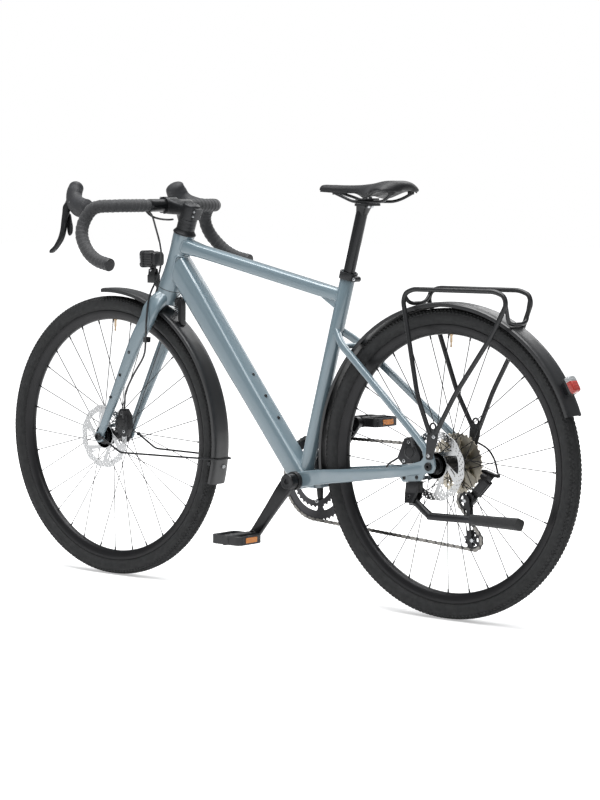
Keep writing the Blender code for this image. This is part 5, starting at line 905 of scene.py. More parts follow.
COIL_IN = spots(
    (.3905, .0060, .4354), (.3938, .0062, .4328), (.3965, .0085, .4295), (.3990, .0130, .4250))
COIL_LINE = spots(
    (.3985, .0170, .4180), (.3995, .0170, .4000), (.4010, .0170, .3820), (.4100, .0190, .3690))
COIL_OUT = spots(
    (.4040, .0200, .3640), (.4000, .0175, .3625), (.3985, .0140, .3620), (.3985, .0103, .3620))


def coil_points():
    """The coiled light cable: straight leads at both ends of one unbroken helix."""
    sizes = bpy.context.scene.gravel_bike
    curls, steps = sizes.coil_curls, 20
    line = curve_through(COIL_LINE, curls * steps // 3)
    count, points = len(line) - 1, []
    for i, (point, across, upward) in enumerate(frames_along(line)):
        turn = math.tau * curls * i / count
        points.append(point + sizes.coil_radius * (math.cos(turn) * across + math.sin(turn) * upward))
    lead = curve_through(COIL_IN, 4)[:-1] + curve_through([COIL_IN[-1], points[0]], 3)[:-1]
    return lead + points + COIL_OUT


def build_cords():
    """The four hoses and housings, and the coiled cable."""
    for name, node, route, steps in (
            ("front_hose_jacket", "front_brake_hose", FRONT_HOSE, 4),
            ("bar_hose_jacket", "bar_hose", BAR_HOSE, 4),
            ("gear_housing_jacket", "gear_housing", GEAR_HOUSING, 4),
            ("rear_hose_jacket", "rear_brake_hose", REAR_HOSE, 5)):
        lay_cord(name, node, curve_through(route, steps), HOSE_RADIUS)
    lay_cord("coiled_cable_jacket", "coiled_cable", coil_points(), CABLE_RADIUS)


# Wheels

TREAD_STEPS = 212
TREAD_RADIUS = 0.3521


def tyre_casing(centre):
    """The casing from bead to bead, round in section, with the low band that carries the tread."""
    half = [(0.3118, 0.0112), (RIM, 0.0117), (0.3205, 0.0160), (0.3265, 0.0208), (0.3340, 0.0223),
            (0.3420, 0.0205), (0.3480, 0.0160), (TREAD_RADIUS - 0.0006, 0.0085), (TREAD_RADIUS, 0.0)]
    skin = curve_through([xyz(r, y, 0) for r, y in half + [(r, -y) for r, y in reversed(half[:-1])]], 4)
    inside = [(0.3118, -0.0060), (0.3118, 0.0060)]
    return turned([(p.x, p.y) for p in skin] + inside, centre, LEFT, 180, ring=True)


def knob(reach, y, long, wide, tall, lean):
    """One tread block, turned to the casing's curve: its foot is sunk and its top edges are drawn in."""
    rings = []
    out, across = xyz(math.cos(lean), math.sin(lean), 0), xyz(-math.sin(lean), math.cos(lean), 0)
    foot = xyz(reach, y, 0)
    for rise, share in ((-0.0012, 1.12), (tall * 0.7, 1.0), (tall, 0.82)):
        rings.append([foot + rise * out + share * wide * u * across + share * long * v * UP
                      for u, v in ((1, 1), (-1, 1), (-1, -1), (1, -1))])
    return loft(rings)


def tread_rows():
    """One step of the tread: fine staggered blocks in the middle and two rows of lugs on each shoulder."""
    pitch = 0.352 * math.tau / TREAD_STEPS
    rows = []
    for half in (0.0, 0.5):
        for column in range(-4, 5):
            turn = 0.085 * column
            reach, y = 0.3240 + 0.0280 * math.cos(turn * 1.25), 0.0029 * column
            block = knob(reach - 0.0001, y, 0.0018, 0.0011, 0.0013, turn)
            shift = (half + 0.25 * (column % 2)) * pitch * UP
            rows.append(([p + shift for p in block[0]], block[1]))
    for side in (1, -1):
        for reach, y, long, wide, lean, lead in (
                (.3478, .0147, .0033, .0022, .58, 0.0), (.3436, .0186, .0030, .0021, .86, 0.5)):
            block = knob(reach, side * y, long, wide, 0.0026, side * lean)
            rows.append(([p + lead * pitch * UP for p in block[0]], block[1]))
    return merge(*rows)


def build_tyre(name, node, centre, look):
    piece(name, node, [(look, tyre_casing(centre))])
    repeat_round(name + "_tread", node, tread_rows(), TREAD_STEPS, centre, look, sharp=25.0)


def rim_shape(centre):
    """A hollow-section rim: bead hooks, the well between them and a rounded inner wall."""
    half = [(0.3105, 0.0085), (0.3110, 0.0110), (0.3150, 0.0121), (0.3162, 0.0124), (RIM, 0.0130),
            (0.3158, 0.0135), (0.3120, 0.0135), (0.3080, 0.0131), (0.3020, 0.0113), (0.2968, 0.0082),
            (0.2941, 0.0042)]
    section = half + [(0.2935, 0.0)] + [(r, -y) for r, y in reversed(half)]
    return turned(section, centre, LEFT, 180, ring=True)


def spoke_shape(flange_y, flange_radius, pulls, bias):
    """One spoke along X from its flange hole to the rim, its bend, and the nipple at the rim."""
    lead = pulls * 3 * math.tau / 16
    y = flange_y + pulls * 0.0012
    start = polar(flange_radius, lead, y)
    end = xyz(0.2975, bias, 0.0)
    along = (end - start).normalized()
    elbow = start - 0.0016 * along - math.copysign(0.0026, y - bias) * pulls * LEFT * 0.5
    wire = sweep([elbow, start, end - 0.010 * along], oval(0.0010, 0.0010, 8))
    nipple = [(0.0012, 0.0), (0.0019, 0.0008), (0.0019, 0.0110), (0.0024, 0.0118), (0.0024, 0.0140)]
    return wire, turned(nipple, end - 0.0125 * along, along, 8)


def build_wheel(name, node, centre, hub, flanges, flange_radius):
    """Rim, hub, valve and thirty-two crossed spokes with their nipples."""
    valve = [(.0040, .2950), (.0040, .2910), (.0028, .2900), (.0028, .2760), (.0019, .2750), (.0019, .2690),
             (.0024, .2685), (.0024, .2655), (.0016, .2645)]
    piece(name, node, [
        ("rim", rim_shape(centre)), ("hub", turned(hub, centre, LEFT, 56, ring=True)),
        ("brass", turned(valve, centre, polar(1.0, math.radians(91)), 14))])
    for k in range(4):
        side, pulls = k % 2, 1 if k // 2 else -1
        wire, nipple = spoke_shape(flanges[side], flange_radius, pulls, 0.0020 if side == 0 else -0.0020)
        for part, shape in (("spokes", wire), ("nipples", nipple)):
            repeat_round(f"{name}_{part}_{k + 1}", node, shape, 8, centre, "spoke", start=math.tau * k / 32)


def build_wheels():
    """Both laced wheels with their hub shells, and both tyres."""
    bore = 0.0064
    front_hub = [
        (bore, .0497), (.0094, .0497), (.0100, .0490), (.010, .0425), (.0165, .0420), (.0170, .0415),
        (.017, .0295), (.0178, .0286), (.0240, .0266), (.0245, .0260), (.0245, .0230), (.0238, .0224),
        (.0160, .0205), (.0130, .0160), (.0125, .0120), (.0125, -.0200), (.0135, -.0265), (.0180, -.0305),
        (.0220, -.0320), (.0225, -.0326), (.0225, -.0354), (.0215, -.0361), (.0120, -.0396), (.0100, -.0410),
        (.0100, -.0490), (.0094, -.0497), (bore, -.0497)]
    rear_hub = [
        (bore, .0709), (.0104, .0709), (.0110, .0702), (.011, .0535), (.0165, .0530), (.0170, .0525),
        (.017, .0405), (.0178, .0396), (.0250, .0372), (.0255, .0366), (.0255, .0334), (.0245, .0327),
        (.0180, .0300), (.0155, .0250), (.0150, .0200), (.0150, -.0080), (.0160, -.0130), (.0200, -.0172),
        (.0240, -.0188), (.0245, -.0194), (.0245, -.0226), (.0235, -.0234), (.0160, -.0280), (.0150, -.0290),
        (bore, -.0290)]
    build_wheel("front_wheel_laced", "front_wheel", FRONT_AXLE, front_hub, (.0245, -.0340), .0205)
    build_wheel("rear_wheel_laced", "rear_wheel", REAR_AXLE, rear_hub, (.0350, -.0210), .0215)
    build_tyre("front_tyre_casing", "front_tyre", FRONT_AXLE, "front_tyre")
    build_tyre("rear_tyre_casing", "rear_tyre", REAR_AXLE, "rear_tyre")


# Disc brakes


def rotor_shapes(centre, y):
    """A wavy brake track with drilled holes and six slanted arms, and the splined carrier in its middle."""
    waves, arms = 12, 6
    turns = [math.tau * i / (12 * waves) for i in range(12 * waves)]
    rim = flat_polar((0.0789 + 0.0011 * math.cos(waves * turn + math.pi), turn) for turn in turns)
    cuts = []
    lean, gap = math.radians(28.0), math.tau / arms
    along_slot = (0.040, 0.046, 0.052, 0.058)
    for k in range(arms):
        start = gap * k
        outer = [(0.0635, start + lean + gap * (0.12 + 0.66 * i / 9)) for i in range(10)]
        inner = [(0.0310, start + gap * (0.76 - 0.60 * i / 5)) for i in range(6)]
        slot = [(r, start + lean * (r - 0.031) / 0.0325 - 0.05 * gap + side * 0.0019 / r)
                for side, row in ((1, along_slot), (-1, along_slot[::-1])) for r in row]
        cuts += [flat_polar(outer + inner), flat_polar(slot)]
    for k in range(36):
        for radius, lead in ((0.0757, 0.0), (0.0714, 0.34), (0.0671, 0.68)):
            turn = math.tau * (k + lead) / 36
            cuts.append(ringlet(0.0017, 10, (radius * math.cos(turn), radius * math.sin(turn))))
    cuts.append(ringlet(0.0205, 40))
    disc = plate([rim, *cuts], 0.0018, side_plane(y, centre.x, centre.z), 0.0001)
    low, high = y - 0.0009, y + 0.0009
    section = [(0.0180, low), (0.0180, high), (0.0290, high), (0.0290, low)]
    return disc, turned(section, centre, LEFT, 60, ring=True)


def build_rotors():
    for name, node, centre, y, look in (
            ("front_disc", "front_rotor", FRONT_AXLE, 0.0380, "front_rotor"),
            ("rear_disc", "rear_rotor", REAR_AXLE, 0.0490, "rear_rotor")):
        disc, carrier = rotor_shapes(centre, y)
        piece(name, node, [(look, disc), ("hub", carrier)], 30.0)


# Frame


def rounded_tube(points, sizes, steps=5):
    """A tube of rounded box section, eased from each (half width, half height, corner) to the next."""
    sections = between([rounded(*size) for size in sizes], steps)
    path = []
    for first, last in zip(points, points[1:]):
        path += [first.lerp(last, i / steps) for i in range(steps)]
    return sweep([*path, points[-1]], sections)


def smooth_tube(stations, side):
    """A stay drawn through (x, y, z, half width, half height) stations with softly turned corners."""
    route, sizes = curve_stations([(xyz(x, side * y, z), w, h) for x, y, z, w, h in stations], 5)
    return sweep(route, [rounded(w, h, 0.75 * min(w, h)) for w, h in sizes])


DROPOUT_Y = 0.0742
CHAINSTAY = (
    (-.014, .0270, .0035, .0065, .0190), (-.052, .0325, .0105, .0045, .0180),
    (-.082, .0332, .0150, .0050, .0172), (-.112, .0372, .0188, .0065, .0165),
    (-.170, .0430, .0255, .0085, .0155), (-.280, .0590, .0395, .0085, .0125),
    (-.350, DROPOUT_Y, .0490, .0065, .0110), (-.411809, DROPOUT_Y, .0600, .0030, .0110))
SEATSTAY = (
    (-.1050, .0080, .3590, .0075, .0085), (-.1440, .0330, .3270, .0070, .0090),
    (-.1900, .0400, .2900, .0070, .0085), (-.3900, .0640, .1275, .0070, .0085),
    (-.421809, DROPOUT_Y, .0930, .0030, .0085))


def dropout(corners, side):
    """A dropout plate from its corners round the axle, with the axle's hole."""
    outline = soft_outline([(REAR_AXLE.x + x, REAR_AXLE.z + z) for x, z in corners], 0.006)
    hole = ringlet(0.0062, 24, (REAR_AXLE.x, REAR_AXLE.z))
    return plate([outline, hole], 0.006, side_plane(side * DROPOUT_Y), 0.0008)


def frame_shapes():
    """Every tube of the frame, with its head tube bored and its two dropout plates."""
    head_middle = steer(CROWN + HEAD_LENGTH / 2)
    down, reach = head_middle.normalized(), head_middle.length
    shapes = [rounded_tube(
        [down * 0.006, down * 0.25, down * (reach - 0.10), down * (reach - 0.012)],
        [(.0260, .0255, .013), (.0260, .0255, .013), (.0235, .0310, .013), (.0225, .0310, .013)], 8)]
    front, rear = steer(CROWN + HEAD_LENGTH - 0.028, -0.008), seat(0.454)
    back = (rear - front).normalized()
    shapes.append(rounded_tube(
        [front, front + back * 0.060, rear - back * 0.070, rear],
        [(.0200, .0195, .010), (.0180, .0155, .009), (.0180, .0155, .009), (.0140, .0155, .009)], 8))
    knee = rear - back * 0.078 - UP * 0.010
    upper, lower = seat(0.420), seat(0.415)
    web = [(knee.x, knee.z), (upper.x + 0.010, upper.z), (lower.x, lower.z), (rear.x, rear.z)]
    shapes.append(plate([web], 0.0230, side_plane(0.0), 0.005))
    shapes.append(turned([(0.01745, 0.004), (0.01745, 0.3), (0.01745, 0.511), (0.0168, 0.512),
                          (0.0139, 0.512), (0.0139, 0.004)], ORIGIN, SEAT_UP, 40, ring=True))
    high = CROWN + HEAD_LENGTH
    profile = [(.0285, CROWN), (.0287, CROWN + .006), (.0285, CROWN + .018), (.0266, CROWN + .036),
               (.0251, CROWN + .060), (.0251, CROWN + .090), (.0258, CROWN + .118), (.0265, high - .010),
               (.0265, high)]
    shapes.append(turned([*profile, (.0205, high), (.0205, CROWN)], STEER_FOOT, STEER_UP, 64, ring=True))
    shell = [(.0122, -.034), (.0206, -.034), (.0210, -.0334), (.0210, .0334), (.0206, .034), (.0122, .034)]
    shapes.append(turned(shell, ORIGIN, LEFT, 56, ring=True))
    yoke = spots((-.0558, 0, .0015), (-.035, 0, .0015), (-.010, 0, .0015))
    shapes.append(sweep(yoke, rounded(.033, .0165, .007)))
    shapes.append(sweep(spots((-.0658, 0, .01225), (-.0538, 0, .01225)), rounded(.007, .00525, .002, 3)))
    for side in (1, -1):
        shapes += [smooth_tube(CHAINSTAY, side), smooth_tube(SEATSTAY, side)]
    shapes.append(cross_rod(-.149, .324, .034, 0.0065, 20))
    left = ((.092, -.009), (.0745, -.040), (.0215, -.0345), (.010, -.015), (-.0095, -.0155), (-.018, -.002),
            (-.017, .011), (-.010, .033), (.008, .035), (.020, .012), (.050, .003))
    right = ((.060, -.015), (.013, -.017), (.001, -.020), (-.006, -.033), (-.018, -.033), (-.019, -.018),
             (-.018, .006), (-.010, .033), (.008, .035), (.020, .012), (.060, -.002))
    return [*shapes, dropout(left, 1), dropout(right, -1)]


def weld(tube_shape, outside, inside, target, count=20):
    """A bead of weld where a tube meets another: its own section, cast along it on to the other's surface."""
    step = 1 if inside > outside else -1
    rings = [tube_shape[0][k * count:(k + 1) * count] for k in range(outside, inside + step, step)]
    tree = BVHTree.FromPolygons([tuple(p) for p in target[0]], target[1])
    seam = []
    for i in range(count):
        for share in (0, 1 / 3, 2 / 3):
            line = [ring[i].lerp(ring[(i + 1) % count], share) for ring in rings]
            reaches = [(q - p).length for p, q in zip(line[:-1], line[1:-1])] + [0.15]
            found = [tree.ray_cast(p, q - p, reach)[0] for p, q, reach in zip(line, line[1:], reaches)]
            found = [hit for hit in found if hit is not None]
            if not found:
                raise RuntimeError("A weld found no surface")
            seam.append(found[0])
    middle = sum(seam, Vector()) / len(seam)
    seam = [hit + 0.0014 * (middle - hit).normalized() for hit in seam]
    return sweep(even(seam + seam[:1], 0.0020)[:-1], oval(0.0033, 0.0033, 8), closed=True)


def frame_welds(shapes):
    """The beads round both ends of the top tube and the down tube's head end."""
    down_tube, top_tube, seat_tube, head_tube = shapes[0], shapes[1], shapes[3], shapes[4]
    return [weld(down_tube, 16, 24, head_tube), weld(top_tube, 8, 0, head_tube),
            weld(top_tube, 21, 24, seat_tube)]


def frame_details():
    """Bottle bosses, the cups of the bottom bracket and the front derailleur's mount."""
    down = steer(CROWN + HEAD_LENGTH / 2).normalized()
    above = LEFT.cross(down) * -1
    boss = (0.0042, 0.0028)
    dark = []
    for place in spots((.1625, 0, .2420), (.1226, 0, .1926), (.0821, 0, .1421)):
        dark.append(bolt(down * place.dot(down) + above * 0.0254, above, *boss))
    for along in (0.233, 0.172):
        dark.append(bolt(seat(along, 0.0172), SEAT_FORWARD, *boss))
    cup = [(.0125, .0340), (.0225, .0342), (.0225, .0425), (.0218, .0440), (.0125, .0440)]
    for side in (1, -1):
        dark.append(turned(cup, ORIGIN, side * LEFT, 56, ring=True))
    dark.append(sweep(spots((-.0513, -.0245, .150), (-.0413, -.0245, .150)), rounded(.0165, .0065, .002, 3)))
    return [*dark, rod(*spots((-.0513, -.0440, .150), (-.0413, -.0440, .150)), 0.006, 20)]


def build_frame():
    shapes = frame_shapes()
    piece("frame_tubes", "frame", [("paint", merge(*shapes, *frame_welds(shapes)))])
    piece("frame_fittings", "frame", [("black_alloy", merge(*frame_details()))], replaces=())


# Fork and steering


FORK_BLADE = (
    (steer(CROWN - .0163, 0.0), .002, .0200, .0170), (steer(CROWN - .0303, .001), .026, .0165, .0200),
    (steer(CROWN - .0523, .001), .0465, .0115, .0215), (steer(CROWN - .0853, .001), .0530, .0095, .0200),
    (xyz(.5055, 0, .3040), .0545, .0095, .0175), (xyz(.5835, 0, .1570), .0545, .0080, .0122),
    (xyz(.6180, 0, .0920), .0545, .0055, .0105))


def fork_shapes():
    """The column and crown, the two blades, and the ends that take the axle."""
    top = CROWN - 0.0003
    column = [(.0272, top - .036), (.0285, top - .034), (.0285, top - .0008), (.0278, top), (.0190, top),
              (.0190, top + .030), (.0143, top + .050), (.0143, .6420)]
    shapes = [turned(column, STEER_FOOT, STEER_UP, 56)]
    for side in (1, -1):
        route, sizes = curve_stations([(xyz(p.x, side * y, p.z), w, h) for p, y, w, h in FORK_BLADE], 6)
        shapes.append(sweep(route, [rounded(w, h, 0.8 * w) for w, h in sizes]))
        axle, above = FRONT_AXLE + side * 0.0540 * LEFT, xyz(.6120, side * .0545, .1040)
        ends = [rounded(*size) for size in ((.0042, .0105, .003), (.0040, .0108, .003), (.0035, .0110, .003))]
        shapes.append(sweep([above, axle.lerp(above, 0.4), axle], ends))
        shapes.append(turned([(.0064, .050), (.0138, .050), (.0145, .0506), (.0145, .0568), (.0132, .0580),
                              (.0064, .0585)], FRONT_AXLE, side * LEFT, 44, ring=True))
    return shapes


def build_fork():
    """The painted fork with its bosses and hose guide, the headset's covers and the front axle."""
    piece("fork_blades", "fork", [("paint", merge(*fork_shapes()))])
    dark = []
    for place in spots((.520, 0, .285), (.552, 0, .227), (.586, 0, .17)):
        for side in (1, -1):
            dark.append(bolt(xyz(place.x - .003, side * .0635, place.z), side * LEFT, 0.0040, 0.0020))
    seal = [(.0275, CROWN - .0009), (.0287, CROWN - .0007), (.0287, CROWN + .0006), (.0275, CROWN + .0008)]
    dark.append(turned(seal, STEER_FOOT, STEER_UP, 64, ring=True))
    guide = FRONT_HOSE[7]
    dark.append(sweep([guide + xyz(.0030, -.0080, .0060), guide + xyz(.0045, -.0080, -.0060)],
                      rounded(.0100, .0048, .0030)))
    piece("fork_bosses", "fork", [("black_alloy", merge(*dark))], replaces=())
    low, high = CROWN + HEAD_LENGTH + 0.0003, 0.6037
    cover = [(.0144, low), (.0280, low), (.0285, low + .0006), (.0285, low + .0030), (.0278, low + .0040),
             (.0240, low + .0085), (.0229, low + .0115)]
    step, at = (high - low - 0.0125) / 3, low + 0.0125
    for k in range(3):
        cover += [(.0224, at + k * step), (.0228, at + k * step + .0004),
                  (.0228, at + (k + 1) * step - .0004)]
    piece("headset_stack", "headset_cover", [
        ("black_alloy", turned([*cover, (.0222, high), (.0144, high)], STEER_FOOT, STEER_UP, 56, ring=True))])
    axle = [(.0058, -.0500), (.0060, .0560), (.0060, .0590), (.0100, .0592), (.0100, .0628), (.0092, .0640),
            (.0050, .0640), (.0046, .0615)]
    piece("front_thru_axle", "front_axle", [("black_alloy", turned(axle, FRONT_AXLE, LEFT, 32))])


BAR_X = 0.4380
BAR_Z = 0.6480


def part_shell(bar, ahead, upward, radius, hollow, degrees, levels):
    """A part-round shell on the bar, drawn in at its ends: (y, inset) levels across it."""
    turns = [math.radians(a) for a in degrees]
    rings = []
    for y, inset in levels:
        ring = []
        for reach, order in ((radius - inset, turns), (hollow, reversed(turns))):
            ring += [bar + y * LEFT + reach * (math.cos(a) * ahead + math.sin(a) * upward) for a in order]
        rings.append(ring)
    return loft(rings)


def build_stem():
    """The forged stem with its pinch bolts at the back, and the face plate with four screws."""
    middle, bar = steer(0.6240), xyz(BAR_X, 0, BAR_Z)
    ahead = (bar - middle).normalized()
    upward = ahead.cross(LEFT) * -1
    shell = turned([(.0218, .6040), (.0225, .6046), (.0225, .6345), (.0221, .6378), (.0209, .6404),
                    (.0186, .6422), (.0140, .6432), (.0100, .6434)],
                   STEER_FOOT, STEER_UP, 48)
    arm = rounded_tube([middle + ahead * .004, middle + ahead * .034, bar - ahead * .012],
                       [(.0200, .0150, .009), (.0192, .0158, .009), (.0200, .0195, .009)], 8)
    back = part_shell(bar, ahead, upward, .0210, .0163, range(100, 261, 10),
                      ((-.0200, .0006), (-.0192, 0.0), (.0192, 0.0), (.0200, .0006)))
    pinch = sweep([steer(.610, -.0240), steer(.638, -.0240)], rounded(.0120, .0050, .003))
    screws = [bolt(steer(along, -.0240, side * .0122), side * LEFT, .0030, .0016)
              for side in (-1, 1) for along in (.618, .630)]
    cap = bolt(steer(.6428), STEER_UP, .0070, .0014)
    piece("stem_forging", "stem", [("black_alloy", merge(shell, arm, back, pinch, cap)),
                                   ("steel", merge(*screws))])
    front = part_shell(bar, ahead, upward, .0215, .0162, range(-72, 73, 8),
                       ((-.0200, .0008), (-.0190, 0.0), (.0190, 0.0), (.0200, .0008)))
    heads = [bolt(bar + side * .0130 * LEFT + .0170 * ahead + lift * .0150 * upward, ahead, .0034, .0030)
             for side in (1, -1) for lift in (1, -1)]
    piece("stem_face", "stem_faceplate", [("black_alloy", front), ("steel", merge(*heads))])


def bar_line(steps=8):
    """The left half of the bar, from beside the stem to the end of its drop."""
    x, z = BAR_X, BAR_Z
    return curve_through(spots(
        (x, .062, z), (x, .130, z), (x + .011, .179, z - .0005), (x + .054, .204, z - .0055),
        (x + .0775, .215, z - .036), (x + .0735, .2285, z - .072), (x + .043, .240, z - .108),
        (x + .004, .2465, z - .130), (x - .040, .250, z - .140)), steps)


def build_bar():
    """The bar's thick middle and its two drops."""
    line = bar_line()
    middle = turned([(.0121, -.090), (.0121, -.082), (.0157, -.071), (.0159, -.066), (.0159, .066),
                     (.0157, .071), (.0121, .082), (.0121, .090)], xyz(BAR_X, 0, BAR_Z), LEFT, 40)
    drops = [sweep(path, oval(.0121, .0121, 28)) for path in (line, mirrored(line))]
    piece("bar_tube", "handlebar", [("polished_black", merge(middle, *drops))])


def even(points, gap):
    """The path again, with points at equal distances."""
    marks, total = [0.0], 0.0
    for a, b in zip(points, points[1:]):
        total += (b - a).length
        marks.append(total)
    count, result, at = max(2, round(total / gap)), [], 0
    for i in range(count + 1):
        want = total * i / count
        while at < len(points) - 2 and marks[at + 1] < want:
            at += 1
        span = marks[at + 1] - marks[at]
        result.append(points[at].lerp(points[at + 1], (want - marks[at]) / span if span else 0.0))
    return result


def tape_shape(side):
    """Overlapping turns of padded tape: each turn's edge stands a little over the one before it."""
    sizes = bpy.context.scene.gravel_bike
    line = [p for p in bar_line(16) if p.y >= 0.0760]
    sides, wrap, gap = 32, sizes.tape_turn, 0.0013
    line = even([xyz(BAR_X, .0760, BAR_Z), *line], gap)
    rings = []
    for i, (point, across, upward) in enumerate(frames_along(line, UP)):
        ring = []
        for k in range(sides):
            turn = math.tau * k / sides
            phase = (i * gap / wrap + k / sides) % 1.0
            step = min(1.0, phase / 0.09) * (1.0 - 0.85 * phase)
            reach = 0.0148 + 0.00147 * step
            if i * gap < 0.0130:
                reach = 0.0146 if i * gap > 0.0006 else 0.0140
            ring.append(point + reach * (math.cos(turn) * across + math.sin(turn) * upward))
        rings.append(ring)
    start = [line[0] + (p - line[0]) * 0.0124 / 0.0140 for p in rings[0]]
    widest = 0.2660
    return loft([[xyz(p.x, side * min(p.y, widest), p.z) for p in ring] for ring in [start, *rings]])


def plug_shape(side):
    """The domed plug in the end of the bar."""
    line = bar_line()
    tip = (line[-1] - line[-2]).normalized()
    end, tip = xyz(line[-1].x, side * line[-1].y, line[-1].z), xyz(tip.x, side * tip.y, tip.z)
    dome = [(.0140, -.0008), (.0157, -.0004), (.0159, .0014), (.0150, .0032), (.0100, .0040), (.0040, .0042)]
    return turned(dome, end, tip, 36)


def build_tapes():
    for side, word in SIDES:
        groups = [("tape", tape_shape(side)), ("plastic", plug_shape(side))]
        piece(f"tape_wrap_{word}", f"bar_tape_{word}", groups, 50.0)


HOOD = (
    (.5120, .2075, .6460, .0180, .0185), (.5290, .2045, .6430, .0186, .0232),
    (.5480, .2005, .6455, .0184, .0248), (.5650, .1950, .6530, .0180, .0248),
    (.5775, .1890, .6650, .0180, .0256), (.5830, .1820, .6800, .0184, .0258),
    (.5836, .1758, .6912, .0178, .0238), (.5818, .1722, .7044, .0110, .0125))


def hood_shape(side):
    """The rubber lever body: slim where it meets the bar, full in the palm, with a domed horn."""
    stations = [(xyz(x, side * y, z), w, h) for x, y, z, w, h in HOOD]
    route, sizes = curve_stations(stations[:-1], 6)
    rings = [oval(w * 1.02, h * 1.02, 36) for w, h in sizes]
    frames = frames_along(route)
    loops = [[p + w * a + h * u for w, h in ring] for (p, a, u), ring in zip(frames, rings)]
    tip, across, upward = frames[-1]
    rise = stations[-1][0] - tip
    for u in (.18, .36, .54, .70, .83, .93, .985):
        share = math.sqrt(1 - u * u)
        loops.append([tip + u * rise + share * (w * across + h * upward) for w, h in rings[-1]])
    foot, across, upward = frames[0]
    back = (route[0] - route[1]).normalized()
    loops.insert(0, [foot + .0012 * back + .94 * (w * across + h * upward) for w, h in rings[0]])
    return loft(loops)


LEVER_X, LEVER_Y, LEVER_Z = pivot("brake_lever_left_pull")
LEVER_FLARE = 0.26


def lever_plane(side, inboard=0.0):
    """The lever's own plane, which flares outward toward the ground."""
    y = side * (LEVER_Y - inboard + LEVER_FLARE * LEVER_Z)
    return Matrix(((1, 0, 0, 0), (0, -side * LEVER_FLARE, -1, y), (0, 1, 0, 0), (0, 0, 0, 1)))


def lever_outline(corners, steps):
    """A smooth flat outline through corners measured from the lever's pivot."""
    line = curve_through([xyz(LEVER_X + x, LEVER_Z + z, 0) for x, z in corners], steps, closed=True)
    return [(p.x, p.y) for p in line]


def blade_shape(side):
    """The brake blade: round at its pivot, slim down its length and curled out at its tip."""
    root = flat_polar((.0090, turn) for turn in (3.5, 2.8, 2.1, 1.4, 0.7, 0.0))
    rest = [(.014, -.009), (.0122, -.026), (.011, -.043), (.009, -.065), (.012, -.086), (.022, -.105),
            (.033, -.115), (.032, -.122), (.022, -.121), (.008, -.108), (-.004, -.088), (-.007, -.065),
            (-.0055, -.043), (-.0078, -.020)]
    return plate([lever_outline(root + rest, 5)], 0.0120, lever_plane(side), 0.0028)


def paddle_shape(side):
    """The shift paddle behind the blade."""
    outline = lever_outline([(-.006, -.028), (.002, -.028), (0, -.050), (-.006, -.070), (-.015, -.080),
                             (-.023, -.074), (-.021, -.058), (-.013, -.042)], 4)
    return plate([outline], 0.0040, lever_plane(side, 0.0083), 0.0012)


def build_controls():
    """The hoods with their pivot pins, the brake levers and the shift paddles."""
    for side, word in SIDES:
        pin = rod(xyz(.5700, side * .1735, .6575), xyz(.5700, side * .2122, .6575), .0024)
        piece(f"hood_{word}_rubber", f"hood_{word}", [("hood", hood_shape(side)), ("steel", pin)], 60.0)
        piece(f"blade_{word}", f"brake_lever_{word}", [("polished_black", blade_shape(side))], 50.0)
        piece(f"paddle_{word}", f"shift_paddle_{word}", [("polished_black", paddle_shape(side))], 50.0)


# Saddle and post

SADDLE_NOSE = -0.0533
SADDLE_LENGTH = 0.2580


def saddle_station(t):
    """Half width, height and how far the wings hang at t, which runs from the nose to the tail."""
    flare = 1.0 / (1.0 + math.exp(-(t - 0.62) / 0.075))
    width = 0.0190 + 0.0530 * flare
    tip = min(1.0, (t + 0.004) / 0.055, (1.004 - t) / 0.110)
    width *= math.sqrt(max(0.0, 1.0 - (1.0 - tip) ** 2))
    kick = max(0.0, (t - 0.70) / 0.30)
    top = 0.7010 - 0.0045 * math.sin(math.pi * min(1.0, t / 0.80)) + 0.0040 * flare
    top -= 0.0050 * (1.0 - tip) ** 2
    hang = 0.0140 + 0.0180 * math.exp(-(((t - 0.64) / 0.130) ** 2)) + 0.0085 * min(1.0, kick * 1.6)
    return width, top + 0.0018 * math.sin(math.pi * min(1.0, kick)), hang


def saddle_shapes():
    """The padded cover, and the shell under it, which ends a few millimetres inside the cover's edge."""
    count, across = 60, 32
    edge = (-.80, 0), (-.60, .6), (-.38, 1), (0, 1), (.38, 1), (.60, .6), (.80, 0)
    cover, shell = [], []
    for i in range(count + 1):
        t = 0.5 - 0.5 * math.cos(math.pi * i / count)
        width, top, hang = saddle_station(t)
        x = SADDLE_NOSE - SADDLE_LENGTH * t
        crown = []
        for k in range(across + 1):
            s = math.cos(math.pi * k / across)
            crown.append(xyz(x, s * width, top - hang * abs(s) ** 2.6 - 0.0025 * (1 - abs(s)) ** 2))
        base = top - max(hang, 0.0155) - 0.0030
        rise = 0.006 * min(1.0, width / 0.03)
        under = [xyz(x, s * width, base + lift * rise)
                 for s, lift in ((-.86, 0), (-.40, 1), (.40, 1), (.86, 0))]
        cover.append(crown + under)
        inner = [xyz(x, s * width, base + lift * rise - 0.0012) for s, lift in edge]
        if 0.030 < t < 0.975:
            shell.append([p + xyz(0, 0, 0.0032) for p in inner[::-1]] + inner)
    return loft(cover), loft(shell)


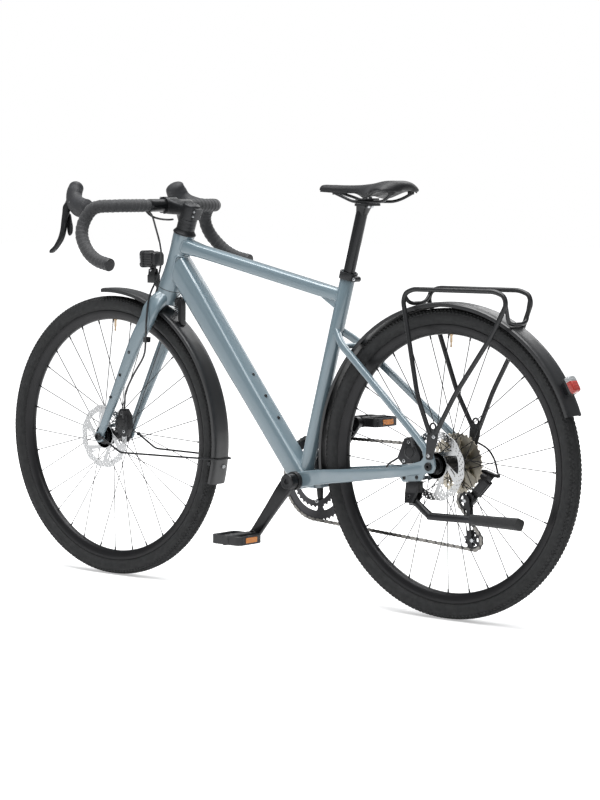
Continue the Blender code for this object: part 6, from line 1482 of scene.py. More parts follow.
def swell(pad, voxel=0.004, reach=0.0016):
    """Fills the cover out over its foam by a short cloth run, evened out and capped at reach."""
    remesh = pad.modifiers.new("Even mesh", "REMESH")
    remesh.mode, remesh.voxel_size = "VOXEL", voxel
    applied(pad)
    mesh = pad.data
    start = [v.co.copy() for v in mesh.vertices]
    normals = [v.normal.copy() for v in mesh.vertices]
    beside = [[i] for i in range(len(start))]
    for edge in mesh.edges:
        a, b = edge.vertices
        beside[a].append(b)
        beside[b].append(a)
    skin = pad.modifiers.new("Skin", "CLOTH").settings
    skin.use_pressure, skin.uniform_pressure_force = True, 4.0
    skin.effector_weights.gravity = 0.0
    scene = bpy.context.scene
    for step in range(1, 21):
        scene.frame_set(step)
    applied(pad)
    scene.frame_set(1)
    rise = [max(0.0, min(reach, (v.co - a).dot(n))) for v, a, n in zip(pad.data.vertices, start, normals)]
    smoothing = 14
    for _ in range(smoothing):
        rise = [sum(rise[k] for k in near) / len(near) for near in beside]
    for vertex, old, normal, lift in zip(pad.data.vertices, start, normals, rise):
        vertex.co = old + lift * normal
    smooth = pad.modifiers.new("Even", "SMOOTH")
    smooth.factor, smooth.iterations = 0.5, smoothing
    finer = pad.modifiers.new("Finer", "SUBSURF")
    finer.levels = finer.render_levels = 1
    applied(pad).data.shade_smooth()


def build_saddle():
    """The padded saddle on its shell, with sockets for the bent rails."""
    cover, shell = saddle_shapes()
    seatpad = piece("saddle_padding", "saddle", [("cover", cover)], 50.0)
    swell(seatpad)
    sockets = [sweep([xyz(x, y, .6742), xyz(x, y, top)], rounded(.0068, .0056, .0030), AHEAD)
               for x, y, top in ((-.0965, 0, .6850), (-.2905, .036, .6890), (-.2905, -.036, .6890))]
    piece("saddle_shell", "saddle", [("base_shell", merge(shell, *sockets))], replaces=())
    deck, climb = .6580, .0430
    half = [xyz(SADDLE_NOSE - SADDLE_LENGTH * back, y, deck + climb * rise) for back, y, rise in (
        (.929, .036, .430), (.848, .030, .163), (.770, .022, 0), (.437, .022, 0), (.336, .020, .209),
        (.204, .012, .442), (.177, .006, .477), (.169, 0, .484))]
    route = rounded_corners(half + mirrored(half[:-1])[::-1], 0.016, 6)
    piece("rail_wire", "saddle_rails", [("black_alloy", sweep(route, oval(.0035, .0035, 16), UP))])


def block(low, high, corner):
    """An upright block between two corners, its four edges rounded."""
    middle = [(a + b) / 2 for a, b in zip(low, high)]
    return sweep([xyz(middle[0], middle[1], low[2]), xyz(middle[0], middle[1], high[2])],
                 rounded((high[0] - low[0]) / 2, (high[1] - low[1]) / 2, corner), AHEAD)


def build_post():
    """The post with the two-piece cradle that clamps the saddle's rails, and the collar at its foot."""
    top = 0.6600
    profile = [(.0130, .397), (.0136, .3976), (.0136, top - .004), (.0115, top + .004)]
    post = turned(profile, ORIGIN, SEAT_UP, 48)
    head = seat(top + .006)
    neck = rounded_tube([seat(top - .012), xyz(head.x - .004, 0, .6512)],
                        [(.0105, .0115, .008), (.0150, .0150, .006)], 6)
    x, deck, lid = head.x - .006, .6542, .6618
    cradle = block((x - .0270, -.0270, deck - .0060), (x + .0110, .0270, deck), .005)
    web = block((x - .0180, -.0120, deck - .002), (x + .0050, .0120, lid + .002), .003)
    upper = block((x - .0230, -.0270, lid), (x + .0080, .0270, lid + .0040), .004)
    screws = [bolt(xyz(x + dx, 0, lid + .0038), UP, .0042, .0040) for dx in (-.0165, .0015)]
    screws += [bolt(xyz(x - .0170, s * .0060, deck - .0060), -UP, .0036, .0050) for s in (1, -1)]
    piece("post_and_cradle", "seatpost", [("polished_black", merge(post, neck, cradle, web, upper)),
                                          ("steel", merge(*screws))])
    inner, outer, low = .01775, .0212, .4965
    collar = turned([(inner, low), (outer - .0004, low), (outer, low + .0006), (outer, .5139),
                     (outer - .0004, .5145), (inner, .5145)], ORIGIN, SEAT_UP, 56, ring=True)
    behind = -outer - .0045
    ear = rod(seat(.504, behind, -.0090), seat(.504, behind, .0090), .0065, 28)
    screw = bolt(seat(.504, behind, .0092), LEFT, .0042, .0026)
    piece("seat_collar", "seat_clamp", [("black_alloy", merge(collar, ear)), ("steel", screw)])


# Cranks, chain and gears

PITCH = 0.0127
GUIDE_PULLEY = tuple(pivot("guide_pulley_spin")[::2])
TENSION_PULLEY = tuple(pivot("tension_pulley_spin")[::2])
COG_Y = pivot("guide_pulley_spin")[1]
RING_Y = -0.0475
CRANK_END = Vector(pivot("pedal_left_spin"))
CRANK_FACE = 0.0265
CRANK_BOSS = {1: 0.0443, -1: 0.0473}


def pitch_radius(teeth):
    return PITCH / (2 * math.sin(math.pi / teeth))


def tooth_outline(teeth, rise=0.0020, depth=0.0042, ramp=False):
    """Round tooth gaps between blunt teeth, nine points to each, with every fourth cut low on a ramp."""
    tip = pitch_radius(teeth) + rise
    form = ((0.00, 1.0), (0.14, 0.97), (0.26, 0.72), (0.38, 0.20), (0.46, 0.0), (0.54, 0.0), (0.62, 0.20),
            (0.74, 0.72), (0.86, 0.97))
    points = []
    for i in range(teeth):
        for share, drop in form:
            extra = 0.0012 if ramp and i % 4 == 0 and drop < 0.5 else 0.0
            points.append((tip - depth * drop - extra, math.tau * (i + share) / teeth))
    return flat_polar(points)


def build_cassette():
    """Ten sprockets with cut-away webs on the biggest, spacers between them and the lock ring."""
    rows, y = [], -0.0325
    for number, teeth in enumerate((34, 30, 26, 23, 21, 19, 17, 15, 13, 11)):
        here = y - 0.00395 * number
        cuts = [ringlet(0.0176, 40)]
        inner = pitch_radius(teeth) - 0.0090
        if inner > 0.0300:
            arms = 6 if inner < 0.045 else 8
            for k in range(arms):
                start, gap = math.tau * k / arms, math.tau / arms
                outer = [(inner, start + gap * (0.12 + 0.62 * i / 6)) for i in range(7)]
                back = [(0.0235, start + gap * (0.66 - 0.40 * i / 3)) for i in range(4)]
                cuts.append(flat_polar(outer + back))
        if teeth == 11:
            cuts = [ringlet(0.0125, 40)]
        rows.append(plate([tooth_outline(teeth, ramp=teeth > 15), *cuts], 0.0016,
                          side_plane(here, REAR_AXLE.x, REAR_AXLE.z), 0.0002))
    core = turned([(.0131, -.0300), (.0175, -.0300), (.0196, -.0312), (.0196, -.0662), (.0131, -.0662)],
                  REAR_AXLE, LEFT, 48, ring=True)
    ring = turned([(.0131, -.0660), (.0172, -.0662), (.0172, -.0700), (.0164, -.0709), (.0131, -.0709)],
                  REAR_AXLE, LEFT, 48, ring=True)
    piece("sprockets", "cassette", [("sprocket", merge(*rows)), ("black_alloy", merge(core, ring))], 25.0)


def crank_shape(side):
    """A forged arm: deep at its boss, slimmer toward the pedal, with round edges."""
    out, boss = side * LEFT, CRANK_BOSS[side]
    stations = ((0.00, .0098, .0090, .0186), (0.10, .0118, .0094, .0184), (0.22, .0142, .0090, .0174),
                (0.50, .0164, .0078, .0154), (0.80, .0182, .0070, .0142), (1.00, .0195, .0067, .0138))
    route, sizes = curve_stations(
        [(CRANK_END * t * side + (boss + y) * out, w, h) for t, y, w, h in stations], 5)
    arm = sweep(route, [rounded(w, h, .0050, 5) for w, h in sizes])
    end, face = CRANK_END * side, boss + CRANK_FACE
    hub = turned([(.0122, boss), (.0184, boss), (.0192, boss + .0010), (.0192, boss + .0190),
                  (.0184, boss + .0212), (.0172, boss + .0223), (.0150, boss + .0226), (.0122, boss + .0222)],
                 ORIGIN, out, 48, ring=True)
    eye = turned([(.0134, face - .0140), (.0142, face - .0132), (.0142, face - .0008), (.0134, face)], end,
                 out, 36)
    axle = turned([(.0070, face - .001), (.0080, face + .0004), (.0080, face + .0076), (.0050, face + .0100),
                   (.0050, face + .0835)], end, out, 24)
    cap = turned([(.0110, boss + .0170), (.0121, boss + .0172), (.0121, boss + .0214), (.0112, boss + .0220),
                  (.0070, boss + .0220), (.0060, boss + .0190)], ORIGIN, out, 36)
    return merge(arm, hub, eye), axle, cap


def ring_bolt(k):
    """Where one of the four bolts of the chainrings sits."""
    return polar(0.0550, math.radians(-52.5 + 45.0 + 90.0 * k))


def chainring(teeth, y, hole):
    """A ring with four inward lugs for its bolts, pierced on the big one."""
    turns = [math.tau * i / 160 for i in range(160)]
    inner = []
    for turn in turns:
        near = min(abs((turn - math.radians(-7.5 + 90 * k) + math.pi) % math.tau - math.pi) for k in range(4))
        inner.append((hole - (hole - .0500) * math.exp(-(near / .105) ** 4), turn))
    holes = [ringlet(.0042, 16, (ring_bolt(k).x, ring_bolt(k).z)) for k in range(4)] if hole > .06 else []
    return plate([tooth_outline(teeth), flat_polar(inner), *holes], .0022, side_plane(y), .0003)


def build_cranks():
    """Both arms with their pedal axles, the spider, the spindle, the two rings and their bolts."""
    arm, axle, cap = crank_shape(1)
    piece("crank_arm_left", "crank_left", [
        ("polished_black", arm), ("steel", axle), ("black_alloy", cap)], 32.0)
    arm, axle, cap = crank_shape(-1)
    legs, root, y = [], -.0553, RING_Y - .0011 - .0003 - .0022
    for tip in (ring_bolt(k) for k in range(4)):
        legs.append(rounded_tube(
            [tip * .15 + root * LEFT, tip * .50 + (y * .6 + root * .4) * LEFT, tip * .80 + y * LEFT,
             tip * 1.10 + y * LEFT],
            [(.0035, .0110, .002), (.0028, .0096, .002), (.0022, .0085, .0015), (.0022, .0070, .0015)], 4))
    spindle = rod(xyz(0, -.0573, 0), xyz(0, .0608, 0), .0120, 32)
    piece("crank_arm_right", "crankset", [
        ("polished_black", merge(arm, *legs)), ("steel", merge(axle, spindle)), ("black_alloy", cap)], 32.0)
    piece("big_ring", "outer_chainring", [("ring", chainring(50, RING_Y, .0795))], 25.0)
    piece("small_ring", "inner_chainring", [("ring", chainring(34, -.0395, .0535))], 25.0)
    screws = [bolt(ring_bolt(k) - .0540 * LEFT + .0008 * LEFT, -LEFT, .0050, .0026) for k in range(4)]
    screws += [bolt(ring_bolt(k) - .0378 * LEFT, LEFT, .0050, .0022) for k in range(4)]
    piece("ring_bolts", "crankset", [("steel", merge(*screws))], replaces=())


def build_pedals():
    """Cage pedals: a frame with grip teeth, the tube round the spindle, cross ribs and two reflectors."""
    for side, word in SIDES:
        end, start = CRANK_END * side, CRANK_BOSS[side] + CRANK_FACE + .0115
        centre = end + side * (start + .0425) * LEFT
        corners = [(.0465, .0335), (.0375, .0425)]
        corners += [(-x, y) for x, y in reversed(corners)]
        corners += [(-x, -y) for x, y in corners]
        hole = ((.0150, -.0345), (.0400, -.0345), (.0400, .0345), (.0150, .0345))
        holes = [soft_outline([(s * x, y) for x, y in hole], .004) for s in (1, -1)]
        cage = plate([soft_outline(corners, .005), *holes], .0216, Matrix.Translation(centre), .0012)
        ribs = [sweep([centre + xyz(s * .0140, y, 0), centre + xyz(s * .0405, y, 0)],
                      rounded(.0022, .0075, .001, 3)) for s in (1, -1) for y in (-.0190, .0190)]
        feet = [(centre + xyz(s * .0432, -.0300 + .0100 * k, lift * .0100), lift)
                for s in (1, -1) for k in range(7) for lift in (1, -1)]
        teeth = [turned([(.0021, 0), (.0012, .0010)], foot, lift * UP, 8) for foot, lift in feet]
        barrel = turned([(.0052, start - .0013), (.0115, start - .0013), (.0125, start - .0003),
                         (.0125, start + .0855), (.0112, start + .0868), (.0052, start + .0869)],
                        end, side * LEFT, 32)
        lamps = [sweep([centre + xyz(s * .0432, 0, 0), centre + xyz(s * .0474, 0, 0)],
                       rounded(.0195, .0062, .0015, 3)) for s in (1, -1)]
        piece(f"pedal_cage_{word}", f"pedal_{word}", [
            ("plastic", merge(cage, *ribs, barrel)), ("plastic", merge(*teeth)), ("amber", merge(*lamps))],
            32.0)


def chain_wheels():
    """The chain's four wheels: centre, teeth, which way the chain runs round them, and their y."""
    return (((REAR_AXLE.x, REAR_AXLE.z), 15, 1, COG_Y), ((0.0, 0.0), 50, 1, RING_Y),
            (TENSION_PULLEY, 11, 1, COG_Y), (GUIDE_PULLEY, 11, -1, COG_Y))


def tangent(first, second):
    """The straight run from one wheel to the next, as it leaves the first and meets the second."""
    (c0, r0, s0), (c1, r1, s1) = first, second
    span = Vector(c1) - Vector(c0)
    angle = math.atan2(span.y, span.x)
    lean = math.acos(max(-1.0, min(1.0, (s0 * r0 - s1 * r1) / span.length)))
    side = angle + lean
    normal = Vector((math.cos(side), math.sin(side)))
    return Vector(c0) + s0 * r0 * normal, Vector(c1) + s1 * r1 * normal


def chain_line():
    """The chain's closed route through the middle of its pins."""
    wheels = [(c, pitch_radius(teeth), sense, y) for c, teeth, sense, y in chain_wheels()]
    runs = [tangent(wheels[i][:3], wheels[(i + 1) % 4][:3]) for i in range(4)]
    points = []
    for i, (centre, radius, sense, y) in enumerate(wheels):
        enter, leave = runs[i - 1][1] - Vector(centre), runs[i][0] - Vector(centre)
        begin = math.atan2(enter.y, enter.x)
        wrap = (begin - math.atan2(leave.y, leave.x)) * sense % math.tau
        steps = max(8, round(wrap * radius / 0.002))
        for k in range(steps + 1):
            angle = begin - sense * wrap * k / steps
            points.append(xyz(centre[0] + radius * math.cos(angle), y, centre[1] + radius * math.sin(angle)))
        next_y = wheels[(i + 1) % 4][3]
        if next_y != y:
            start, stop = runs[i]
            ahead = 2.5 * PITCH * (stop - start).normalized()
            points.append(xyz(start.x + ahead.x, y, start.y + ahead.y))
            points.append(xyz(stop.x - ahead.x, next_y, stop.y - ahead.y))
    return points


def link_plate(y, thickness, waist, height):
    """A figure-of-eight side plate, one pitch long, in the chain's own frame: X along it, Y across it."""
    outline = []
    for centre, turns, dip in ((PITCH / 2, range(-100, 101, 25), waist),
                               (-PITCH / 2, range(80, 281, 25), -waist)):
        for turn in map(math.radians, turns):
            outline.append((centre + height * math.cos(turn), height * math.sin(turn)))
        outline.append((0.0, dip))
    return plate([outline], thickness, side_plane(y), 0.00015)


def build_chain():
    """Inner and outer links in turn, with the rollers and rivets that hold them."""
    line = chain_line()
    length = sum((b - a).length for a, b in zip(line, line[1:] + line[:1]))
    pins = 2 * round(length / PITCH / 2)
    inner = merge(*[link_plate(s * .00165, .0008, .0030, .0040) for s in (1, -1)])
    outer = merge(*[link_plate(s * .00248, .0008, .0029, .0041) for s in (1, -1)])
    roller, rivet = cross_rod(0, 0, .0012, .0037, 14), cross_rod(0, 0, .0030, .0017, 10)
    for name, shape, every, first, look in (
            ("chain_inner_links", inner, 4, 1, "chain_inner"),
            ("chain_outer_links", outer, 4, 3, "chain_plate"),
            ("chain_rollers", roller, 2, 0, "chain_inner"), ("chain_rivets", rivet, 2, 0, "chain_plate")):
        links = repeat_along(name, "chain", shape, line, 2 * pins, look, every, first=first)
        if name == "chain_inner_links":
            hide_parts("chain")


def pulley_shape(centre):
    """A jockey wheel: teeth, a pierced web and a steel bush."""
    cuts = [ringlet(.0061, 24)]
    for k in range(5):
        start = math.tau * k / 5
        outer = [(.0150, start + .15 + .75 * i / 5) for i in range(6)]
        back = [(.0092, start + .80 - .55 * i / 3) for i in range(4)]
        cuts.append(flat_polar(outer + back))
    wheel = plate([tooth_outline(11), *cuts], .0024, side_plane(COG_Y, *centre), .0003)
    section = [(.0038, -.0034), (.0058, -.0034), (.0062, -.0012), (.0062, .0012), (.0058, .0034),
               (.0038, .0034)]
    return wheel, turned(section, xyz(centre[0], COG_Y, centre[1]), LEFT, 24, ring=True)


def link_axes():
    """Both ends of the swing links' middle line, and its three directions: along, the pins' and across."""
    start, end = xyz(-.4780, -.0800, .0260), xyz(-.4435, -.0790, -.0107)
    along = (end - start).normalized()
    tilt = math.radians(25)
    inward = xyz(0, math.cos(tilt), -math.sin(tilt))
    axis = along.cross(inward).normalized()
    return start, end, along, axis, axis.cross(along)


def build_links(start, end, along, axis, across):
    """The two parallel links that swing between the knuckles."""
    reach = (end - start).length / 2
    for name, node, side, wide in (("outer_swing_link", "rd_outer_link", -1, .0130),
                                   ("inner_swing_link", "rd_inner_link", 1, .0105)):
        outline = []
        for centre, turns in ((reach, range(-90, 91, 20)), (-reach, range(90, 271, 20))):
            for turn in map(math.radians, turns):
                x = centre + wide * math.cos(turn) * .9
                outline.append((max(-reach, min(reach, x)), wide * math.sin(turn)))
        middle = (start + end) / 2 + side * .0075 * across
        place = Matrix((
            (along.x, axis.x, across.x, middle.x), (along.y, axis.y, across.y, middle.y),
            (along.z, axis.z, across.z, middle.z), (0, 0, 0, 1)))
        heads = [turned([(.0030, 0), (.0030, .0007), (.0024, .0010)],
                        middle + (s * (reach - .0045)) * along + side * .0016 * across, side * across, 14)
                 for s in (1, -1)]
        piece(name, node, [("polished_black", plate([outline], .0056, place, .0018)),
                           ("steel", merge(*heads))], 40.0)


def build_swing_cage():
    """The two slotted plates round the jockey wheels, with their pins and screws."""
    upper, lower = Vector(GUIDE_PULLEY), Vector(TENSION_PULLEY)
    down = (lower - upper).normalized()
    side_way = Vector((-down.y, down.x))
    outline = []
    for centre, radius, turns in ((upper, .0140, range(205, 84, -15)), (lower, .0142, range(25, -86, -15))):
        outline += [centre + radius * (math.cos(turn) * side_way - math.sin(turn) * down)
                    for turn in map(math.radians, turns)]
    corners = (-1, -.5), (-.9, -.9), (.9, -.9), (1, -.5), (1, .5), (.9, .9), (-.9, .9), (-1, .5)
    slots = []
    for low, high, half in ((.20, .36, .0040), (.42, .74, .0042)):
        middle = upper.lerp(lower, (low + high) / 2)
        long = (high - low) / 2 * (lower - upper).length
        lean = 0.0035 * side_way
        slots.append([tuple(middle + lean + u * long * down + v * half * side_way) for u, v in corners])
    plates = [plate([[tuple(p) for p in outline], *slots], .0016, side_plane(COG_Y + y), .0003)
              for y in (.0062, -.0062)]
    pins = [rod(xyz(x, COG_Y - .0060, z), xyz(x, COG_Y + .0060, z), .0034, 18)
            for x, z in (GUIDE_PULLEY, TENSION_PULLEY)]
    heads = [bolt(xyz(x, COG_Y + side * .0069, z), side * LEFT, .0046, .0010)
             for (x, z), side in ((GUIDE_PULLEY, 1), (TENSION_PULLEY, 1), (TENSION_PULLEY, -1))]
    piece("swing_cage", "rd_cage", [("polished_black", merge(*plates)), ("steel", merge(*pins, *heads))],
          30.0)


def build_derailleurs():
    """The rear derailleur's knuckles, links, cage and jockey wheels, and the front cage."""
    for name, node, centre in (("upper_jockey", "guide_pulley", GUIDE_PULLEY),
                               ("lower_jockey", "tension_pulley", TENSION_PULLEY)):
        wheel, bush = pulley_shape(centre)
        piece(name, node, [("plastic", wheel), ("steel", bush)], 28.0)
    start, end, along, axis, across = link_axes()
    hanger = xyz(-.441809, -.0775, .041)
    port = turned([(.0036, 0), (.0044, .0008), (.0044, .0052), (.0038, .0058)], xyz(-.5061, -.0850, .0345),
                  xyz(.0023, 0, .0086), 16)
    upper = rounded_tube([hanger + xyz(-.004, .004, -.002), hanger + xyz(-.022, -.001, -.010), start],
                         [(.0085, .0110, .006), (.0095, .0130, .007), (.0085, .0120, .006)])
    dressed("upper_knuckle", "rd_knuckle_upper", "polished_black", 0.0012, [
        ("steel", bolt(hanger - .0118 * LEFT, -LEFT, .0062, .0016)), ("black_alloy", port),
        ("plastic", upper)], 3)
    lower = rounded_tube(
        [end + .002 * along, end + .012 * along + .003 * LEFT, end + .019 * along + .004 * LEFT],
        [(.0085, .0110, .006), (.0090, .0125, .007), (.0070, .0095, .006)])
    dressed("lower_knuckle", "rd_knuckle_lower", "polished_black", 0.0012, [
        ("steel", bolt(xyz(GUIDE_PULLEY[0], -.08265, GUIDE_PULLEY[1]), -LEFT, .0056, .0014)),
        ("plastic", lower)], 3)
    build_links(start, end, along, axis, across)
    build_swing_cage()
    dressed("front_cage", "front_derailleur", "polished_black", 0.0007, [
        ("steel", bolt(xyz(-.0250, -.0440, .150), AHEAD, .0040, .0014))], 2)
    dressed("rear_thru_axle", "rear_axle", "black_alloy", 0.0006)


# Mudguards, rack and lamps


REAR_GUARD = 0.3670
FRONT_GUARD = 0.3685


def guard_rings(centre, radius, arc):
    """A rolled mudguard: crowned over the tyre with turned-in edges, its two ends rounded off."""
    first, last = arc
    count = round((last - first) / 1.5)
    w, t = .0275, .0020
    skin = [(radius - .0110, w), (radius - .0060, w), (radius - .0035, w - .0004),
            (radius - .0014, w - .0036), (radius - .0004, w - .0085), (radius, w - .0140),
            (radius, w - .0200)]
    outside = skin + [(r, -y) for r, y in reversed(skin)]
    inner = [(radius - .0108, w - .0020), (radius - .0058, w - .0020), (radius - .0044, w - .0026),
             (radius - .0030, w - .0052), (radius - .0021, w - .0098), (radius - t, w - .0148),
             (radius - t, w - .0200)]
    section = outside + [(r, -y) for r, y in inner] + inner[::-1]
    rings = []
    for i in range(count + 1):
        out = polar(1.0, math.radians(first + (last - first) * i / count))
        rings.append([centre + reach * out + y * LEFT for reach, y in section])
    return loft(rings)


def build_guards():
    """Both mudguards, the front one's crown bracket, and the bow that stays it from the axle."""
    piece("rear_guard", "rear_mudguard", [("guard", guard_rings(REAR_AXLE, REAR_GUARD, (-8.0, 159.5)))], 40.0)
    centre = FRONT_AXLE + .0055 * UP
    crown = steer(CROWN - .024, .0007 - .0285)
    foot = centre.z + math.sqrt(FRONT_GUARD ** 2 - (crown.x - .020 - centre.x) ** 2)
    corners = [(crown.x + x, z) for x, z in (
        (-.030, foot - .008), (-.012, foot + .004), (-.013, crown.z - .014), (0, crown.z - .008),
        (-.0035, crown.z + .007), (-.016, crown.z + .012), (-.027, crown.z + .008), (-.031, crown.z - .006))]
    bracket = plate([soft_outline(corners, .008, 5)], .0160, side_plane(0.0), .0040)
    guard = guard_rings(centre, FRONT_GUARD, (87.0, 196.5))
    down = polar(1.0, math.radians(189.5))
    clip = bolt(centre + (FRONT_GUARD + .0003) * down - .0080 * LEFT, down, .0048, .0026)
    piece("front_guard", "front_mudguard", [("guard", guard), ("plastic", bracket), ("steel", clip)], 40.0)
    out = polar(1.0, math.radians(186.5))
    corner, inner, side = centre + .3708 * out, centre + (FRONT_GUARD - .014) * out, .0298
    left = spots(
        (.6120, .0655, .0665), (.6000, .0655, .0600), (.5500, .0640, .0330), (.4000, .0500, .0330),
        (inner.x, side, inner.z), (corner.x, side, corner.z), (corner.x, side - .0060, corner.z))
    bow = sweep(rounded_corners(doubled(left), .012, 4), oval(.0025, .0025, 12), UP)
    screws = []
    for x, z, near, far, radius in ((.6120, .0665, .0630, .0690, .0046),
                                    (inner.x + .0035, inner.z - .0120, side, side - .0060, .0052)):
        screws += [rod(xyz(x, s * near, z), xyz(x, s * far, z), radius, 18) for s in (1, -1)]
    piece("guard_bow", "guard_stay", [("black_alloy", bow), ("black_alloy", merge(*screws))])


RACK_FOOT_X = REAR_AXLE.x - 0.0150
RACK_FOOT_Z = 0.1500
RACK_HEIGHT = 0.3120
RACK_AHEAD = 0.0958
RACK_BEHIND = 0.1902
RACK_HALF = 0.0470
RACK_SPREAD = 0.0345


def rack_point(along, out, up, side):
    """A point of the rack: its shares of the way along the deck, out to the feet and up to the deck."""
    reach = RACK_AHEAD if along > 0 else RACK_BEHIND
    return xyz(REAR_AXLE.x + along * reach, side * (RACK_HALF + out * RACK_SPREAD),
               RACK_FOOT_Z + up * RACK_HEIGHT)


def build_rack():
    """Bent-tube rack: two hoops on foot plates, tied over the wheel by two arches."""
    shapes, screws = [], []
    for side in (1, -1):
        foot = [rack_point(0, 1, 0, side) + xyz(x - .0150, 0, -.0080) for x in (.0080, -.0080)]
        front = [rack_point(*p, side) for p in (
            (.353, .783, .237), (.854, .203, .769), (1, 0, .910), (.937, 0, .971), (.708, 0, 1))]
        rear = [rack_point(*p, side) for p in (
            (-.832, 0, 1), (-.968, 0, .971), (-1, 0, .910), (-.842, .203, .705), (-.359, .725, .256))]
        route = rounded_corners([foot[0], *front, *rear, foot[1]], .022, 5)
        shapes.append(sweep(route, oval(.0055, .0055, 18)))
        fx, fz = RACK_FOOT_X, RACK_FOOT_Z
        corners = ((fx - .0140, fz + .0020), (fx - .0120, fz - .0220), (fx + .0030, .0830),
                   (fx + .0200, .0830), (fx + .0170, fz - .0150), (fx + .0140, fz + .0020))
        shapes.append(plate([soft_outline(corners, .005)], .0040, side_plane(side * .0795), .0006))
        eye = [xyz(x, side * .0800, z) for x, z in ringlet(.0075, 24, (fx, fz + .0085))]
        shapes.append(sweep(eye, oval(.0022, .0022, 10), closed=True))
        screws += [bolt(xyz(fx + .0110, side * .0812, .0930), side * LEFT, .0048, .0030),
                   bolt(xyz(fx - .0040, side * .0812, .1360), side * LEFT, .0048, .0030)]
    for along in (.958, -.984):
        rail = rack_point(along, 0, .955, 1)
        top = REAR_AXLE.z + math.sqrt((.3673 + .0045) ** 2 - (rail.x - REAR_AXLE.x) ** 2)
        half = spots((rail.x, .0480, rail.z), (rail.x, rail.y - .0130, top + .0060),
                     (rail.x, .0180, top + .0010))
        shapes.append(sweep(rounded_corners(doubled(half), .014, 5), oval(.0045, .0045, 16), AHEAD))
    piece("rack_tubes", "rack", [("rack", merge(*shapes)), ("steel", merge(*screws))])


def build_lamps():
    """The front lamp on its bracket, and the rear lamp with its red lens and clear top."""

    height = .5150

    def boxes(levels, corner):
        return loft([[xyz(x, u, height + v) for u, v in rounded(w, h, corner, 5)] for x, w, h in levels])

    body = boxes(((.4700, .0140, .0120), (.4706, .0152, .0132), (.4722, .0170, .0152), (.4850, .0196, .0182),
                  (.4905, .0204, .0190)), .0070)
    grooves = []
    for k in range(6):
        at = .0145 - .0058 * k
        rib = rounded(.0212, .0017, .0008, 3)
        grooves.append(loft([[xyz(x, u, height + at + v) for u, v in rib] for x in (.4790, .5085)]))
    head = boxes(((.5070, .0205, .0190), (.5078, .0224, .0206), (.5090, .0233, .0213), (.5160, .0235, .0215),
                  (.5178, .0230, .0210)), .0080)
    core = boxes(((.4880, .0198, .0186), (.5085, .0200, .0186)), .0060)
    band = boxes(((.5146, .0229, .0140), (.5150, .02365, .0140), (.5168, .02365, .0140),
                  (.5172, .0229, .0140)), .0060)
    glass = boxes(((.5174, .0222, .0202), (.5192, .0220, .0200), (.5199, .0212, .0190),
                   (.5200, .0190, .0170)), .0070)
    x, z = .4930, .4880
    corners = [(x - .008, z + .012), (x - .007, z - .006), (x + .007, z - .006), (x + .008, z + .012)]
    tongue = plate([corners], .008, side_plane(0.0), .0006)
    knob_bolt = rod(xyz(x, -.0100, z), xyz(x, .0100, z), .0042, 20)
    piece("lamp_body", "front_light", [
        ("plastic", merge(body, core, head, *grooves, tongue)), ("clear", glass), ("mirror", band)], 28.0)
    dressed("lamp_bracket", "light_bracket", "plastic", 0.0010, [
        ("steel", merge(*[bolt(xyz(x, s * .0082, z), s * LEFT, .0034, .0022) for s in (1, -1)])),
        ("plastic", knob_bolt)], 2)
    turn = math.radians(149.6)
    out, along = polar(1.0, turn), xyz(-math.sin(turn), 0, math.cos(turn))
    foot = REAR_AXLE + .3671 * out

    def case(levels, corner, low=-1.0, high=1.0):
        made = []
        for reach, w, h in levels:
            ring = rounded(w, h, corner, 5)
            made.append([foot + reach * out + u * LEFT + max(low * h, min(high * h, v)) * along
                         for u, v in ring])
        return loft(made)

    housing = case(((0, .0080, .0150), (.0090, .0104, .0170), (.0100, .0128, .0196), (.0150, .0128, .0196),
                    (.0154, .0124, .0192)), .0050)
    piece("tail_lamp_case", "rear_light", [("plastic", housing)], 30.0)
    levels = ((.0154, .0126, .0194), (.0240, .0126, .0194), (.0268, .0120, .0188), (.0286, .0102, .0170),
              (.0290, .0086, .0154))
    red, clear = case(levels, .0055, -.36, 1.0), case(levels, .0055, -1.0, -.37)
    piece("tail_lamp_lens", "rear_light_lens", [("red", red), ("clear", clear)], 40.0)


# Stand and brakes


STAND_PIVOT = Vector(pivot("stand_swing"))
STAND_LEAN = math.radians(22.0)


def stand_point(x, down, out=0.0):
    """A point of the leaning stand: ahead of its pivot, down its own plane and out from it."""
    lower = xyz(0, math.sin(STAND_LEAN), -math.cos(STAND_LEAN))
    outward = xyz(0, math.cos(STAND_LEAN), math.sin(STAND_LEAN))
    return STAND_PIVOT + xyz(x, 0, 0) + down * lower + out * outward


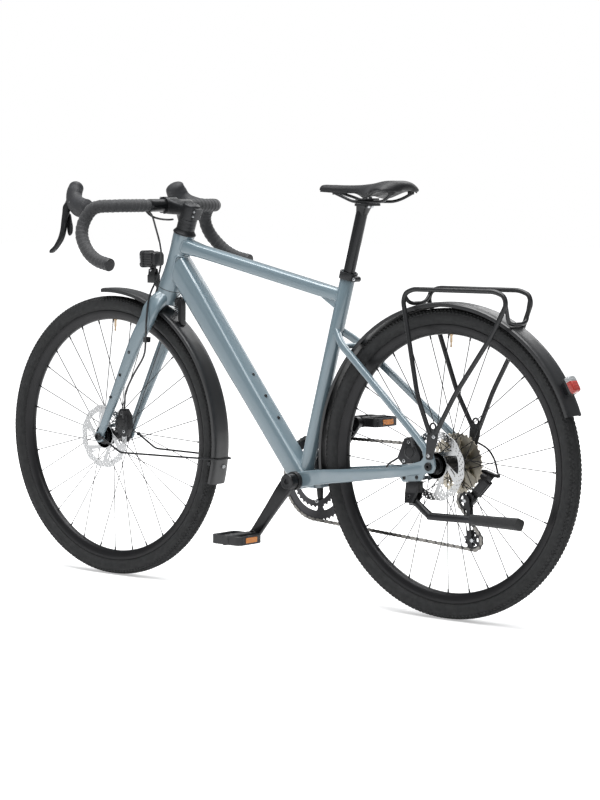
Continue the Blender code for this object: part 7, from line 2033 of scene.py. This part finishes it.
def build_stand():
    """The folded kickstand: a block under the dropout, a bent leg and its rubber foot."""
    outward = stand_point(0, 0, 1) - stand_point(0, 0)
    screws = [bolt(xyz(REAR_AXLE.x + x, .0770, REAR_AXLE.z + z), LEFT, .0046, .0016)
              for x, z in ((.0690, -.0300), (.0330, -.0262))]
    dressed("stand_block", "stand_mount", "black_alloy", 0.0010, [
        ("black_alloy", bolt(stand_point(0, 0, .0122), outward, .0052, .0030)),
        ("black_alloy", merge(*screws))], 3)
    eye = turned([(.0117, -.0070), (.0125, -.0062), (.0125, .0062), (.0117, .0070)], stand_point(0, 0),
                 outward, 40)
    route, sizes = curve_stations([(stand_point(x, down), w, h) for x, down, w, h in (
        (0, 0, .0065, .0090), (-.020, .012, .0068, .0090), (-.056, .033, .0085, .0088),
        (-.068, .036, .0085, .0088), (-.1752, .0345, .0085, .0088))], 5)
    leg = sweep(route, [oval(w, h, 24) for w, h in sizes])
    piece("stand_tube", "stand_leg", [("black_alloy", merge(eye, leg))])
    rings = []
    marks = ((-.1753, .0100, .0114), (-.1762, .0110, .0124), (-.1800, .0112, .0127), (-.2400, .0116, .0136),
             (-.2800, .0121, .0149), (-.3030, .0125, .0160), (-.3052, .0121, .0156), (-.3062, .0105, .0138))
    for x, w, h in marks:
        rings.append([stand_point(x + (.0016 * v / h if x < -.30 else 0), .0345 + v, u)
                      for u, v in rounded(h, w, .0078, 6)])
    piece("stand_sleeve", "stand_foot", [("rubber", loft(rings))], 40.0)


def caliper_form(x, y, z):
    """The piston housing with its slotted cap and its hose neck, and the cooling fins over the pads."""
    housing = turned([(.0190, y - .0080), (.0190, y - .0022), (.0178, y - .0004), (.0146, y + .0006),
                      (.0138, y - .0004), (.0104, y - .0004), (.0096, y + .0008), (.0060, y + .0010)],
                     xyz(x, 0, z), LEFT, 40)
    fins = []
    for k in range(4):
        level = z + .0205 + .0030 * k
        fins.append(sweep([xyz(x - .0150, y - .0035, level), xyz(x + .0110, y - .0035, level)],
                          rounded(.0062, .0008, .0003, 2)))
    neck = sweep([xyz(x - .0080, y - .0060, z + .0120), xyz(x - .0050, y - .0045, z + .0320)],
                 oval(.0080, .0060, 20))
    return merge(housing, neck), merge(*fins)


def build_brakes():
    """Both calipers: place of the piston housing, then of the two mounting screws."""
    for name, node, place, holes in (
            ("front_caliper_body", "front_caliper", (.5620, .0472, .1050), ((.5530, .0840), (.5600, .1290))),
            ("rear_caliper_body", "rear_caliper", (-.3680, .0642, .0950),
             ((-.3500, .0740), (-.3640, .1180)))):
        centre = xyz(*place)
        housing, fins = caliper_form(centre.x, centre.y, centre.z)
        screws = [bolt(xyz(x, centre.y - .0010, z), LEFT, .0046, .0026) for x, z in holes]
        dressed(name, node, "black_alloy", 0.0030, [
            ("steel", merge(*screws)), ("polished_black", housing), ("black_alloy", fins)], 4)


# Panel and operators


def colour_setting(name, description, *shade):
    """A colour on the panel, with its first value in sRGB."""
    return FloatVectorProperty(name=name, description=description, subtype="COLOR", default=srgb(*shade),
                               min=0.0, max=1.0)


def length_setting(name, description, default, least, most):
    """A length on the panel, in metres."""
    return FloatProperty(name=name, description=description, default=default, min=least, max=most,
                         unit="LENGTH")


class BikeSizes(bpy.types.PropertyGroup):
    paint: colour_setting("Frame paint", "Colour of the frame and the fork", 107, 125, 134)
    tyre: colour_setting("Tyre rubber", "Colour of both tyres", 27, 28, 29)
    tape: colour_setting("Bar tape", "Colour of the wound grip tape", 46, 47, 49)
    reflector: colour_setting("Pedal reflectors", "Colour of the pedals' reflectors", 240, 140, 0)
    lens: colour_setting("Rear lens", "Colour of the rear lamp's lens", 214, 76, 68)
    coil_curls: IntProperty(
        name="Coil curls", description="Curls in the coiled light cable", default=12, min=6, max=18)
    tape_turn: length_setting("Tape turn", "Width of one turn of the grip tape", 0.0125, 0.008, 0.03)
    coil_radius: length_setting("Coil radius", "Radius of the coiled cable's curls", 0.0038, 0.002, 0.006)


class Maker:
    """What the operators share: each runs its makers and stops with an error where one leaves nothing."""
    bl_options = {"REGISTER", "UNDO"}
    makers = ()

    def execute(self, context):
        for maker in self.makers:
            before = len(bpy.data.objects)
            maker()
            if len(bpy.data.objects) == before:
                raise RuntimeError(f"{maker.__name__} made nothing")
        return {"FINISHED"}


class MakeStage(Maker, bpy.types.Operator):
    """Place the camera, the lights and the floor"""
    bl_idname, bl_label, makers = "gravel_bike.stage", "Stage", (build_stage,)


class MakeCords(Maker, bpy.types.Operator):
    """Lay the brake hoses, the gear housing and the coiled light cable"""
    bl_idname, bl_label, makers = "gravel_bike.cords", "Hoses and cables", (build_cords,)


class MakeWheels(Maker, bpy.types.Operator):
    """Build both wheels with their tyres and brake discs"""
    bl_idname, bl_label = "gravel_bike.wheels", "Wheels, tyres and discs"
    makers = (build_wheels, build_rotors)


class MakeFrame(Maker, bpy.types.Operator):
    """Build the frame and the fork"""
    bl_idname, bl_label, makers = "gravel_bike.frame", "Frame and fork", (build_frame, build_fork)


class MakeCockpit(Maker, bpy.types.Operator):
    """Build the stem, the handlebar, the wound tape, the hoods and the levers"""
    bl_idname, bl_label = "gravel_bike.cockpit", "Bar and controls"
    makers = (build_stem, build_bar, build_tapes, build_controls)


class MakeSaddle(Maker, bpy.types.Operator):
    """Build the saddle, its rails, the seat post and the collar"""
    bl_idname, bl_label, makers = "gravel_bike.saddle", "Saddle and post", (build_saddle, build_post)


class MakeGears(Maker, bpy.types.Operator):
    """Build the sprockets, cranks, pedals, chain and derailleurs"""
    bl_idname, bl_label = "gravel_bike.gears", "Gears and pedals"
    makers = (build_cassette, build_cranks, build_pedals, build_chain, build_derailleurs)


class MakeCarriers(Maker, bpy.types.Operator):
    """Build the mudguards, the rack and the lamps"""
    bl_idname, bl_label = "gravel_bike.carriers", "Guards, rack, lamps"
    makers = (build_guards, build_rack, build_lamps)


class MakeStand(Maker, bpy.types.Operator):
    """Build the kickstand and the brake calipers"""
    bl_idname, bl_label, makers = "gravel_bike.stand", "Stand and calipers", (build_stand, build_brakes)


OPERATORS = (MakeStage, MakeCords, MakeWheels, MakeFrame, MakeCockpit, MakeSaddle, MakeGears, MakeCarriers,
             MakeStand)


class BikePanel(bpy.types.Panel):
    """The bike's colours and sizes, and a button for each group of pieces"""
    bl_idname, bl_label, bl_category = "VIEW3D_PT_gravel_bike", "Gravel bike", "Gravel bike"
    bl_space_type, bl_region_type = "VIEW_3D", "UI"

    def draw(self, context):
        for name in BikeSizes.__annotations__:
            self.layout.prop(context.scene.gravel_bike, name)
        for operator in OPERATORS:
            self.layout.operator(operator.bl_idname)


def register():
    for kind in (BikeSizes, *OPERATORS, BikePanel):
        bpy.utils.register_class(kind)
    bpy.types.Scene.gravel_bike = PointerProperty(type=BikeSizes)


def unregister():
    del bpy.types.Scene.gravel_bike
    for kind in reversed((BikeSizes, *OPERATORS, BikePanel)):
        bpy.utils.unregister_class(kind)


def main():
    register()
    for operator in OPERATORS:
        getattr(bpy.ops.gravel_bike, operator.bl_idname.split(".")[1])()


if __name__ == "__main__":
    main()
